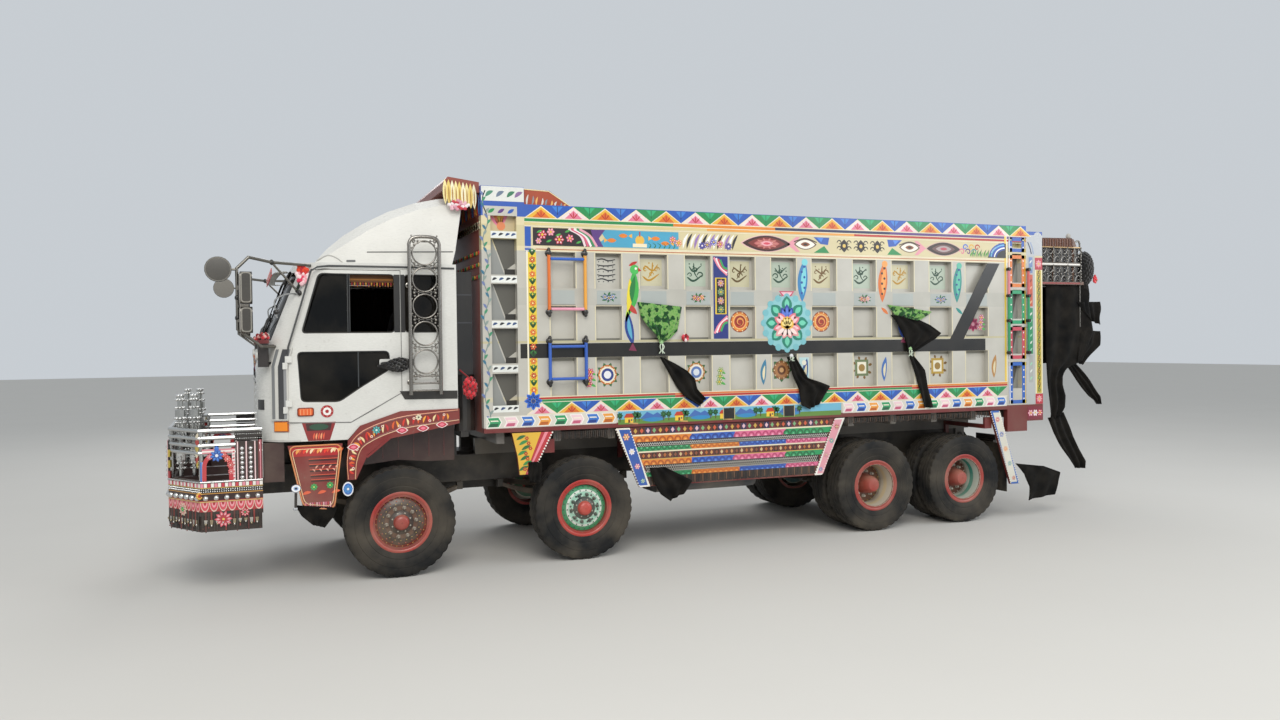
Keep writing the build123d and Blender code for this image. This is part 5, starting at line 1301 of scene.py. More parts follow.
# %% Front and rear posts
posts = Shapes()
vine = [(853 + 26 * math.sin(k * 0.9), 1440 + 56 * k) for k in range(43)]
ribbon(posts, outer, vine, 10, "7c8a86", 1.0, 180)
for k, (u, v) in enumerate(vine[:-1]):
    side_way = -1 if k % 2 else 1
    leaf(posts, outer, (u, v), (u + side_way * 34, v + 50), 26,
        ("3f8f6a", "6a7aa8", "8a9a94", "2f6f8a")[k % 4], 1.5, side_way * 5)
for v in (1610, 2014, 2460, 2910, 3356):
    box_plate(posts, outer, 906, 1170, v - 34, v + 34, "e6e8e2", 1.0)
    for du in (940, 1010, 1080, 1140):
        leaf(posts, outer, (du - 26, v - 12), (du + 26, v + 10), 24,
            ("2c4a7a", "3a8a5a", "20242c", "4a9a8a")[(du + v) % 4], 1.6, 8)
# Each opening of the front post: a pale slanted shape, and dark fills beside it that are painted shade inside
# the post.
for v0, v1 in ((1630, 1964), (2064, 2418), (2503, 2866), (2956, 3319)):
    plate(posts, recess, [(907, v0 + 2), (1060, v0 + 2), (930, v1 - 2), (907, v1 - 2)], "8f918e", SUNK, 1.0)
    plate(posts, recess, [(940, v1 - 2), (1169, v1 - 2), (1169, v0 + 120), (1060, v0 + 40)],
        "57554e", SUNK, 1.0)
    box_plate(posts, recess, 1060, 1169, v0 + 2, v0 + 60, "2a2824", 1.6)
top_panel = side_flat(-1180)
box_plate(posts, top_panel, 907, 1169, 3396, 3638, "cdbb94", 1.0)
for k, colour in enumerate((PINK, "e89a3a", "e4c44a", "e07a4a", PINK)):
    a = math.radians(62 + 18 * k)
    leaf(posts, top_panel, (1030, 3430), (1030 + 170 * math.cos(a), 3430 + 190 * math.sin(a)),
        34, colour, 1.6, 6)
disc(posts, top_panel, 1030, 3450, 44, "e58a5a", 2.2, 14)
box_plate(posts, outer, 815, 1252, 3690, 3836, "dfe0da", 1.0)
for u, c in ((900, "4a8a70"), (1010, "6a7a90"), (1120, "3a7a5a"), (1200, "8a6a9a")):
    leaf(posts, outer, (u - 44, 3730), (u + 40, 3790), 40, c, 1.6, 10)
frames = ((3340, 3520, BLUE), (2900, 3300, "e07a2c"), (2440, 2860, "1f9a68"),
    (2000, 2400, "c8485a"), (1440, 1960, "2a62b8"))
for v0, v1, colour in frames:
    for a, b, c, d in ((7480, 7540, v0, v1), (7690, 7756, v0, v1), (7480, 7756, v1 - 44, v1),
            (7480, 7756, v0, v0 + 44)):
        box_plate(posts, outer, a, b, c, d, colour, 2.0)
    box_plate(posts, outer, 7486, 7500, v0, v1, WHITE, 2.5)
    box_plate(posts, outer, 7738, 7750, v0, v1, "e8c84a", 2.5)
    for k in range(int((v1 - v0) / 90)):
        disc(posts, outer, 7520, v0 + 60 + 90 * k, 10, WHITE, 2.6, 8)
        disc(posts, outer, 7716, v0 + 60 + 90 * k, 10, WHITE, 2.6, 8)
for v0, v1 in ((1630, 1964), (2064, 2418), (2503, 2866), (2956, 3319)):
    box_plate(posts, recess, 7542, 7688, v0 + 2, v1 - 2, "8a8a84", 0.6)
    # The dark slanted band across each opening's grey fill is painted shade inside the rear post.
    plate(posts, recess, [(7542, v0 + 2), (7600, v0 + 2), (7688, v1 - 2), (7620, v1 - 2)],
        "4a4642", SUNK, 1.0)
box_plate(posts, outer, 7770, 8027, 3300, 3560, "b9bcbf", 1.0)
plate(posts, outer, np.r_[circle(70, 20, 7953, 3530)], "b9bcbf", SUNK, 1.4)
box_plate(posts, outer, 7770, 7904, 1420, 3300, "b4b6b4", 1.0)
for v0, v1, tone in ((2660, 3060, "c8583a"), (2060, 2640, "2a8a5a"), (1700, 2040, "a8aaa6"),
        (3080, 3280, "6f86b4")):
    box_plate(posts, outer, 7806, 7868, v0, v1, tone, 2.0)
    for k in range(int((v1 - v0) / 90)):
        leaf(posts, outer, (7816, v0 + 30 + 90 * k), (7858, v0 + 76 + 90 * k), 22,
            ("e8b08a", "8a2f20") [k % 2] if tone == "c8583a" else ("9ad0b0", "d8dcd4")[k % 2], 2.8)
box_plate(posts, outer, 7908, 8026, 1557, 3120, "ece2bc", 1.6)
box_plate(posts, outer, 7928, 8006, 1560, 3117, "c2aa3e", 2.2)
for k in range(20):
    v = 1600 + 77 * k
    rosette(posts, outer, 7967, v, 28, (("4f6a24", "7a4a20")[k % 2], "e8d060", "8a9a3a"), 2.8, 5, k)
    leaf(posts, outer, (7950, v + 20), (7985, v + 62), 18, ("2f4a1c", "6a3a1c")[k % 2], 2.8)
for v0, v1 in ((3124, 3276), (1424, 1552)):
    box_plate(posts, outer, 7908, 8026, v0, v1, "b8283a", 2.0)
    rosette(posts, outer, 7967, (v0 + v1) / 2, 50, ("e8a0a8", YELLOW), 2.6, 8)
for k in range(2):
    ribbon(posts, outer, [(7790 + 44 * k, 3470), (7826 + 40 * k, 3400), (7850 + 34 * k, 3320)], 15,
        ("1f2c52", "8fa0c0")[k], 2.4, 8)
box_plate(posts, outer, 830, 1180, 3545, 3640, "c4c1b6", 1.0)
for k in range(3):
    leaf(posts, outer, (880 + 100 * k, 3570), (950 + 100 * k, 3615), 34, (GREEN, PURPLE, BLUE)[k], 1.8)
box_plate(posts, outer, 7776, 8018, 1232, 1392, "7c2436", 1.4)
for k in range(3):
    rosette(posts, outer, 7824 + 76 * k, 1312, 46, ((PINK, "f0d8dc", "d83a5a")[k], YELLOW, WHITE), 2.2, 6, k)
print("posts", posts.count, "points")

# %% Round bars that stand off the rear post
for u, v0, v1, colour, low in ((7462, 2480, 3130, "e08a94", "2f9a6a"),
        (7776, 2480, 3130, "d86a6a", "2f9a6a")):
    rod(posts, (u, -1278, 2800), (u, -1278, v1), 17, colour)
    rod(posts, (u, -1278, v0 - 420), (u, -1278, 2780), 17, low)
    for v in (3120, 2790, 2480, 2080):
        turn(posts, (u, -1250, v), (0, -1, 0), [(0, 22), (10, 22), (24, 12), (28, 26), (52, 20)], BLACK, 10)
print("posts with bars", posts.count, "points")

body_gloss = enamel("painted_ornament", None, 0.3, 0.14, 0.0)
for name, shapes in (("bed_rows", rows), ("bed_panels", panels), ("bed_posts", posts)):
    both(shapes).build(name, body_gloss, "bed")

# %% [markdown]
# ## Skirts, arch arms and chain fringes
#
# Below the bed each side has a steel skirt with rows of half-round studs, chains and coloured blocks, framed
# by four slanted arms. The studs are pressed domes and the chains hang free, so they stand off the plate; a
# stripe in the paint would vanish seen from along the truck. Each row is one list of places, and every place
# gets the same small shape of a few faces.

# %% Rows on the skirt
skirt = side_flat(-1232)
arms = side_flat(-1244)
skirts = Shapes()
SKIRT_TOP = 1362.0


def front_edge(v):
    """Distance of the skirt's slanted front edge at a height, on a straight line between its two corners."""
    return 2600 - (v - 724) * (2600 - 2373) / (SKIRT_TOP - 724)


def rear_edge(v):
    """Distance of the skirt's slanted rear edge at a height."""
    return 4640 + (v - 717) * (4925 - 4640) / (SKIRT_TOP - 717)


TINTS = {  # deep tone, pale tone of each ground colour
    ORANGE: ("b0521c", "f2b060"), "2f62c0": ("1c3c8a", "7aa6e0"), "dd6f96": ("b8406a", "f2b4c6"),
    "1f9a5c": ("12643c", "7ac89a"),
}


def half_rounds(shapes, flat, u0, u1, v0, v1, groups, up=True):
    """Half discs side by side, each with a smaller one inside it: the arch is v0 + (v1 - v0) * sin a."""
    tall = v1 - v0
    pitch = tall * 1.55
    a = np.linspace(0, math.pi, 9)
    base, way = (v0, 1) if up else (v1, -1)
    for k in range(int((u1 - u0) / pitch)):
        u = u0 + pitch * (k + 0.5)
        ground = next(colour for _, end, colour in groups if u < end or end == groups[-1][1])
        deep, pale = TINTS[ground]
        for j, (share, colour) in enumerate(((0.96, deep), (0.6, ground), (0.3, pale))):
            plate(shapes, flat, np.c_[u + pitch / 2 * share * np.cos(a),
                base + way * (2 + (tall - 4) * share * np.sin(a))], colour, SUNK, 1.5 + 0.6 * j)


def chain_row(shapes, flat, u0, u1, v, drop, colour, high=6.0, pitch=26.0):
    """Loops of chain: each loop is a thin ring whose lower half hangs by the drop."""
    count = int((u1 - u0) / pitch)
    a = np.linspace(0, math.pi, 6)
    for k in range(count):
        u = u0 + pitch * (k + 0.5)
        route = np.c_[u - pitch / 2 * np.cos(a), v - drop * np.sin(a)]
        path = flat.place(route, high)
        follow(shapes, path, circle(2.6, 4), colour, roll=flat.out)
        ball(shapes, flat.place([(u, v - drop)], high)[0], 4.5, colour, 5, 4)


def patch_row(shapes, flat, u0, u1, v0, v1, pitch, coats, high=1.5):
    """Square patches with a small mark in each."""
    for k in range(int((u1 - u0) / pitch)):
        u = u0 + pitch * k
        coat, mark = coats[k % len(coats)]
        box_plate(shapes, flat, u + 3, u + pitch - 3, v0 + 3, v1 - 3, coat, high)
        plate(shapes, flat, [(u + pitch * 0.2, (v0 + v1) / 2), (u + pitch / 2, v0 + 10),
            (u + pitch * 0.8, (v0 + v1) / 2), (u + pitch / 2, v1 - 10)], mark, SUNK, high + 0.6)


def span(v):
    return front_edge(v) + 4, rear_edge(v) - 4


group_high = ((2440, 3097, ORANGE), (3097, 3627, "2f62c0"), (3627, 4274, "dd6f96"), (4274, 4822, "1f9a5c"))
group_low = ((2520, 3097, "1f9a5c"), (3097, 3680, ORANGE), (3680, 4274, "2f62c0"), (4274, 4740, "dd6f96"))


def blocks(v0, v1, groups, high=1.0):
    """The ground behind a row, one colour for each group, cut to the skirt's slanted ends."""
    low, top = span(v0), span(v1)
    for k, (u0, u1, colour) in enumerate(groups):
        a, b = (low[0] if k == 0 else u0), (low[1] if k == len(groups) - 1 else u1)
        c, d = (top[1] if k == len(groups) - 1 else u1), (top[0] if k == 0 else u0)
        plate(skirts, skirt, [(a, v0), (b, v0), (c, v1), (d, v1)], colour, SUNK, high)


maroon = (("5a1a1c", "c9a24a"), ("3a2418", "d05a3a"), ("1f2850", "e0b8c0"), ("6a2030", "7ab07a"))
browns = (("4a2a1a", "b8642c"), ("5c1c1c", "d09a5a"), ("2c1a16", "8a4a30"), ("6a1f24", "d8c08a"))
a, b = span(1284)
patch_row(skirts, skirt, a, b, 1283, 1360, 72, maroon)
plate(skirts, skirt, [(a, 1266), (b, 1266), (b + 6, 1282), (a, 1282)], "efe4c4", SUNK, 2.0)
blocks(1203, 1266, group_high)
a, b = span(1203)
half_rounds(skirts, skirt, a + 4, b, 1204, 1262, group_high)
a, b = span(1147)
box_plate(skirts, skirt, a, b, 1147, 1203, "1d1a1e", 1.0)
chain_row(skirts, skirt, a, b, 1192, 16, "e6e4dc")
chain_row(skirts, skirt, a + 13, b - 13, 1172, 16, "cfccc2")
blocks(1102, 1147, group_low)
a, b = span(1102)
half_rounds(skirts, skirt, a + 4, b, 1103, 1146, group_low, False)
a, b = span(1086)
box_plate(skirts, skirt, a, b, 1087, 1101, "efe4c4", 2.0)
patch_row(skirts, skirt, *span(1018), 1018, 1086, 62, browns)
a, b = span(1008)
box_plate(skirts, skirt, a, b, 1009, 1017, "d9b25a", 2.0)
blocks(952, 1008, group_high)
half_rounds(skirts, skirt, *span(952), 953, 1006, group_high)
a, b = span(873)
box_plate(skirts, skirt, a, b, 873, 952, "1b171a", 1.0)
chain_row(skirts, skirt, a, b, 944, 20, "dedad0")
chain_row(skirts, skirt, a + 13, b - 13, 918, 20, "c9c4b8")
chain_row(skirts, skirt, a, b, 896, 18, "dedad0")
blocks(829, 873, group_low)
half_rounds(skirts, skirt, *span(829), 830, 872, group_low)
a, b = span(740)
box_plate(skirts, skirt, a, b, 736, 829, "241a17", 1.0)
print("skirt rows", skirts.count, "points")


# %% The fringe of chains below the skirt and under the bed's edge
def fringe(shapes, flat, u0, u1, v, drop, pitch, colours, high=3.0, wave=0.12):
    """Short hanging strips: strip k is a lens of length drop * (1 + wave * sin(k)),
    with a bead at its end."""
    for k in range(int((u1 - u0) / pitch)):
        u = u0 + pitch * (k + 0.5)
        fall = drop * (1 + wave * math.sin(k * 1.7))
        plate(shapes, flat, [(u - pitch * 0.3, v), (u + pitch * 0.3, v), (u + pitch * 0.2, v - fall),
            (u - pitch * 0.2, v - fall)], colours[k % len(colours)], high - 2.5, high)
        ball(shapes, flat.place([(u, v - fall)], high - 1)[0], pitch * 0.26,
            colours[(k + 1) % len(colours)], 5, 4)


fringe(skirts, skirt, *span(829), 828, 84, 24, ("2a1c18", "1a1416", "3c2a20", "6a4a34"), 4.0)
fringe(skirts, arms, 1560, 2200, 1352, 74, 22, ("1a1718", "2c211c", "3a2a22"), -8.0)
fringe(skirts, arms, 4960, 7180, 1352, 60, 26, ("1a1718", "2c211c", "4a3528"), -8.0)
print("fringes", skirts.count, "points")


# %% Arch arms
def arm_face(outline, coat, edge, marks, side_edge=True):
    """A coat over the arm's outline, a pale beaded edge along its slanted sides,
    and marks down its middle."""
    o = np.asarray(outline, float)
    plate(skirts, arms, o, edge, SUNK, 1.0)
    centre = o.mean(0)
    plate(skirts, arms, centre + (o - centre) * (0.84, 0.95), coat, SUNK, 1.6)
    top, low = (o[0] + o[1]) / 2, (o[2] + o[3]) / 2
    for k in range(len(marks)):
        u, v = top + (low - top) * (k + 0.6) / len(marks)
        colour, petals, radius = marks[k]
        rosette(skirts, arms, u, v, radius, (colour, "f0e0b0", "f6ece0"), 2.2, petals, k)
    if side_edge:
        for first, last in ((o[0], o[3]), (o[1], o[2])):
            count = int(np.linalg.norm(last - first) / 30)
            for k in range(count):
                u, v = first + (last - first) * (k + 0.5) / count
                ball(skirts, arms.place([(u + (6 if first is o[0] else -6), v)], 2)[0],
                    (8, 3.5, 8), "f4f0e4", 6, 4)


plate(skirts, arms, [(1097, 1360), (1412, 1360), (1330, 1150), (1262, 937), (1172, 937), (1152, 1120)],
    "e3b53a", SUNK, 1.2)
for k in range(7):
    u, v = 1180 + 26 * (k % 3) + 12 * (k // 3), 1310 - 52 * k
    leaf(skirts, arms, (u - 40, v - 20), (u + 60, v + 22), 34, ("1f6a34", "2f8a44")[k % 2], 2.0, 6)
    rosette(skirts, arms, u + 70 - 8 * k, v - 6, 24, (RED, YELLOW), 2.4, 6, k)
plate(skirts, arms, [(1400, 1360), (1528, 1360), (1298, 937), (1230, 937)], "b8323a", SUNK, 1.8)
plate(skirts, arms, [(1440, 1360), (1476, 1360), (1262, 950), (1246, 950)], "e88a96", SUNK, 2.4)
for k in range(16):
    u, v = 1520 - 14.2 * k, 1352 - 27.0 * k
    ball(skirts, arms.place([(u, v)], 2)[0], (10, 4, 10), "f4f0e6", 6, 4)
arm_face(((2217, 1360), (2371, 1360), (2598, 726), (2481, 726)), "2a56a8", "efece0",
    ((ORANGE, 6, 42), ("e8e4f0", 7, 38), (PINK, 6, 34), (TEAL, 6, 30)))
arm_face(((4927, 1360), (5051, 1360), (4738, 719), (4642, 719)), "e6a0ac", "f2efe6",
    ((RED, 6, 38), (TEAL, 6, 34), ("c85a7a", 7, 32), (BLUE, 6, 28)))
arm_face(((7192, 1360), (7328, 1360), (7638, 432), (7512, 432)), "d8d4c6", "2f62b0",
    (("c8405a", 6, 38), (BLUE, 6, 38), (ORANGE, 6, 36), (TEAL, 6, 34), (RED, 6, 30)))
print("arms", skirts.count, "points")

skirt_pair = both(skirts)
skirt_pair.build("skirt_ornament", body_gloss, "chassis")

# %% [markdown]
# ## Cab trim
#
# The cab is a plain white body with a factory's trim: amber lamps, a repeater, rubber round the panes, a drip
# rail over the doors, handles, wipers. Its owner added plated ladders, flowers on the visor and painted
# steps. Each trim piece is a section along a path or a turned shape that sits on the cab's own faces, placed
# by the CAD's sizes.

# %% Lamps, seals and handles on the cab's side
cab = side_flat(-1225)
trim, plated, lamps, flowers = Shapes(), Shapes(), Shapes(), Shapes()
door_trim, door_lamps = Shapes(), Shapes()
SIDE_PANES = (
    ((-889, 2386), (-731, 2942), (-40, 2942), (-40, 2386)),
    ((55, 2386), (55, 2942), (410, 2942), (404, 2386)),
    ((-930, 2207), (-100, 2207), (-88, 2034), (-364, 1868), (-562, 1735), (-905, 1745)),
)


def rounded(corners, radius, steps=5):
    """An outline with round corners: each corner p becomes the points
    (1 - t)^2 a + 2 t (1 - t) p + t^2 b, where a and b lie on its two sides."""
    c = np.asarray(corners, float)
    t = np.linspace(0, 1, steps)[:, None]
    out = []
    for before, p, after in zip(np.roll(c, 1, 0), c, np.roll(c, -1, 0)):
        a, b = p + unit(before - p) * radius, p + unit(after - p) * radius
        out.append((1 - t) ** 2 * a + 2 * t * (1 - t) * p + t ** 2 * b)
    return np.concatenate(out)


def bead(shapes, flat, corners, radius, thick, high, colour, steps=5):
    """A round strip along an outline on a flat."""
    follow(shapes, flat.place(rounded(corners, radius, steps), high),
        circle(thick, 6), colour, True, flat.out)


for pane, holder in zip(SIDE_PANES, (door_trim, trim, door_trim)):
    bead(holder, cab, pane, 44, 8, -6, "0f1011")
box_plate(door_trim, cab, -478, -452, 2390, 2938, "2a2d30", -4)
box_plate(door_trim, cab, -469, -461, 2390, 2938, "8e9498", -1)
box_plate(door_trim, cab, -392, -380, 1870, 2204, "2c3033", -4)
follow(trim, cab.place([(-1024, 2130), (-1010, 2262), (-800, 2966), (-740, 3004), (-640, 3016), (20, 3016),
    (540, 3010)], 5), circle(9, 6), "3a3c3e", roll=cab.out)
follow(trim, cab.place([(-1010, 2290), (-806, 2960), (-742, 2992), (-640, 2999), (300, 2999)], 3),
    circle(5, 6), "c9cac6", roll=cab.out)
box_plate(door_trim, cab, -44, 12, 2386, 2942, "0c0d10", 2)
box_plate(trim, cab, 18, 58, 2386, 2942, "0c0d10", 2)
follow(trim, cab.place([(-1032, 1552), (-462, 1534), (-300, 1622), (18, 1802)], 1),
    circle(3.5, 5), "5c5d5b", roll=cab.out)
follow(trim, cab.place([(18, 1806), (18, 2978)], 1), circle(3.5, 5), "6a6b68", roll=cab.out)
plate(door_trim, cab, rounded([(-190, 2070), (-60, 2070), (-60, 2130), (-190, 2130)], 16), "d2d1cb", SUNK, 3)
follow(door_trim, cab.place(smooth_path([(-180, 2088), (-150, 2096), (-90, 2096), (-66, 2088)], 10), 12),
    circle(8, 6), "26282a", roll=cab.out)
for u in (-172, -74):
    rod(door_trim, cab.place([(u, 2090)], 0)[0], cab.place([(u, 2090)], 14)[0], 7, "26282a", 8)
disc(door_trim, cab, -30, 2066, 12, "a8a9a6", 4, 12)

plate(door_lamps, cab, rounded([(-943, 1608), (-794, 1608), (-794, 1689), (-943, 1689)], 22),
    "7a2c12", SUNK, 8)
plate(door_lamps, cab, rounded([(-936, 1615), (-801, 1615), (-801, 1682), (-936, 1682)], 20),
    "e2622a", SUNK, 26, 0.12)
for u in (-915, -885, -855, -825):
    box_plate(door_lamps, cab, u - 3, u + 3, 1622, 1674, "f0a26a", 27)
for radius, colour, high in ((58, "a80f18", 3), (38, "f4f1ec", 4), (17, "a80f18", 5)):
    disc(door_trim, cab, -677, 1648, radius, colour, high, 24)
for k in range(8):
    a = k * math.pi / 4
    disc(door_trim, cab, -677 + 47 * math.cos(a), 1648 + 47 * math.sin(a), 4, "e8b0a8", 3.6, 6)
liner = side_flat(-1000)
plate(trim, liner, [(-560, 1090), (-470, 1330), (-250, 1470), (20, 1530), (560, 1530), (560, 1100),
    (300, 1100), (0, 1130), (-300, 1100)], "2e0a0c", -3, 3)
for k in range(6):
    box_plate(trim, liner, -300 + 150 * k, -288 + 150 * k, 1150, 1400, "4a1416", 6)
print("side trim", trim.count, door_trim.count, "points")


# %% The rounded corner: deflector with painted shade, lamp and pillar line
def corner_grid(bottom, top, first, last, inset, rows=8, columns=12):
    """Points on the cab's rounded corner: centre + (r + inset) * (-cos a, -sin a),
    the centre following the front line."""
    z = np.linspace(bottom, top, rows)
    front = np.interp(z, (1373, 2080, 2290, 3050), (-1290, -1290, -1233, -934))
    a = np.radians(np.linspace(first, last, columns))
    r = 390.0 + inset
    x = (front + 390)[:, None] - r * np.cos(a)[None]
    y = -(1225.0 - 390.0) - r * np.sin(a)[None] + 0 * x
    return np.stack([x, y, z[:, None] + 0 * x], -1)


def corner_shell(shapes, bottom, top, first, last, inner, outer, colour, rows=8, columns=12):
    """A curved plate on the corner: an inner and an outer grid joined round their edges."""
    a, b = (corner_grid(bottom, top, first, last, g, rows, columns) for g in (inner, outer))
    n = rows * columns
    i, j = np.meshgrid(np.arange(rows - 1), np.arange(columns - 1), indexing="ij")
    quad = np.stack([i * columns + j, i * columns + j + 1, (i + 1) * columns + j + 1,
        (i + 1) * columns + j], -1).reshape(-1, 4)
    rim = np.r_[np.arange(columns), np.arange(1, rows) * columns + columns - 1,
        (rows - 1) * columns + np.arange(columns - 2, -1, -1), np.arange(rows - 2, 0, -1) * columns]
    nxt = np.roll(rim, -1)
    walls = np.stack([rim, nxt, nxt + n, rim + n], -1)
    shapes.add(np.r_[a.reshape(-1, 3), b.reshape(-1, 3)], [quad, quad[:, ::-1] + n, walls[:, ::-1]], colour)


corner_shell(trim, 1576, 2250, 50, 73, 4, 26, "cfcdc6", 9, 6)
# The grey, dark and mid-grey strips on the pale deflector are painted shade of its curve, darkest in the
# middle one.
corner_shell(trim, 1590, 2236, 52, 56, 26, 30, "77797a", 9, 3)
corner_shell(trim, 1590, 2236, 61, 68, 26, 30, "3a3b3e", 9, 4)
corner_shell(trim, 1590, 2236, 68, 71.5, 26, 29, "8e8f90", 9, 3)
corner_shell(lamps, 1470, 1566, 53, 73, -1, 16, "a84e10", 4, 6)
corner_shell(lamps, 1478, 1558, 54.5, 71.5, 16, 24, "f08a18", 4, 6)
corner_shell(lamps, 1392, 1462, 48, 72, -1, 8, "d8d6ce", 4, 6)
corner_shell(trim, 1672, 1766, 18, 34, 0, 6, "202124", 3, 4)
corner_shell(trim, 1376, 1392, 2, 88, 0, 5, "c8c7c1", 3, 14)
print("corner", trim.count, lamps.count, "points")

# %% Front: screen rubber, wipers, visor and blank plate

def front_at(z, out=0.0):
    return np.interp(z, (1373, 2080, 2290, 3050), (-1290, -1290, -1233, -934)) - out


screen = [(front_at(z, 4), y, z) for y, z in ((-1046, 2324), (1046, 2324), (1046, 2958), (-1046, 2958))]
follow(trim, np.array(screen), circle(13, 6), "101113", True, (0.4, 0, 0.9))
for y0, lean in ((-640, 1), (-40, 1), (560, 1)):
    pivot = np.array([front_at(2296, 22), y0, 2296])
    tip = np.array([front_at(2570, 20), y0 - 330 * lean, 2570])
    low = np.array([front_at(2360, 20), y0 - 20 * lean, 2350])
    rod(trim, pivot + (14, 0, 0), pivot + (-8, 0, 0), 18, "1a1a1c", 10)
    rod(trim, pivot, (pivot + tip) / 2 + (-6, 0, 30), 7, "1a1a1c", 6)
    rod(trim, low + (0, -40 * lean, 0), tip, 6, "131314", 6)
for z in (1402, 1920):
    box = [(front_at(z, 1), -780, z), (front_at(z, 1), 780, z)]
    rod(trim, box[0], box[1], 7, "a9aaa6", 8)
plate_front = front_flat(-1292)
for y0 in (-460, 460):
    plate(trim, plate_front, rounded([(y0 - 120, 1960), (y0 + 120, 1960), (y0 + 120, 2040),
        (y0 - 120, 2040)], 20), "2a2c2e", SUNK, 4)
rosette(flowers, plate_front, 0, 2100, 92, ("c8324a", YELLOW, "f0c8d0"), 3, 10)
for k in (-1, 1):
    for j in range(3):
        rosette(flowers, plate_front, k * (210 + 170 * j), 2110 + 14 * (-1) ** j, 58,
            ((RED, BLUE, ORANGE)[j], YELLOW, "f4ecd8"), 2.5, 8, j)
        leaf(flowers, plate_front, (k * (120 + 170 * j), 2100),
            (k * (190 + 170 * j), 2130), 40, "1f7a44", 1.5)
visor = [(-1010, -1040), (-1090, -980), (-1120, -700), (-1130, 0), (-1120, 700), (-1090, 980), (-1010, 1040)]
path = np.array([(x, y, 2966 + 0.06 * (x + 1010)) for x,
    y in smooth_path([(*p, 0) for p in visor], 20)[:, :2]])
follow(trim, path, np.array([(-4, -4), (60, -10), (62, -6), (0, 6)]), "d6d5cf", roll=(0, 0, 1))
for k in range(19):
    y = -900 + 100 * k
    rosette(flowers, front_flat(-1134), -y, 2972, 40,
        ((RED, PINK, "e0552a")[k % 3], YELLOW, "f6d0d0"), 6, 6, k)
print("front", trim.count, "points")

# %% Flowers beside the visor and the spot-lamp on the corner
for k in range(26):
    a, r = 2.4 * k, 9.0 * math.sqrt(k)
    place = np.array([-872 - 1.1 * r * math.cos(a), -1160 - 0.25 * r * abs(math.sin(a)),
        2930 + 2.2 * r * math.sin(a) * 0.9])
    ball(flowers, place, (26, 20, 24), (("e0452c", "d83a3a", "e0452c",
        "b82430") if place[2] > 2950 else ("e8a0a8", "f2dcdc", "d83a5a", "eac0c4"))[k % 4], 7, 5)
for k in range(8):
    ball(flowers, (-884 - 6 * k, -1172, 2880 - 14 * k), (15, 12, 22), ("2c3a2a", "161616")[k % 2], 6, 4)


def block_shape(shapes, low, high, colour, ease=0.12):
    """A box whose four upright edges are cut back by a share of its width."""
    (x0, y0, z0), (x1, y1, z1) = low, high
    w, d = (x1 - x0) * ease, (y1 - y0) * ease
    outline = [(x0 + w, y0), (x1 - w, y0), (x1, y0 + d), (x1, y1 - d), (x1 - w, y1), (x0 + w, y1),
        (x0, y1 - d), (x0, y0 + d)]
    plate(shapes, Flat((0, 0, 0), (1, 0, 0), (0, 1, 0)), outline, colour, z0, z1)


block_shape(trim, (-1275, -1195, 2075), (-1180, -1075, 2312), "26201f")
block_shape(trim, (-1282, -1202, 2292), (-1174, -1068, 2326), "6a1a1c")
turn(trim, (-1274, -1135, 2190), (-1, 0, 0), [(0, 54), (16, 52), (22, 44), (26, 4)], "d8d8d2", 20)
for z in (2110, 2270):
    rod(trim, (-1184, -1120, z), (-1130, -1100, z), 12, "1c1c1e", 8)
for k in range(16):
    a = 2 * math.pi * k / 16
    ball(flowers, (-1228 + 44 * math.cos(a), -1135 + 56 * math.sin(a), 2344 + 12 * (k % 3)), (20, 22, 19),
        (("c8323a", "e8a8a0", "8a1c24")[k % 3]), 7, 5)
for k in range(5):
    ball(flowers, (-1250 + 16 * k, -1140, 2372 + 10 * (k % 2)),
        (15, 18, 15), ("d8d0c0", "b83a3a")[k % 2], 7, 5)
arm = smooth_path([(-925, -1113, 2752), (-980, -1170, 2754), (-1050, -1200, 2736), (-1117, -1206, 2693),
    (-1119, -1206, 2620), (-1103, -1206, 2526)], 16)
follow(trim, arm, circle(7, 6), "8a8c8c")
ball(trim, (-1108, -1206, 2582), (30, 22, 24), "1a1a1c", 8, 6)
print("flowers", flowers.count, "points")

# %% [markdown]
# ## Plated ladders and mirrors
#
# The ladders are ornaments: two plated rails with an arch on top, five rings between them, and a fan of small
# studs wherever two rings meet. The mirror heads are shallow dishes with a pale glass. A ring is a circle
# carried along a circle, and one loop places all five.

# %% Ladder rings and studs
LADDER_Y, RAILS = -1320.0, (92.0, 378.0)
middle_x, ring_r = (RAILS[0] + RAILS[1]) / 2, 116.0
ring_heights = (2100, 2372, 2636, 2892, 3148)
for x in RAILS:
    rod(plated, (x, LADDER_Y, 1780), (x, LADDER_Y, 3200), 19, steps=12)
arch = [(RAILS[0], LADDER_Y, 3190), (RAILS[0], LADDER_Y, 3240), (RAILS[0] + 28, LADDER_Y, 3286),
    (RAILS[0] + 84, LADDER_Y, 3302), (middle_x, LADDER_Y, 3304),
        (RAILS[1] - 84, LADDER_Y, 3302), (RAILS[1] - 28, LADDER_Y, 3286), (RAILS[1], LADDER_Y, 3240),
        (RAILS[1], LADDER_Y, 3190)]
follow(plated, smooth_path(arch, 30), circle(17, 10), "c8c8c8", roll=(0, 1, 0))
for z in ring_heights:
    a = np.arange(28) * 2 * math.pi / 28
    follow(plated, np.c_[middle_x + ring_r * np.cos(a), LADDER_Y + 0 * a, z + ring_r * np.sin(a)],
        circle(8, 8), "c8c8c8", True, (0, 1, 0))
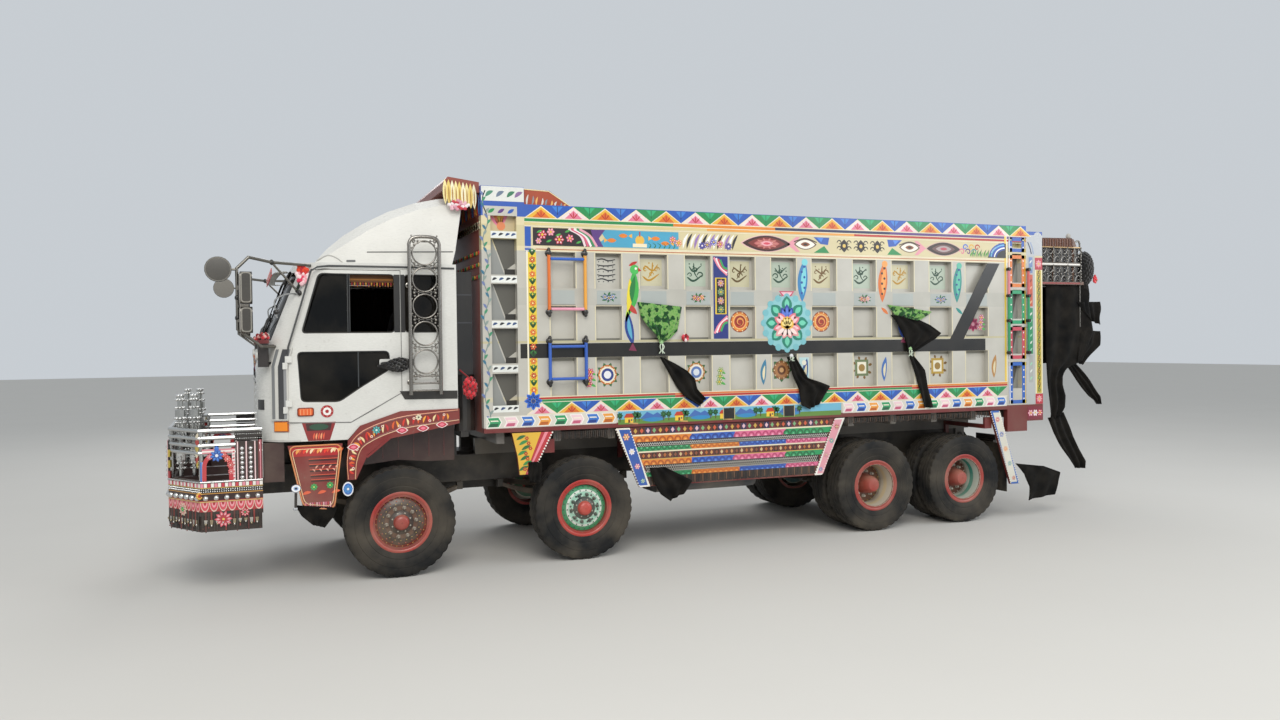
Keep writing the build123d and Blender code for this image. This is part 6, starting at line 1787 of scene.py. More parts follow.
for z in (1966, 2236, 2504, 2764, 3020, 3254):
    for way in (-1, 1):
        for du, dv, r in ((102, 0, 15), (96, 30, 12), (96, -30, 12), (60, 12, 9), (60, -12, 9),
                (122, 58, 9), (122, -58, 9)):
            ball(plated, (middle_x + way * du, LADDER_Y - 6, z + dv), (r, r * 0.8, r), "c8c8c8", 8, 6)
        follow(plated, np.array([(middle_x + way * 124, LADDER_Y, z + 46),
            (middle_x + way * 84, LADDER_Y, z + 8), (middle_x + way * 20, LADDER_Y, z),
            (middle_x - way * 10, LADDER_Y, z)]), circle(5, 6), "c8c8c8", roll=(0, 1, 0))
for z in (1822, 1892, 1962):
    rod(plated, (RAILS[0], LADDER_Y, z), (RAILS[1], LADDER_Y, z), 9, steps=8)
for z in (1900, 2840):
    for x in RAILS:
        turn(plated, (x, -1222, z), (0, -1, 0), [(0, 26), (6, 26), (10, 16), (40, 14)], "c8c8c8", 12)
print("ladder", plated.count, "points")

# %% Mirror heads
for z0, z1 in ((2645, 2930), (2386, 2618)):
    frame_out = rounded([(1365, z0), (1555, z0), (1555, z1), (1365, z1)], 46)
    back = front_flat(0)
    glass_face = rear_flat(-1318)
    plate(trim, glass_face, frame_out * (-1, 1), "1b1b1e", -8, 3)
    inner_out = rounded([(1378, z0 + 12), (1542, z0 + 12), (1542, z1 - 12), (1378, z1 - 12)], 40)
    plate(plated, glass_face, inner_out * (-1, 1), "b9b4ac", 2, 4.5)
    shell = front_flat(-1413)
    plate(trim, shell, rounded([(1368, z0 + 3), (1552, z0 + 3), (1552, z1 - 3), (1368, z1 - 3)], 46),
        "9a968f", -2, 10, 0.08)
    plate(trim, shell, rounded([(1380, z0 + 15), (1540, z0 + 15), (1540, z1 - 15), (1380, z1 - 15)], 40),
        "4b4844", 8, 14, 0.1)
    side_face = side_flat(-1555)
    plate(trim, side_face, rounded([(-1410, z0 + 8), (-1322, z0 + 8), (-1322, z1 - 8), (-1410, z1 - 8)],
        30), "8c887f", -2, 3)
    plate(trim, side_face, rounded([(-1400, z0 + 18), (-1332, z0 + 18), (-1332, z1 - 18), (-1400, z1 - 18)],
        24), "37342f", 2, 4)
    rod(trim, (-1440, -1450, (z0 + z1) / 2), (-1400, -1462, (z0 + z1) / 2), 12, "8a8c8c", 8)
turn(trim, (-1592, -1462, 2950), (0, -1, 0),
    [(-24, 108), (-20, 112), (6, 112), (12, 100), (14, 4)], "1c1c1f", 24)
turn(trim, (-1592, -1476, 2950), (0, -1, 0), [(0, 98), (2, 96), (5, 60), (6, 4)], "4a4742", 24)
for place in ((-1440, -1450, 2700), (-1440, -1450, 2520), (-1144, -1330, 3030), (-900, -1160, 2762)):
    ball(trim, place, (22, 22, 26), "141416", 8, 6)
print("mirrors", trim.count, "points")

# %% Build the cab's trim on its bodies
tassel = Shapes()
for k in range(90):
    t = (k + 0.5) / 90
    a, wide = 2.4 * k, 62 * math.sin(math.pi * t ** 1.3)
    ball(tassel, (-196 + 316 * t, -1262 + 0.5 * wide * math.cos(a), 2066 + 22 * t * t + wide * math.sin(a)),
        (26, 10, 12), ("0c0c0d", "17171a", "1d1a18")[k % 3], 5, 4)
rod(tassel, (100, -1250, 2090), (124, -1250, 2128), 9, "111113", 6)
trim_paint = enamel("cab_trim_paint", None, 0.34, 0.2, 0.1)
lens_plastic = Finish("amber_lens", Transmission_Weight=0.0, Coat_Weight=0.6, Coat_Roughness=0.06)
ribs = lens_plastic.noise(160.0, 2.0)
lens_plastic.set(Base_Color=dusty(lens_plastic, lens_plastic.paint(), 0.15), Roughness=ribs * 0.15 + 0.12)
lens_plastic.bump(ribs, 0.0006, 0.4)
petal_cloth = cloth("flower_cloth", None, 700.0, 0.4)
plated_paint = chrome("plated_ornament", None, 0.14, 0.1)
ladder_paint = chrome("plated_ladder", "8f8b85", 0.16, 0.15)


both(trim).build("cab_trim", trim_paint, "chassis", smooth=40)
both(lamps).build("corner_lamps", lens_plastic.material, "chassis", smooth=40)
ladders = both(plated).build("ladder_ornament", ladder_paint, "chassis", smooth=60)
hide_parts("ladders")
both(flowers).build("cab_flowers", petal_cloth, "chassis", smooth=60)
for side in ("left", "right"):
    way = (lambda s: s) if side == "left" else Shapes.mirrored
    way(door_trim).build(f"door_trim_{side}", trim_paint, f"door_{side}_body", smooth=40)
    way(tassel).build(f"door_tassel_{side}", petal_cloth, f"door_{side}_body", smooth=60)
    way(door_lamps).build(f"door_lamps_{side}", lens_plastic.material, f"door_{side}_body", smooth=40)

# %% [markdown]
# ## Front guard
#
# The guard is a plated cage over a wrapped box. The box is covered row by row: a striped strip, small studs,
# a row of large domes, a scalloped band and a fringe of beads. Every row is the same function called for each
# face of the guard, so the pitch stays even round the corners, as it does on the real one.

# %% Ground colours of the guard by height
guard_bands = Finish("guard_bands", Coat_Weight=0.2)
height = guard_bands.axes()[2]
GUARD_REACH = 2.0  # height in metres where the ramp ends
guard_stops = ((0.0, "241614"), (0.768, "a82a30"), (0.872, "2c1416"), (1.052, "bdbebc"))
guard_coat = guard_bands.bands(height / GUARD_REACH,
    [(at / GUARD_REACH, colour) for at, colour in guard_stops])
plated_part = height > 1.0515
wiping = guard_bands.noise(60.0, 5.0, (1.0, 1.0, 4.0))
guard_bands.set(
    Base_Color=dusty(guard_bands, guard_coat, 0.15), Metallic=plated_part * 1.0,
    Roughness=wiping * 0.18 + 0.34 - plated_part * 0.2,
)
guard_bands.bump(wiping, 0.0003, 0.25)
for place in nodes["front_guard"].material_slots:
    place.material = guard_bands.material
print("guard ground", len(guard_stops), "bands")

# %% Rows round the box
guard_paint, guard_plated = Shapes(), Shapes()
corner_way = unit((285, -450, 0))
guard_faces = (
    (Flat((-1780, -1200, 0), (1, 0, 0), (0, 0, 1)), 529.0),
    (Flat((-2065, -750, 0), corner_way, (0, 0, 1)), 532.7),
    (front_flat(-2065), 750.0),
)


def dome_row(shapes, flat, width, v, radius, pitch, high, colour="d4d4d2"):
    """Domes at an even pitch along a face: a turned cap for each."""
    count = max(1, round(width / pitch))
    for k in range(count):
        start = flat.place([(width * (k + 0.5) / count, v)], 0)[0]
        turn(shapes, start, flat.out, [(0, radius), (high * 0.5, radius * 0.88),
            (high * 0.85, radius * 0.55), (high, radius * 0.2)], colour, 10)


def scallops(shapes, flat, width, top, drop, pitch, high):
    """Half discs hanging side by side: pink in a cream rim, with a red heart."""
    count = max(1, round(width / pitch))
    a = np.linspace(0, math.pi, 10)
    for k in range(count):
        u = width * (k + 0.5) / count
        for j, (share, colour) in enumerate(((1.0, "e8c8b8"), (0.86, "d8485a"),
                (0.55, "f0a0a8"), (0.3, "b02030"))):
            plate(shapes, flat, np.c_[u - width / count / 2 * share * np.cos(a),
                top - drop * share * np.sin(a)], colour, SUNK, high + 0.7 * j)


for flat, width in guard_faces:
    follow(guard_plated, flat.place([(0, 1042), (width, 1042)], 2), circle(9, 6), "d0d0ce")
    count = round(width / 30)
    for k in range(count):
        a, b = width * k / count, width * (k + 1) / count
        box_plate(guard_paint, flat, a + 2, b - 2, 994, 1030,
            ("e890a0", "f4efe6", "c83a4a", "f4efe6")[k % 4], 1.5)
    box_plate(guard_paint, flat, 0, width, 986, 992, "d9b25a", 2.0)
    box_plate(guard_paint, flat, 0, width, 944, 985, "17120f", 1.0)
    dome_row(guard_plated, flat, width, 974, 7, 19, 8, "f0f0ee")
    dome_row(guard_plated, flat, width, 955, 7, 19, 8, "f0f0ee")
    box_plate(guard_paint, flat, 0, width, 934, 942, "c89040", 2.0)
    dome_row(guard_plated, flat, width, 896, 27, 84, 26)
    box_plate(guard_paint, flat, 0, width, 858, 868, "d8b070", 2.0)
    scallops(guard_paint, flat, width, 856, 84, 78, 2.0)
    fringe(guard_paint, flat, 6, width - 6, 772, 150, 24,
        ("1c1412", "5a1c1a", "2a201c", "8a2a24", "181212"), 3.0, 0.22)
    fringe(guard_plated, flat, 18, width - 6, 700, 40, 48, ("c8c4bc", "a89a80"), 6.0, 0.3)
side_face, corner_face, front_face_flat = (f for f, _ in guard_faces)
rosette(guard_paint, side_face, 190, 702, 76, ("e0556a", "f4e2d8", "f6b8bc"), 9, 10)
rosette(guard_paint, side_face, 190, 702, 44, ("c02a3c", "f0d060"), 12, 8, 0.3)
rosette(guard_paint, side_face, 372, 752, 42, ("c8404e", "2a8a5a", "f0c0c0"), 8, 8)
rosette(guard_paint, corner_face, 250, 780, 62, ("e8d8c0", "1f9a4c", "d8485a"), 8, 10)
rosette(guard_paint, corner_face, 250, 780, 26, ("2aa85c", "c8e84a"), 11, 6)
rosette(guard_paint, front_face_flat, 0, 760, 90, ("e0556a", "f4e2d8", "f6b8bc"), 8, 10)
rosette(guard_paint, front_face_flat, 420, 770, 60, ("e8d8c0", "1f9a4c", "d8485a"), 8, 8)
for k in range(9):
    a = 2 * math.pi * k / 9
    ball(guard_paint, (-1786 + 20 * math.cos(a), -1204 + 14 * math.cos(a), 922 + 24 * math.sin(a)),
        11, "e0a83a", 6, 5)
ball(guard_paint, (-1790, -1208, 922), 14, "c8302a", 8, 6)
print("guard rows", guard_paint.count, guard_plated.count, "points")


# %% The cage: stud panels, arch, flowers and turned posts
def stud_panel(flat, u0, u1, z0, z1, bars, columns):
    """A dark plate with upright painted bars and columns of domes between them."""
    box_plate(guard_paint, flat, u0, u1, z0, z1, "241517", 1.0, -8)
    for u in bars:
        box_plate(guard_paint, flat, u - 6, u + 6, z0, z1, "e2a0aa", 5.0)
        box_plate(guard_paint, flat, u - 2.5, u + 2.5, z0, z1, "f6f2ea", 7.0)
    for u in columns:
        for k in range(int((z1 - z0) / 44)):
            start = flat.place([(u, z0 + 44 * (k + 0.5))], 0)[0]
            turn(guard_plated, start, flat.out, [(0, 21), (10, 19), (18, 12), (22, 4)], "dcdcda", 10)


stud_panel(side_face, 300, 492, 1050, 1400, (318, 392, 466), (355, 429))
for u, colour in ((498, "6a1c24"), (512, "e08a96"), (522, "7a2430")):
    box_plate(guard_paint, side_face, u - 6, u + 6, 1050, 1440, colour, 3.0, -8)
box_plate(guard_paint, side_face, 296, 529, 1410, 1486, "1a1416", 3.0, -6)
for k in range(15):
    for v in (1428, 1468):
        ball(guard_plated, side_face.place([(304 + 15.5 * k, v)], 4)[0], (5, 5, 5), "ecece8", 6, 4)
box_plate(guard_paint, side_face, 270, 298, 1050, 1330, "f0e4e0", 2.0, -8)
for k in range(9):
    leaf(guard_paint, side_face, (272, 1064 + 30 * k), (296, 1074 + 30 * k), 14,
        ("c83a4a", "e890a0")[k % 2], 3.5, 0, 5)
a = np.linspace(-0.15, math.pi * 0.98, 22)
arch_line = np.r_[[(262, 1052)], np.c_[150 + 112 * np.cos(a), 1180 + 116 * np.sin(a)], [(36, 1052)]]
follow(guard_paint, side_face.place(arch_line, 0), np.array([(-18, -8), (18, -8), (18, 4), (-18, 4)]),
    "c4353f", roll=side_face.out)
box_plate(guard_paint, side_face, 20, 298, 1300, 1340, "e08a96", 1.0, -8)
box_plate(guard_paint, side_face, 20, 298, 1312, 1326, "f6f0e8", 2.5, -8)
for k, (u, v, r, tone) in enumerate(((232, 1246, 34, "e04a44"), (256, 1190, 34, "c82a34"),
        (262, 1130, 30, "e0606a"), (200, 1290, 30, "d83a3a"), (84, 1270, 28, "e0708a"))):
    rosette(guard_paint, side_face, u, v, r, (tone, "f0c8c0", "f4a8a0"), 6 + k % 2, 8, k)
rosette(guard_paint, side_face, 143, 1281, 58, ("1f5fc0", "f0f0f4", "4a90e0"), 9, 8, 0.2)
ball(guard_paint, side_face.place([(143, 1340)], 8)[0], (20, 10, 26), "2a70d0", 8, 6)
for k in range(4):
    box_plate(guard_paint, side_face, 4 + 12 * k, 15 + 12 * k, 1050, 1226,
        ("2a6ac0", "8ab8ec", "1c4a9a", "6aa2e4")[k], 3.0, -8)
for k, (v, r) in enumerate(((1200, 16), (1240, 20), (1290, 24), (1345, 26), (1400, 24), (1450, 18))):
    leaf(guard_paint, corner_face, (500 - 10 * math.sin(k), v - 30), (512, v + 40), 2 * r,
        ("c8b04a", "b8322e", "e8dcc0")[k % 3], 3 + 0.6 * k, 10)
for z in (1080, 1180, 1280):
    box_plate(guard_paint, corner_face, 0, 26, z - 34, z + 34,
        ("c8b04a", "a82a30", "c8b04a")[z // 100 % 3], 2.0, -6)
stud_panel(front_face_flat, 560, 750, 1050, 1400, (578, 655, 732), (617, 693))
panel_arch = np.r_[[(-250, 1052), (250, 1052)],
    np.c_[250 * np.cos(np.linspace(0, math.pi, 20)), 1330 + 160 * np.sin(np.linspace(0, math.pi, 20))]]
plate(guard_paint, front_face_flat, panel_arch, "e8c84a", -8, 1.0)
plate(guard_paint, front_face_flat, (panel_arch - (0, 1260)) * 0.92 + (0, 1256), "a82430", -8, 2.0)
rosette(guard_paint, front_face_flat, 0, 1270, 150, ("2a62b8", "f0d050", "e8e8f0"), 3.5, 12)
rosette(guard_paint, front_face_flat, 0, 1270, 84, ("d8404e", "f4ecd8", "f0a0a8"), 6, 10, 0.2)
for k in range(14):
    u, v = panel_arch[1 + k] * (1, 1) if k == 0 else panel_arch[2 + int(k * 1.35)]
    ball(guard_plated, front_face_flat.place([(u * 0.96, v - 6)], 4)[0], (10, 10, 10), "e0e0dc", 8, 5)
for x, y in ((-1956, -700), (-1837, -700)):
    for z, reach, size, count in ((1812, 24, 17, 6), (1776, 34, 15, 8), (1700, 38, 13, 8),
            (1600, 44, 16, 8), (1560, 40, 12, 8), (1440, 30, 11, 7), (1180, 40, 15, 8), (1130, 36, 12, 8)):
        for k in range(count):
            a = 2 * math.pi * k / count
            ball(guard_plated, (x + reach * math.cos(a), y + reach * math.sin(a), z), size, "e0e0de", 7, 5)
    for k in range(6):
        a = 2 * math.pi * k / 6
        rod(guard_plated, (x + 30 * math.cos(a), y + 30 * math.sin(a), 1440),
            (x + 30 * math.cos(a), y + 30 * math.sin(a), 1570), 5, "dadad8", 6)
    block_shape(guard_plated, (x - 46, y - 46, 1210), (x + 46, y + 46, 1300), "d4d4d2")
    for z in (1232, 1278):
        for k in range(12):
            a = 2 * math.pi * k / 12
            ball(guard_plated, (x + 50 * math.cos(a), y + 50 * math.sin(a), z), 9, "f0f0ee", 6, 4)
print("cage", guard_paint.count, guard_plated.count, "points")
both(guard_paint).build("guard_ornament", trim_paint, "chassis")
both(guard_plated).build("guard_studs", plated_paint, "chassis", smooth=60)

# %% [markdown]
# ## Painted steel below the cab
#
# The wheel arch band and the step panel are red sheets, brushed with scrolls in orange and cream. A brush
# stroke is a narrow leaf that leans, so one row of leaves with changing lean reads as hand-painted
# scrollwork.

# %% Arch band, step panel and sill
low_red, panel_face = Shapes(), side_flat(-1240)
BAND_LINE = smooth_path([(-464, 996, 0), (-458, 1180, 0), (-400, 1335, 0), (-230, 1440, 0), (30, 1515, 0),
    (300, 1545, 0), (560, 1568, 0)], 34)[:, :2]
BAND_WIDTH = np.interp(np.arange(34), (0, 8, 14, 33), (74, 120, 150, 118))
lean = np.gradient(BAND_LINE, axis=0)
across_band = np.c_[-lean[:, 1], lean[:, 0]] / np.linalg.norm(lean, axis=1)[:, None]
for share, colour, size in ((0.42, "e7a07a", 4.5), (-0.42, "e0b48a", 4.5),
        (0.34, "7a1416", 4), (-0.34, "7a1416", 4)):
    follow(low_red, panel_face.place(BAND_LINE + across_band * (BAND_WIDTH * share)[:, None], 1),
        circle(size, 5), colour, roll=panel_face.out)
for k in range(2, 32):
    p, w, n = BAND_LINE[k], BAND_WIDTH[k], across_band[k]
    ahead = lean[k] / np.linalg.norm(lean[k])
    tone = ("e05a24", "f0a23a", "d8301e", "f0d8a0", "c81f22")[k % 5]
    leaf(low_red, panel_face, p - n * w * 0.28 - ahead * 16, p + n * w * 0.26 + ahead * 20 * (-1) ** k, 20,
        tone, 2 + 0.3 * (k % 3), 8 * (-1) ** k, 7)
    if k % 3 == 0:
        disc(low_red, panel_face, *(p + n * w * 0.16 * (-1) ** k), 13, "f2e6d2", 3.4, 8)
        disc(low_red, panel_face, *(p + n * w * 0.16 * (-1) ** k), 7, "b02a24", 4.2, 6)
rosette(low_red, panel_face, -230, 1453, 44, ("1f8a8c", "d8f0e8", "7ac8c4"), 4.5, 8)
rosette(low_red, panel_face, 170, 1560, 34, ("e8e0c0", "30201c"), 4.5, 7)
for u, v in ((10, 1440), (211, 1452), (395, 1480), (-445, 1300)):
    diamond = np.array([(-60, 0), (-34, 22), (0, 34), (34, 22), (60, 0), (34, -22), (0, -34), (-34, -22)])
    for j, (share, colour) in enumerate(((1.0, "f2dcd8"), (0.8, "c42a44"), (0.45, "e8788c"))):
        plate(low_red, panel_face, diamond * share + (u, v), colour, SUNK, 4.5 + 0.8 * j)
PANEL = np.array([(-1026, 1332), (-550, 1334), (-628, 723), (-902, 761)], float)
follow(low_red, panel_face.place(rounded(PANEL, 70), 1.5), circle(7, 6), "e0905a", True, panel_face.out)
follow(low_red, panel_face.place(rounded(PANEL.mean(0) + (PANEL - PANEL.mean(0)) * 0.9, 60), 1.5),
    circle(4, 6), "f0d0a0", True, panel_face.out)
plate(low_red, panel_face, [(-1010, 1320), (-566, 1322), (-580, 1236), (-985, 1236)], "b01c1e", SUNK, 2)
for k in range(7):
    u = -960 + 62 * k
    leaf(low_red, panel_face, (u, 1256), (u + 40, 1304), 26, ("f0a050", "e8301e", "f4d8b0")[k % 3], 3.5, 10)
    leaf(low_red, panel_face, (u + 52, 1300), (u + 30, 1262), 18, ("d85a2a", "f0c890")[k % 2], 3.8, -8)
for v in (1200, 1150, 1100, 1050, 1006):
    box_plate(low_red, panel_face, -850 + (1200 - v) * 0.1,
        -590 - (1200 - v) * 0.1, v - 14, v + 2, "3a0e10", 1.2)
    box_plate(low_red, panel_face, -850 + (1200 - v) * 0.1,
        -590 - (1200 - v) * 0.1, v + 4, v + 10, "e05a3a", 3.0)
for k in range(8):
    u = -820 + 30 * k
    leaf(low_red, panel_face, (u, 1112), (u + 26, 1146 if k % 2 else 1086), 14, "e8a890", 4.0, 6)
for u, v in ((-807, 945), (-663, 954)):
    rosette(low_red, panel_face, u, v, 36, ("1f9a4a", "c8e070", "5ac070"), 3.5, 8)
for u in (-870, -735, -610):
    leaf(low_red, panel_face, (u - 40, 880), (u + 40, 900), 30, "e8603a", 3.0, 6)
fringe(low_red, panel_face, -892, -640, 800, 52, 20, (PINK, "c8384a", "f0b8c0"), 3.5, 0.1)
for k, (radius, colour) in enumerate(((46, "2a2c58"), (40, "f4f6f8"), (22, "9ab4e0"), (12, "15161c"))):
    disc(low_red, panel_face, -966, 942, radius, colour, 8 + 1.5 * k, 20, 0.84)
rod(low_red, (-968, -1246, 900), (-972, -1246, 752), 13, "14161c", 8)
ball(low_red, (-972, -1246, 752), (24, 16, 20), "b8bcc0", 8, 5)
for radius, colour, high in ((72, "eef0f4", 5), (58, "1f62b8", 6.5)):
    disc(low_red, panel_face, -501, 906, radius * 0.7, colour, high, 18, 1.35)
rosette(low_red, panel_face, -501, 906, 46, ("3a8ad0", "f4f4f0"), 8, 8)
TOP_PANEL = [(-904, 1548), (-600, 1548), (-655, 1376), (-850, 1376)]
plate(low_red, cab, TOP_PANEL, "8c1c20", SUNK, 1.5)
plate(low_red, cab, [(-870, 1540), (-636, 1540), (-650, 1470), (-858, 1470)], "3a1014", SUNK, 2.2)
plate(low_red, cab, circle(86, 20, -753, 1505, 0.34), "1c4a34", SUNK, 3.5)
for k in range(5):
    leaf(low_red, cab, (-800 + 22 * k, 1384), (-790 + 22 * k, 1452), 16, ("e0583a", "f0a070")[k % 2], 3, 4)
print("painted steel", low_red.count, "points")

# %% The fairing's lines and the crown
FAIR = side_flat(-1130)
sill = Shapes()
plate(sill, cab, [(-4, 1818), (556, 1808), (556, 1728), (44, 1736)], "141517", SUNK, 4)
follow(sill, FAIR.place([(-278, 3162), (551, 3184)], 1), circle(5, 6), "4a4c4c", roll=FAIR.out)
follow(sill, FAIR.place(smooth_path([(-740, 3070, 0), (-640, 3122, 0), (-560, 3100, 0), (-500, 3052, 0)],
    10)[:, :2], 0.5), circle(6, 6), "b8b6b0", roll=FAIR.out)
plate(sill, FAIR, rounded([(-470, 3062), (-386, 3064), (-386, 3084), (-470, 3082)], 8), "6a6c6c", SUNK, 3)
for z in (2480, 2760):
    box_plate(sill, side_flat(-1081), 588, 747, z - 6, z + 6, "3a3d44", 2)
crown = Shapes()
CROWN = side_flat(-1182)
for k in range(9):
    u = 474 + 36 * k
    top = 3896 - 5 * k
    leaf(crown, CROWN, (u, top - 250), (u - 6, top), 46,
        ("f2e2a0", "e8cc70", "f4ecc8")[k % 3], 12 + 2 * (k % 2))
    leaf(crown, CROWN, (u, top - 230), (u - 4, top - 60), 12, "a87a30", 15 + 2 * (k % 2))
for k in range(22):
    a, r = 2.4 * k, 17.0 * math.sqrt(k)
    ball(crown, (600 + r * math.cos(a) * 1.3, -1190 - 1.5 * (k % 4), 3640 + 0.62 * r * math.sin(a)),
        (22, 16, 18), ("e8b8c4", "f4e8e8", "c83a4a", "d898a8")[k % 4], 7, 5)
for k in range(24):
    y = -1150 + 100 * k
    leaf(crown, front_flat(806), (-y - 40, 3560), (-y, 3760), 60, ("c8342e", "f0a83a", "2a6ab0")[k % 3], 4)
    rosette(crown, front_flat(806), -y - 50, 3450, 44, ("e8e0c0", "c83030"), 4, 6)
for row in range(3):
    for k in range(26):
        ball(crown, (806, -1140 + 91 * k, 3180 - 120 * row), (8, 22, 22),
            ("c83030", "e0a83a", "2a8a5a")[(k + row) % 3], 7, 5)
PATCH = side_flat(-1200.5)
gusset = Shapes()
plate(gusset, PATCH, [(1262, 3656), (1262, 3830), (1534, 3820), (1786, 3656)], "a5472a", SUNK, 1.5)
for k in range(9):
    u = 1296 + 50 * k
    leaf(gusset, PATCH, (u, 3664), (u + 18, 3780 - 10 * k), 20,
        ("d8d4cc", "8a8e94", "e8b060")[k % 3], 2.5, 8 * (-1) ** k)
follow(gusset, PATCH.place([(1262, 3828), (1530, 3818), (1780, 3660)], 1),
    circle(6, 6), "f0d8a0", roll=PATCH.out)
pompon = Shapes()
for k in range(40):
    a, z = 2.4 * k, 1 - 2 * (k + 0.5) / 40
    r = math.sqrt(1 - z * z)
    ball(pompon, (697 + 58 * r * math.cos(a), -1160 + 50 * r * math.sin(a), 1828 + 96 * z), (22, 20, 24),
        ("c01e2a", "d83a44", "9a1420")[k % 3], 6, 4)
rod(pompon, (697, -1160, 1920), (600, -1120, 2010), 8, "8a1a20", 6)
print("crown", crown.count, gusset.count, pompon.count, "points")

# %% Grab bars
bars = Shapes()
BAR_Y = -1284.0
for z0, z1, tones in ((2552, 3213, ("e0701e", "e8a23a", "2a62c0", "e8a0b4")),
        (1838, 2318, ("2a5cb8", "2a5cb8", "2a5cb8", "2a5cb8"))):
    for x, tone in ((1496, tones[0]), (1884, tones[1])):
        rod(bars, (x, BAR_Y, z0 + 22), (x, BAR_Y, z1 - 22), 17.5, tone, 12)
        for z in (z0 + 30, z1 - 30):
            turn(bars, (x, -1250, z), (0, -1, 0),
                [(0, 34), (8, 34), (12, 20), (30, 20), (38, 24), (52, 24), (58, 12)], "161616", 14)
        ball(bars, (x, BAR_Y, z1), (20, 20, 24), "161616", 10, 6)
        ball(bars, (x, BAR_Y, z0), (20, 20, 24), "161616", 10, 6)
    for z, tone in ((z1 - 90, tones[2]), (z0 + 60, tones[3])):
        rod(bars, (1513, BAR_Y, z), (1867, BAR_Y, z), 16, tone, 12)
print("grab bars", bars.count, "points")
both(low_red).build("scroll_ornament", trim_paint, "chassis")
both(sill).build("cab_lines", trim_paint, "chassis", smooth=40)
both(crown).build("crown_ornament", trim_paint, "bed")
both(gusset).build("gusset_ornament", body_gloss, "bed")
both(pompon).build("cab_pompons", petal_cloth, "chassis", smooth=60)
both(bars).build("grab_bar_colours", trim_paint, "bed", smooth=40)

# %% [markdown]
# ## Rear rack
#
# The rack is two tiers of pierced baskets under a ribbed roof. Real filigree is bent wire with beads at each
# crossing; here one unit of wire loops and beads is repeated along every side, so the wire stays open work as
# on the real one, and a dark plate just behind it is painted shade inside the baskets.

# %% Filigree baskets, roof ribs and the tailgate's back
rack_metal, rack_colour = Shapes(), Shapes()


def filigree(flat, width, z0, z1, pitch):
    """Units of two wire loops, an upright and beads; the loops are half circles facing up and down."""
    count = max(1, round(width / pitch))
    a = np.linspace(0, math.pi, 7)
    tall = z1 - z0
    for z in (z0, z1):
        follow(rack_metal, flat.place([(0, z), (width, z)], 0), circle(8, 6), "c8c8c6")
    for k in range(count):
        u, r = width * (k + 0.5) / count, width / count * 0.46
        for base, way in ((z0, 1), (z1, -1)):
            follow(rack_metal, flat.place(np.c_[u - r * np.cos(a), base + way * tall * 0.42 * np.sin(a)],
                4), circle(4.5, 5), "d0d0ce", roll=flat.out)
            ball(rack_metal, flat.place([(u, base + way * tall * 0.42)], 6)[0], 12, "e0e0de", 7, 5)
            ball(rack_metal, flat.place([(u, base + way * tall * 0.16)], 6)[0], 9, "b0b0b0", 6, 4)
        rod(rack_metal, flat.place([(u - r, z0)], 2)[0], flat.place([(u - r, z1)], 2)[0], 5, "c0c0be", 6)
        ball(rack_metal, flat.place([(u - r, (z0 + z1) / 2)], 5)[0], 14, "e4e4e0", 7, 5)


for z0, z1 in ((2984, 3190), (3236, 3424)):
    filigree(Flat((7860, -1130, 0), (1, 0, 0), (0, 0, 1)), 950, z0, z1, 118)
    filigree(Flat((8806, -1130, 0), (0, 1, 0), (0, 0, 1)), 1130, z0, z1, 125)
# Dark plates just behind the filigree are painted shade inside the baskets.
for z0, z1 in ((2992, 3184), (3240, 3420)):
    box_plate(rack_colour, side_flat(-1104), 7870, 8780, z0, z1, "1d1a1b", 1.5, -1.5)
    box_plate(rack_colour, rear_flat(8786), -1100, 0.5, z0, z1, "1d1a1b", 1.5, -1.5)
for u in (7866, 8090, 8330, 8570, 8800):
    for k in range(12):
        ball(rack_metal, (u, -1136, 3010 + 38 * k), 13, "dadad8", 6, 4)
for k in range(28):
    u = 7866 + 29 * k
    rod(rack_colour, (u, -1138, 3438), (u + 3, -1134, 3530 + 0.017 * (u - 7850)), 9,
        ("7a4e3a", "5c3628")[k % 2], 6)
    follow(rack_colour, np.array([(u, -1128, 3538 + 0.017 * (u - 7850)),
        (u, 0, 3544 + 0.017 * (u - 7850))]), circle(8, 5), ("7a4e3a", "5c3628")[k % 2])
for v, tone in ((3432, "d8b070"), (3214, "e8e4dc"), (2970, "8a2a24")):
    box_plate(rack_colour, side_flat(-1131), 7856, 8784, v - 12, v + 10, tone, 4)
    box_plate(rack_colour, rear_flat(8790), -1130, 0.5, v - 12, v + 10, tone, 4)
ball(rack_colour, (8640, -1080, 3584), (34, 30, 40), "b8b4ac", 8, 6)
tube = smooth_path([(8690, -1080, 3480), (8740, -1080, 3500), (8800, -1080, 3530), (8832, -1080, 3500),
    (8836, -1080, 3440), (8838, -1080, 3400)], 16)
follow(rack_metal, tube, circle(12, 8), "9a9a96")
rod(rack_metal, (8838, -1080, 3140), (8838, -1080, 2400), 6, "8a8a86", 6)
GATE = rear_flat(7850)
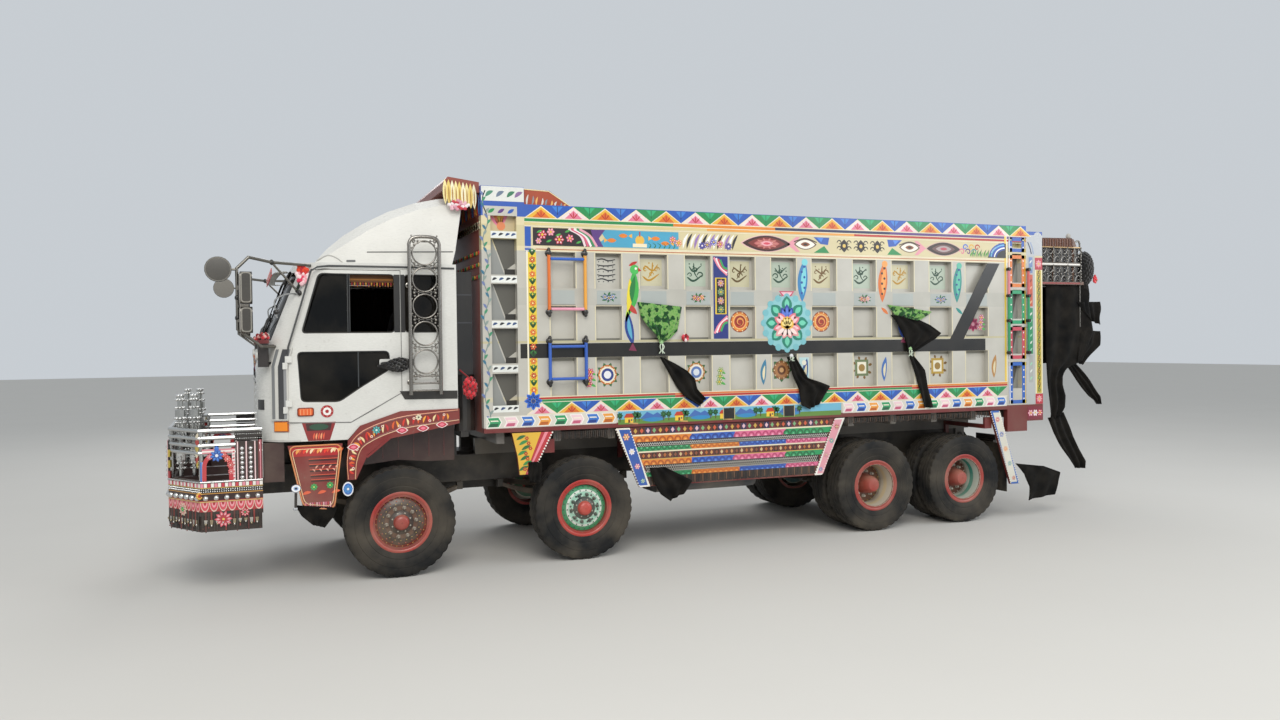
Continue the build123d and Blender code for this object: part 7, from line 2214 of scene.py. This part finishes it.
for row, (v0, v1, tone) in enumerate(((1420, 1560, "c83a3a"), (1580, 1900, "2a62b0"),
        (1920, 2240, "e0c24a"), (2260, 2580, "2a8a5a"), (2600, 2930, "c8404a"))):
    for k in range(4):
        a, b = -1160 + 290 * k, -880 + 290 * k
        if k == 3:
            b = -4
        box_plate(rack_colour, GATE, a, b, v0, v1, ("efe6cc", tone)[k % 2], 1.5)
        box_plate(rack_colour, GATE, a + 14, b - 14, v0 + 14, v1 - 14, (tone, "efe6cc")[k % 2], 2.5)
        if row:
            rosette(rack_colour, GATE, (a + b) / 2, (v0 + v1) / 2, 105,
                (("f0e4c0", RED)[k % 2], (RED, YELLOW)[k % 2], ("e87a8a", "f0b040")[k % 2]), 4, 10, k)
            for cu, cv in ((a + 44, v0 + 44), (b - 44, v0 + 44), (a + 44, v1 - 44), (b - 44, v1 - 44)):
                leaf(rack_colour, GATE, (cu, cv),
                    ((a + b) / 2 * 0.4 + cu * 0.6, (v0 + v1) / 2 * 0.4 + cv * 0.6), 24,
                    ("2a8a4a", "f4ecd0")[k % 2], 3.4)
print("rack", rack_metal.count, rack_colour.count, "points")
both(rack_metal).build("rack_filigree", ladder_paint, "tailgate_body", smooth=60)
both(rack_colour).build("rack_paintwork", trim_paint, "tailgate_body")

# %% Tail lamps, headlamps and mudflap plates
glow, behind = Shapes(), Shapes()
LAMP_FLAT = front_flat(-1345)
for y in (720, 880):
    plate(behind, LAMP_FLAT, rounded([(y - 74, 1050), (y + 74, 1050), (y + 74, 1210), (y - 74, 1210)], 26),
        "c8cacc", SUNK, 5)
    turn(glow, LAMP_FLAT.place([(y, 1130)], 4)[0], (-1, 0, 0),
        [(0, 66), (5, 64), (10, 44), (12, 6)], "dfe4e8", 24)
    for k in range(5):
        box_plate(behind, LAMP_FLAT, y - 60 + 27 * k, y - 56 + 27 * k, 1076, 1184, "9aa0a6", 6.5)
plate(glow, LAMP_FLAT, rounded([(990, 1060), (1090, 1060), (1090, 1200), (990, 1200)], 24),
    "e0801e", SUNK, 12)
for k in range(3):
    turn(glow, (7571, -640 - 110 * k, 960), (1, 0, 0), [(0, 46), (14, 44), (20, 30), (22, 4)],
        ("b8201c", "e07a1e", "e4e4e0")[k], 20)
block_shape(behind, (7540, -930, 896), (7572, -570, 1024), "2a2a2c")
block_shape(behind, (7290, -430, 900), (7540, -392, 950), "2a2624")
block_shape(behind, (7512, -930, 905), (7540, 0.5, 955), "2a2624", 0.02)
plate(behind, rear_flat(7572), [(-260, 900), (0.5, 900), (0.5, 1030), (-260, 1030)], "d8d6ce", SUNK, 3)
block_shape(behind, (7540, -268, 892), (7572, 0.5, 1038), "2c2a28", 0.02)
both(glow).build("lamp_glasses", lens_plastic.material, "chassis", smooth=40)
both(behind).build("lamp_frames", trim_paint, "chassis", smooth=40)

# %% [markdown]
# ## Streamers and black cloths
#
# Knotted cloths hang on the bed's sides, and black ones below the rear rack and at the wheels. A cloth is one
# sheet between a left edge and a right edge that run from top to bottom, with folds that deepen away from the
# knot. A simulated cloth would fall straight down; these were blown and tied, so their edges are given and
# the folds are a formula. Each is given its real cut size, which is printed beside its area.

# %% Cloth finishes
leafy = Finish("leafy_cloth", Sheen_Weight=0.3, Specular_IOR_Level=0.2)
patch = leafy.step(leafy.noise(16.0, 3.0), 0.50, 0.54)
vein = leafy.step(leafy.noise(38.0, 2.0), 0.52, 0.58)
leafy.set(Base_Color=leafy.mix(patch, leafy.mix(vein * 0.7, "7aa35a", "4c8f3e"),
    leafy.mix(vein * 0.5, "17401f", "2c6a30")), Roughness=vein * 0.1 + 0.8)
leafy.bump(leafy.noise(240.0, 2.0), 0.0008, 0.4)
black_cloth = cloth("black_cloth", "020202", 800.0, 0.02, 0.95)
print("cloth finishes ready")


# %% A sheet between two edges
def cloth_sheet(name, left, right, depth, folds, finish, body, flat, mirror=False, rows=34,
        columns=26, calm=0.0, clear=1262.0, replaced=()):
    """Point (s, t): left(s) + (right(s) - left(s)) * t,
    pushed out by depth * (1 - cos(2 pi folds t + 3 s)) / 2 * (calm + (1 - calm) * s)."""
    s, t = np.linspace(0, 1, rows), np.linspace(0, 1, columns)

    def along(edge):
        e = np.asarray(edge, float)
        run = np.r_[0, np.cumsum(np.linalg.norm(np.diff(e, axis=0), axis=1))]
        return np.stack([np.interp(s * run[-1], run, e[:, i]) for i in range(e.shape[1])], -1)

    a, b = along(left), along(right)
    grid = a[:, None] + (b - a)[:, None] * t[None, :, None]
    wave = (1 - np.cos(2 * math.pi * folds * t[None] + 3 * s[:, None])) / 2
    out = clear + depth * wave * (calm + (1 - calm) * s[:, None]) + 6 * np.sin(9 * s[:, None] + 5 * t[None])
    side = 1 if mirror else -1
    points = np.stack([grid[..., 0], side * np.abs(out), grid[..., 1]], -1)
    return finish_sheet(name, points, finish, body, flat, replaced, mirror)


def finish_sheet(name, points, finish, body, flat, replaced=(), turned=False):
    """Makes the grid of points a thin closed cloth, prints its area beside its cut size and sets its finish.
    """
    rows, columns = points.shape[:2]
    i, j = np.meshgrid(np.arange(rows - 1), np.arange(columns - 1), indexing="ij")
    quads = np.stack([i * columns + j, (i + 1) * columns + j, (i + 1) * columns + j + 1,
        i * columns + j + 1], -1).reshape(-1, 4)
    if turned:
        quads = quads[:, ::-1]
    p = points.reshape(-1, 3)[quads]
    first_half = np.linalg.norm(np.cross(p[:, 1] - p[:, 0], p[:, 2] - p[:, 0]), axis=1)
    other_half = np.linalg.norm(np.cross(p[:, 2] - p[:, 0], p[:, 3] - p[:, 0]), axis=1)
    area = (first_half + other_half).sum() / 2e6
    mesh = bpy.data.meshes.new(name)
    mesh.from_pydata(((points.reshape(-1, 3) + (AXLE_1, 0, 0)) * MM).tolist(), [], quads.tolist())
    obj = bpy.data.objects.new(name, mesh)
    scene.collection.objects.link(obj)
    mesh.materials.append(finish)
    mesh.shade_smooth()
    thick = obj.modifiers.new("cloth_thickness", "SOLIDIFY")
    thick.thickness, thick.offset = 0.002, 0.0
    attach(obj, body)
    min(area, flat[0] * flat[1])
    if replaced:
        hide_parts(*replaced)
    print(name, "area", round(area, 3), "square metres of", round(flat[0] * flat[1], 3))
    return obj


streamers = (
    ("streamer_top_1", ((2470, 2690), (2500, 2540), (2575, 2440), (2660, 2345), (2710, 2270)),
    ((2990, 2640), (2950, 2500), (2925, 2380), (2830, 2300), (2760, 2268)), 34, 5, leafy.material,
    (0.56, 0.5), "gathered"),
    ("streamer_tail_1", ((2718, 2108), (2745, 2050), (2850, 1880), (2915, 1770), (3000, 1668),
    (3180, 1560)), ((2792, 2084), (2900, 2030), (3035, 1952), (3130, 1862), (3150, 1750), (3250, 1640)), 30,
    2, black_cloth, (0.26, 0.75), "gathered"),
    ("streamer_tail_2", ((4275, 2080), (4350, 1865), (4425, 1715), (4440, 1530), (4560, 1480)),
    ((4385, 2085), (4540, 1835), (4710, 1785), (4850, 1735), (4700, 1540)), 32, 2.5, black_cloth,
    (0.46, 0.86), "gathered"),
    ("streamer_top_3", ((5640, 2672), (5690, 2620), (5720, 2560)),
    ((6300, 2590), (6130, 2500), (6050, 2486)), 30, 6, leafy.material, (0.69, 0.29), "gathered"),
    ("streamer_wing_3", ((5690, 2552), (5800, 2420), (5870, 2300), (5905, 2190), (5912, 2110)),
    ((6020, 2528), (6260, 2430), (6425, 2330), (6330, 2262), (6010, 2112)), 30, 3, black_cloth,
    (0.61, 0.92), "gathered"),
    ("streamer_tail_3", ((5945, 2080), (5985, 1960), (6052, 1800), (6090, 1660), (6150, 1440)),
    ((6015, 2070), (6170, 1890), (6225, 1680), (6290, 1470), (6290, 1440)), 26, 1.5, black_cloth,
    (0.18, 0.71), "gathered"),
)
for name, left, right, depth, folds, finish, flat, held in streamers:
    for side in ("left", "right"):
        cloth_sheet(f"{name}_{side}", left, right, depth, folds, finish, "bed", flat,
            side == "right", replaced=("side_cloths",), calm=0.4)

knots = Shapes()
for k in range(12):
    a = 2.4 * k
    ball(knots, (3010 + 26 * math.cos(a), -1280 - 6 * (k % 3), 2306 + 26 * math.sin(a)), (20, 14, 20),
        ("b01c2a", "d84a58", "f0d8d8", "8a141e")[k % 4], 7, 5)
for u, v, w in ((2735, 2262, 120), (5962, 2150, 90), (4330, 2092, 60)):
    for k in range(3):
        du = (-1) ** k * (12 + 8 * k)
        follow(knots, smooth_path([(u, -1272, v), (u + du, -1284, v - w * 0.4),
            (u + du * 0.4, -1280, v - w * 0.75), (u + du * 1.3, -1274, v - w)], 10), circle(6, 5), "c8d4c0")
    ball(knots, (u, -1276, v), (26, 16, 22), "9cc48c" if u != 4330 else "d8d8d8", 8, 5)
both(knots).build("streamer_knots", petal_cloth, "bed", smooth=60)

# %% Cloths below the rear rack
MIDDLE_ROWS = ((2944, 7990, 8790), (2600, 8000, 8846), (2250, 8030, 8820),
    (1930, 8070, 8640))  # height, front edge, rear edge
SIDE_CLOTHS = (
    ("rear_main", ((8255, 2995), (8244, 2620), (8240, 2103), (8245, 1649), (8293, 1193)),
    ((8975, 2938), (8992, 2820), (8974, 2701), (9008, 2502), (9042, 2330), (8864, 1949), (8604, 1862),
    (8535, 1772), (8534, 1641), (8584, 1496), (8566, 1339), (8463, 1238)), (0.83, 2.01)),
    ("rear_lobe", ((8782, 2726), (8886, 2595), (8990, 2489)),
    ((9180, 2733), (9180, 2595), (9180, 2422)), (0.42, 0.33)),
    ("rear_wing", ((8849, 2358), (8796, 2161), (8742, 1938)),
    ((9180, 2341), (9180, 2268), (9165, 2156), (8864, 1896)), (0.4, 0.59)),
    ("rear_tail", ((8604, 1888), (8758, 1701), (8949, 1484), (9107, 1373)),
    ((8725, 1938), (8985, 1695), (9180, 1476), (9180, 1369)), (0.27, 0.76)),
    ("rear_end", ((8276, 1220), (8359, 1034), (8477, 845), (8699, 544)),
    ((8531, 1288), (8684, 967), (8926, 624), (8908, 532)), (0.36, 0.87)),
)


def hung_rows(name, table, middle, depth, folds, flat, scale=1.0, lean=0.0, rows=40, columns=30):
    """A sheet in upright folds: row heights and edges from the table,
    pushed sideways by depth * sin(2 pi folds t + 2 s)."""
    tab = np.asarray(table, float)
    z = np.interp(np.linspace(0, 1, rows), np.linspace(0, 1, len(tab)), tab[:, 0])
    front, back = (np.interp(-z, -tab[:, 0], tab[:, i]) for i in (1, 2))
    back = front + (back - front) * scale
    t = np.linspace(0, 1, columns)
    s = np.linspace(0, 1, rows)[:, None]
    x = front[:, None] + (back - front)[:, None] * t[None]
    y = middle + lean * s + depth * (0.25 + 0.75 * s) * np.sin(2 * math.pi * folds * t[None] + 2 * s)
    points = np.stack([x, y, z[:, None] + 14 * np.sin(7 * t[None]) * s], -1)
    return finish_sheet(name, points, black_cloth, "tailgate_body",
        flat, ("rear_cloths",))


for name, left, right, flat in SIDE_CLOTHS:
    for side in ("left", "right"):
        cloth_sheet(f"{name}_{side}", left, right, 44, 2.5, black_cloth, "tailgate_body", flat,
            side == "right", 40, 28, 0.5, 1076.0, ("rear_cloths",))
for k, (middle, folds, wide, lean) in enumerate(((-700, 4, 0.94, -60), (-240, 4.5, 0.86, 50),
        (240, 4, 0.9, -40), (700, 4.5, 0.84, 60))):
    hung_rows(f"rear_cloth_{k + 1}", MIDDLE_ROWS, middle, 60, folds, (1.19, 1.06), wide, lean)

# %% A flat cloth across the back, the wool tassel and the flower
back_points = []
for s in np.linspace(0, 1, 36):
    t = np.linspace(0, 1, 60)
    y = -1020 + 2040 * t
    x = 8560 + 34 * np.sin(2 * math.pi * 11 * t + 2 * s) * (0.3 + s)
    low = 2300 + 160 * np.sin(2 * math.pi * 2.5 * t + 0.6)
    back_points.append(np.stack([x, y, 2944 + (low - 2944) * s], -1))
finish_sheet("rear_cloth_back", np.array(back_points), black_cloth, "tailgate_body", (3.35, 0.82),
    ("rear_cloths",))

rear_soft = Shapes()
tassel_at = np.array([8948.0, -1040.0, 3168.0])
for k in range(150):
    z = 1 - 2 * (k + 0.5) / 150
    a, r = 2.39996 * k, math.sqrt(1 - z * z)
    spot = tassel_at + np.array([104 * r * math.cos(a), 96 * r * math.sin(a), 196 * z])
    ball(rear_soft, spot, (30, 30, 40), ("08080a", "101013", "0b0a0a")[k % 3], 6, 4)
ball(rear_soft, tassel_at, (110, 100, 200), "08080a", 14, 9)
for k in range(14):
    a = 2 * math.pi * k / 14
    follow(rear_soft, np.array([tassel_at + (40 * math.cos(a), 40 * math.sin(a), -180),
        tassel_at + (52 * math.cos(a), 52 * math.sin(a), -260 - 12 * (k % 3))]), circle(9, 5), "0a0a0c")
for k in range(14):
    a, r = 2.4 * k, 10.0 * math.sqrt(k)
    ball(rear_soft, (9128 + r * math.cos(a) * 0.8, -1060 + 6 * (k % 3), 3034 + r * math.sin(a) * 1.3),
        (17, 16, 22), ("d8303c", "ea5a5e", "c02028")[k % 3], 7, 5)
ball(rear_soft, (9146, -1060, 3010), (10, 12, 14), "2f6a3a", 6, 4)
follow(rear_soft, smooth_path([(9000, -1050, 3050), (9060, -1056, 3060), (9110, -1060, 3040)], 8),
    circle(7, 5), "4a4a46")
rear_soft.build("rear_tassel_left", petal_cloth, "tailgate_body", smooth=60)

# %% Black rags at the wheels and below the steps
for side in ("left", "right"):
    turned = side == "right"
    cloth_sheet(f"rag_arm_1_{side}", ((1262, 1064), (1255, 960), (1270, 860)),
        ((1398, 1060), (1396, 950), (1380, 846)), 22, 2.5, black_cloth, "chassis", (0.17, 0.22),
        turned, 16, 16, 0.5, 1252.0)
    cloth_sheet(f"rag_arm_2_{side}", ((2580, 930), (2620, 800), (2700, 640), (2810, 560)),
        ((2760, 926), (2930, 840), (3090, 760), (3000, 640)), 34, 2.5, black_cloth, "chassis", (0.44, 0.52),
        turned, 22, 20, 0.5)
    cloth_sheet(f"rag_arm_4_{side}", ((7560, 690), (7700, 543), (7770, 388), (7740, 214)),
        ((8028, 628), (8294, 535), (8243, 384), (8175, 260)), 30, 2, black_cloth, "chassis", (0.54, 0.58),
        turned, 20, 18, 0.5)
    cloth_sheet(f"rag_step_{side}", ((-980, 790), (-920, 680), (-820, 590)),
        ((-600, 740), (-640, 650), (-720, 560)), 18, 3, black_cloth, "chassis", (0.4, 0.27),
        turned, 16, 20, 0.5, 1246.0)

# %% [markdown]
# ## Cab seats
#
# Each seat is a cushion and a back. Foam under cloth crowns in the middle and pulls in at its edges, which a
# box can't do. So a rounded form, a little smaller than the seat, is inflated as cloth with pressure, no
# point may move more than a cap, and the sewn channels are pressed in afterwards as a formula.

# %% A padded form from a rounded box
VOXEL = 0.02  # remesh size in metres
PRESSURE = 4.0
STEPS = 20  # frames of the cloth
SQUARENESS = 6  # 2 would be a ball, a high number a box
GROOVE_DEPTH, GROOVE_WIDTH = 0.05, 0.035  # shares of the pad's height and half width


def soft_box(name, low, high, cap, channels, finish, lean=0.0):
    """A box whose faces bulge: p = middle + half * u / (|u|^6 summed)^(1/6), inflated,
    then grooved by channels along Y."""
    low, high = np.asarray(low, float), np.asarray(high, float)
    middle, half = (low + high) / 2, (high - low) / 2 - cap * 0.6
    n = 14
    steps = np.linspace(-1, 1, n)
    spots, squares, index = [], [], {}
    for axis in range(3):
        for sign in (-1, 1):
            others = [i for i in range(3) if i != axis]
            for i in range(n - 1):
                for j in range(n - 1):
                    ring = []
                    for di, dj in ((0, 0), (1, 0), (1, 1), (0, 1)):
                        key = [0.0, 0.0, 0.0]
                        key[axis], key[others[0]], key[others[1]] = float(sign), steps[i + di], steps[j + dj]
                        mark = tuple(round(c, 5) for c in key)
                        if mark not in index:
                            index[mark] = len(spots)
                            spots.append(key)
                        ring.append(index[mark])
                    squares.append(ring if sign * (1 if axis != 1 else -1) > 0 else ring[::-1])
    u = np.array(spots)
    p = middle + half * u / (np.abs(u) ** SQUARENESS).sum(1, keepdims=True) ** (1 / SQUARENESS)
    p[:, 0] += lean * (p[:, 2] - low[2])
    mesh = bpy.data.meshes.new(name)
    mesh.from_pydata(((p + (AXLE_1, 0, 0)) * MM).tolist(), [], squares)
    obj = bpy.data.objects.new(name, mesh)
    scene.collection.objects.link(obj)
    inflate(obj, cap * MM)
    smooth = obj.modifiers.new("round", "SUBSURF")
    smooth.levels = smooth.render_levels = 1
    apply_all(obj)
    mesh = obj.data
    q = np.empty(len(mesh.vertices) * 3)
    mesh.vertices.foreach_get("co", q)
    q = q.reshape(-1, 3)
    centre = (q.max(0) + q.min(0)) / 2
    across = (q[:, 1] - centre[1]) / (np.ptp(q[:, 1]) / 2)
    for place in channels:
        q -= (q - centre) * (GROOVE_DEPTH * np.exp(
            -((across - place) / GROOVE_WIDTH) ** 2))[:, None] * (0.6, 0.0, 0.6)
    mesh.vertices.foreach_set("co", q.ravel())
    mesh.update()
    mesh.materials.append(finish)
    mesh.shade_smooth()
    return obj


def apply_all(obj):
    """Bakes the piece's modifiers into its mesh."""
    made = bpy.data.meshes.new_from_object(obj.evaluated_get(bpy.context.evaluated_depsgraph_get()))
    obj.modifiers.clear()
    obj.data = made


def inflate(obj, cap):
    """Cloth with pressure for 20 frames on a fine remesh; each point's move is held to the cap."""
    fine = obj.modifiers.new("fine", "REMESH")
    fine.mode, fine.voxel_size = "VOXEL", VOXEL
    apply_all(obj)
    start = np.empty(len(obj.data.vertices) * 3)
    obj.data.vertices.foreach_get("co", start)
    pad = obj.modifiers.new("pad", "CLOTH")
    pad.settings.use_pressure = True
    pad.settings.uniform_pressure_force = PRESSURE
    pad.settings.effector_weights.gravity = 0.0
    pad.point_cache.frame_start, pad.point_cache.frame_end = 1, STEPS
    for step in range(1, STEPS + 1):
        scene.frame_set(step)
    apply_all(obj)
    scene.frame_set(1)
    end = np.empty(len(start))
    obj.data.vertices.foreach_get("co", end)
    move = (end - start).reshape(-1, 3)
    size = np.linalg.norm(move, axis=1, keepdims=True)
    move *= np.minimum(1.0, cap / np.maximum(size, 1e-9))
    obj.data.vertices.foreach_set("co", (start.reshape(-1, 3) + move).ravel())


seat_cloth = cloth("seat_cloth", "3a2024", 700.0, 0.35)
seat_base = Shapes()
for sign, label in ((-1, "left"), (1, "right")):
    y = sign * 560
    cushion = soft_box(f"seat_cushion_{label}", (-425, y - 252, 1872), (112, y + 252, 2006), 24,
        (-0.5, 0.0, 0.5), seat_cloth)
    back = soft_box(f"seat_back_{label}", (70, y - 245, 2012), (176, y + 245, 2700),
        22, (-0.45, 0.0, 0.45), seat_cloth, 0.2)
    for piece in (cushion, back):
        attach(piece, "chassis")
        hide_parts("seats")
    block_shape(seat_base, (-400, y - 230, 1702), (90, y + 230, 1866), "26262a", 0.08)
    block_shape(seat_base, (-410, y - 244, 1840), (110, y + 244, 1874), "151517", 0.05)
    print("seat", label, len(cushion.data.vertices), len(back.data.vertices), "points")
seat_base.build("seat_bases", trim_paint, "chassis")

# %% Headlining and window cloths inside the cab
lining = Shapes()
for y0, colour in ((-1168, "5a3a22"), (1168, "5a3a22")):
    face = side_flat(y0)
    box_plate(lining, face, -700, 400, 2868, 2940, colour, 3, -3)
    box_plate(lining, face, -700, 400, 2886, 2902, "8a5c2c", 5, -5)
    fringe(lining, face, -700, 400, 2866, 34, 26, ("7a1c22", "a8782c"), 4.0)
lining.build("cab_lining", petal_cloth, "chassis")
curtain = []
for s in np.linspace(0, 1, 16):
    t = np.linspace(0, 1, 60)
    curtain.append(np.stack([-720 + 1100 * t, 1140 + 14 * np.sin(2 * math.pi * 16 * t),
        2925 - 560 * s + 0 * t], -1))
curtain_cloth = cloth("curtain_cloth", "33201c", 600.0, 0.3)
finish_sheet("cab_curtain", np.array(curtain), curtain_cloth, "chassis",
    (1.4, 0.56), turned=True)
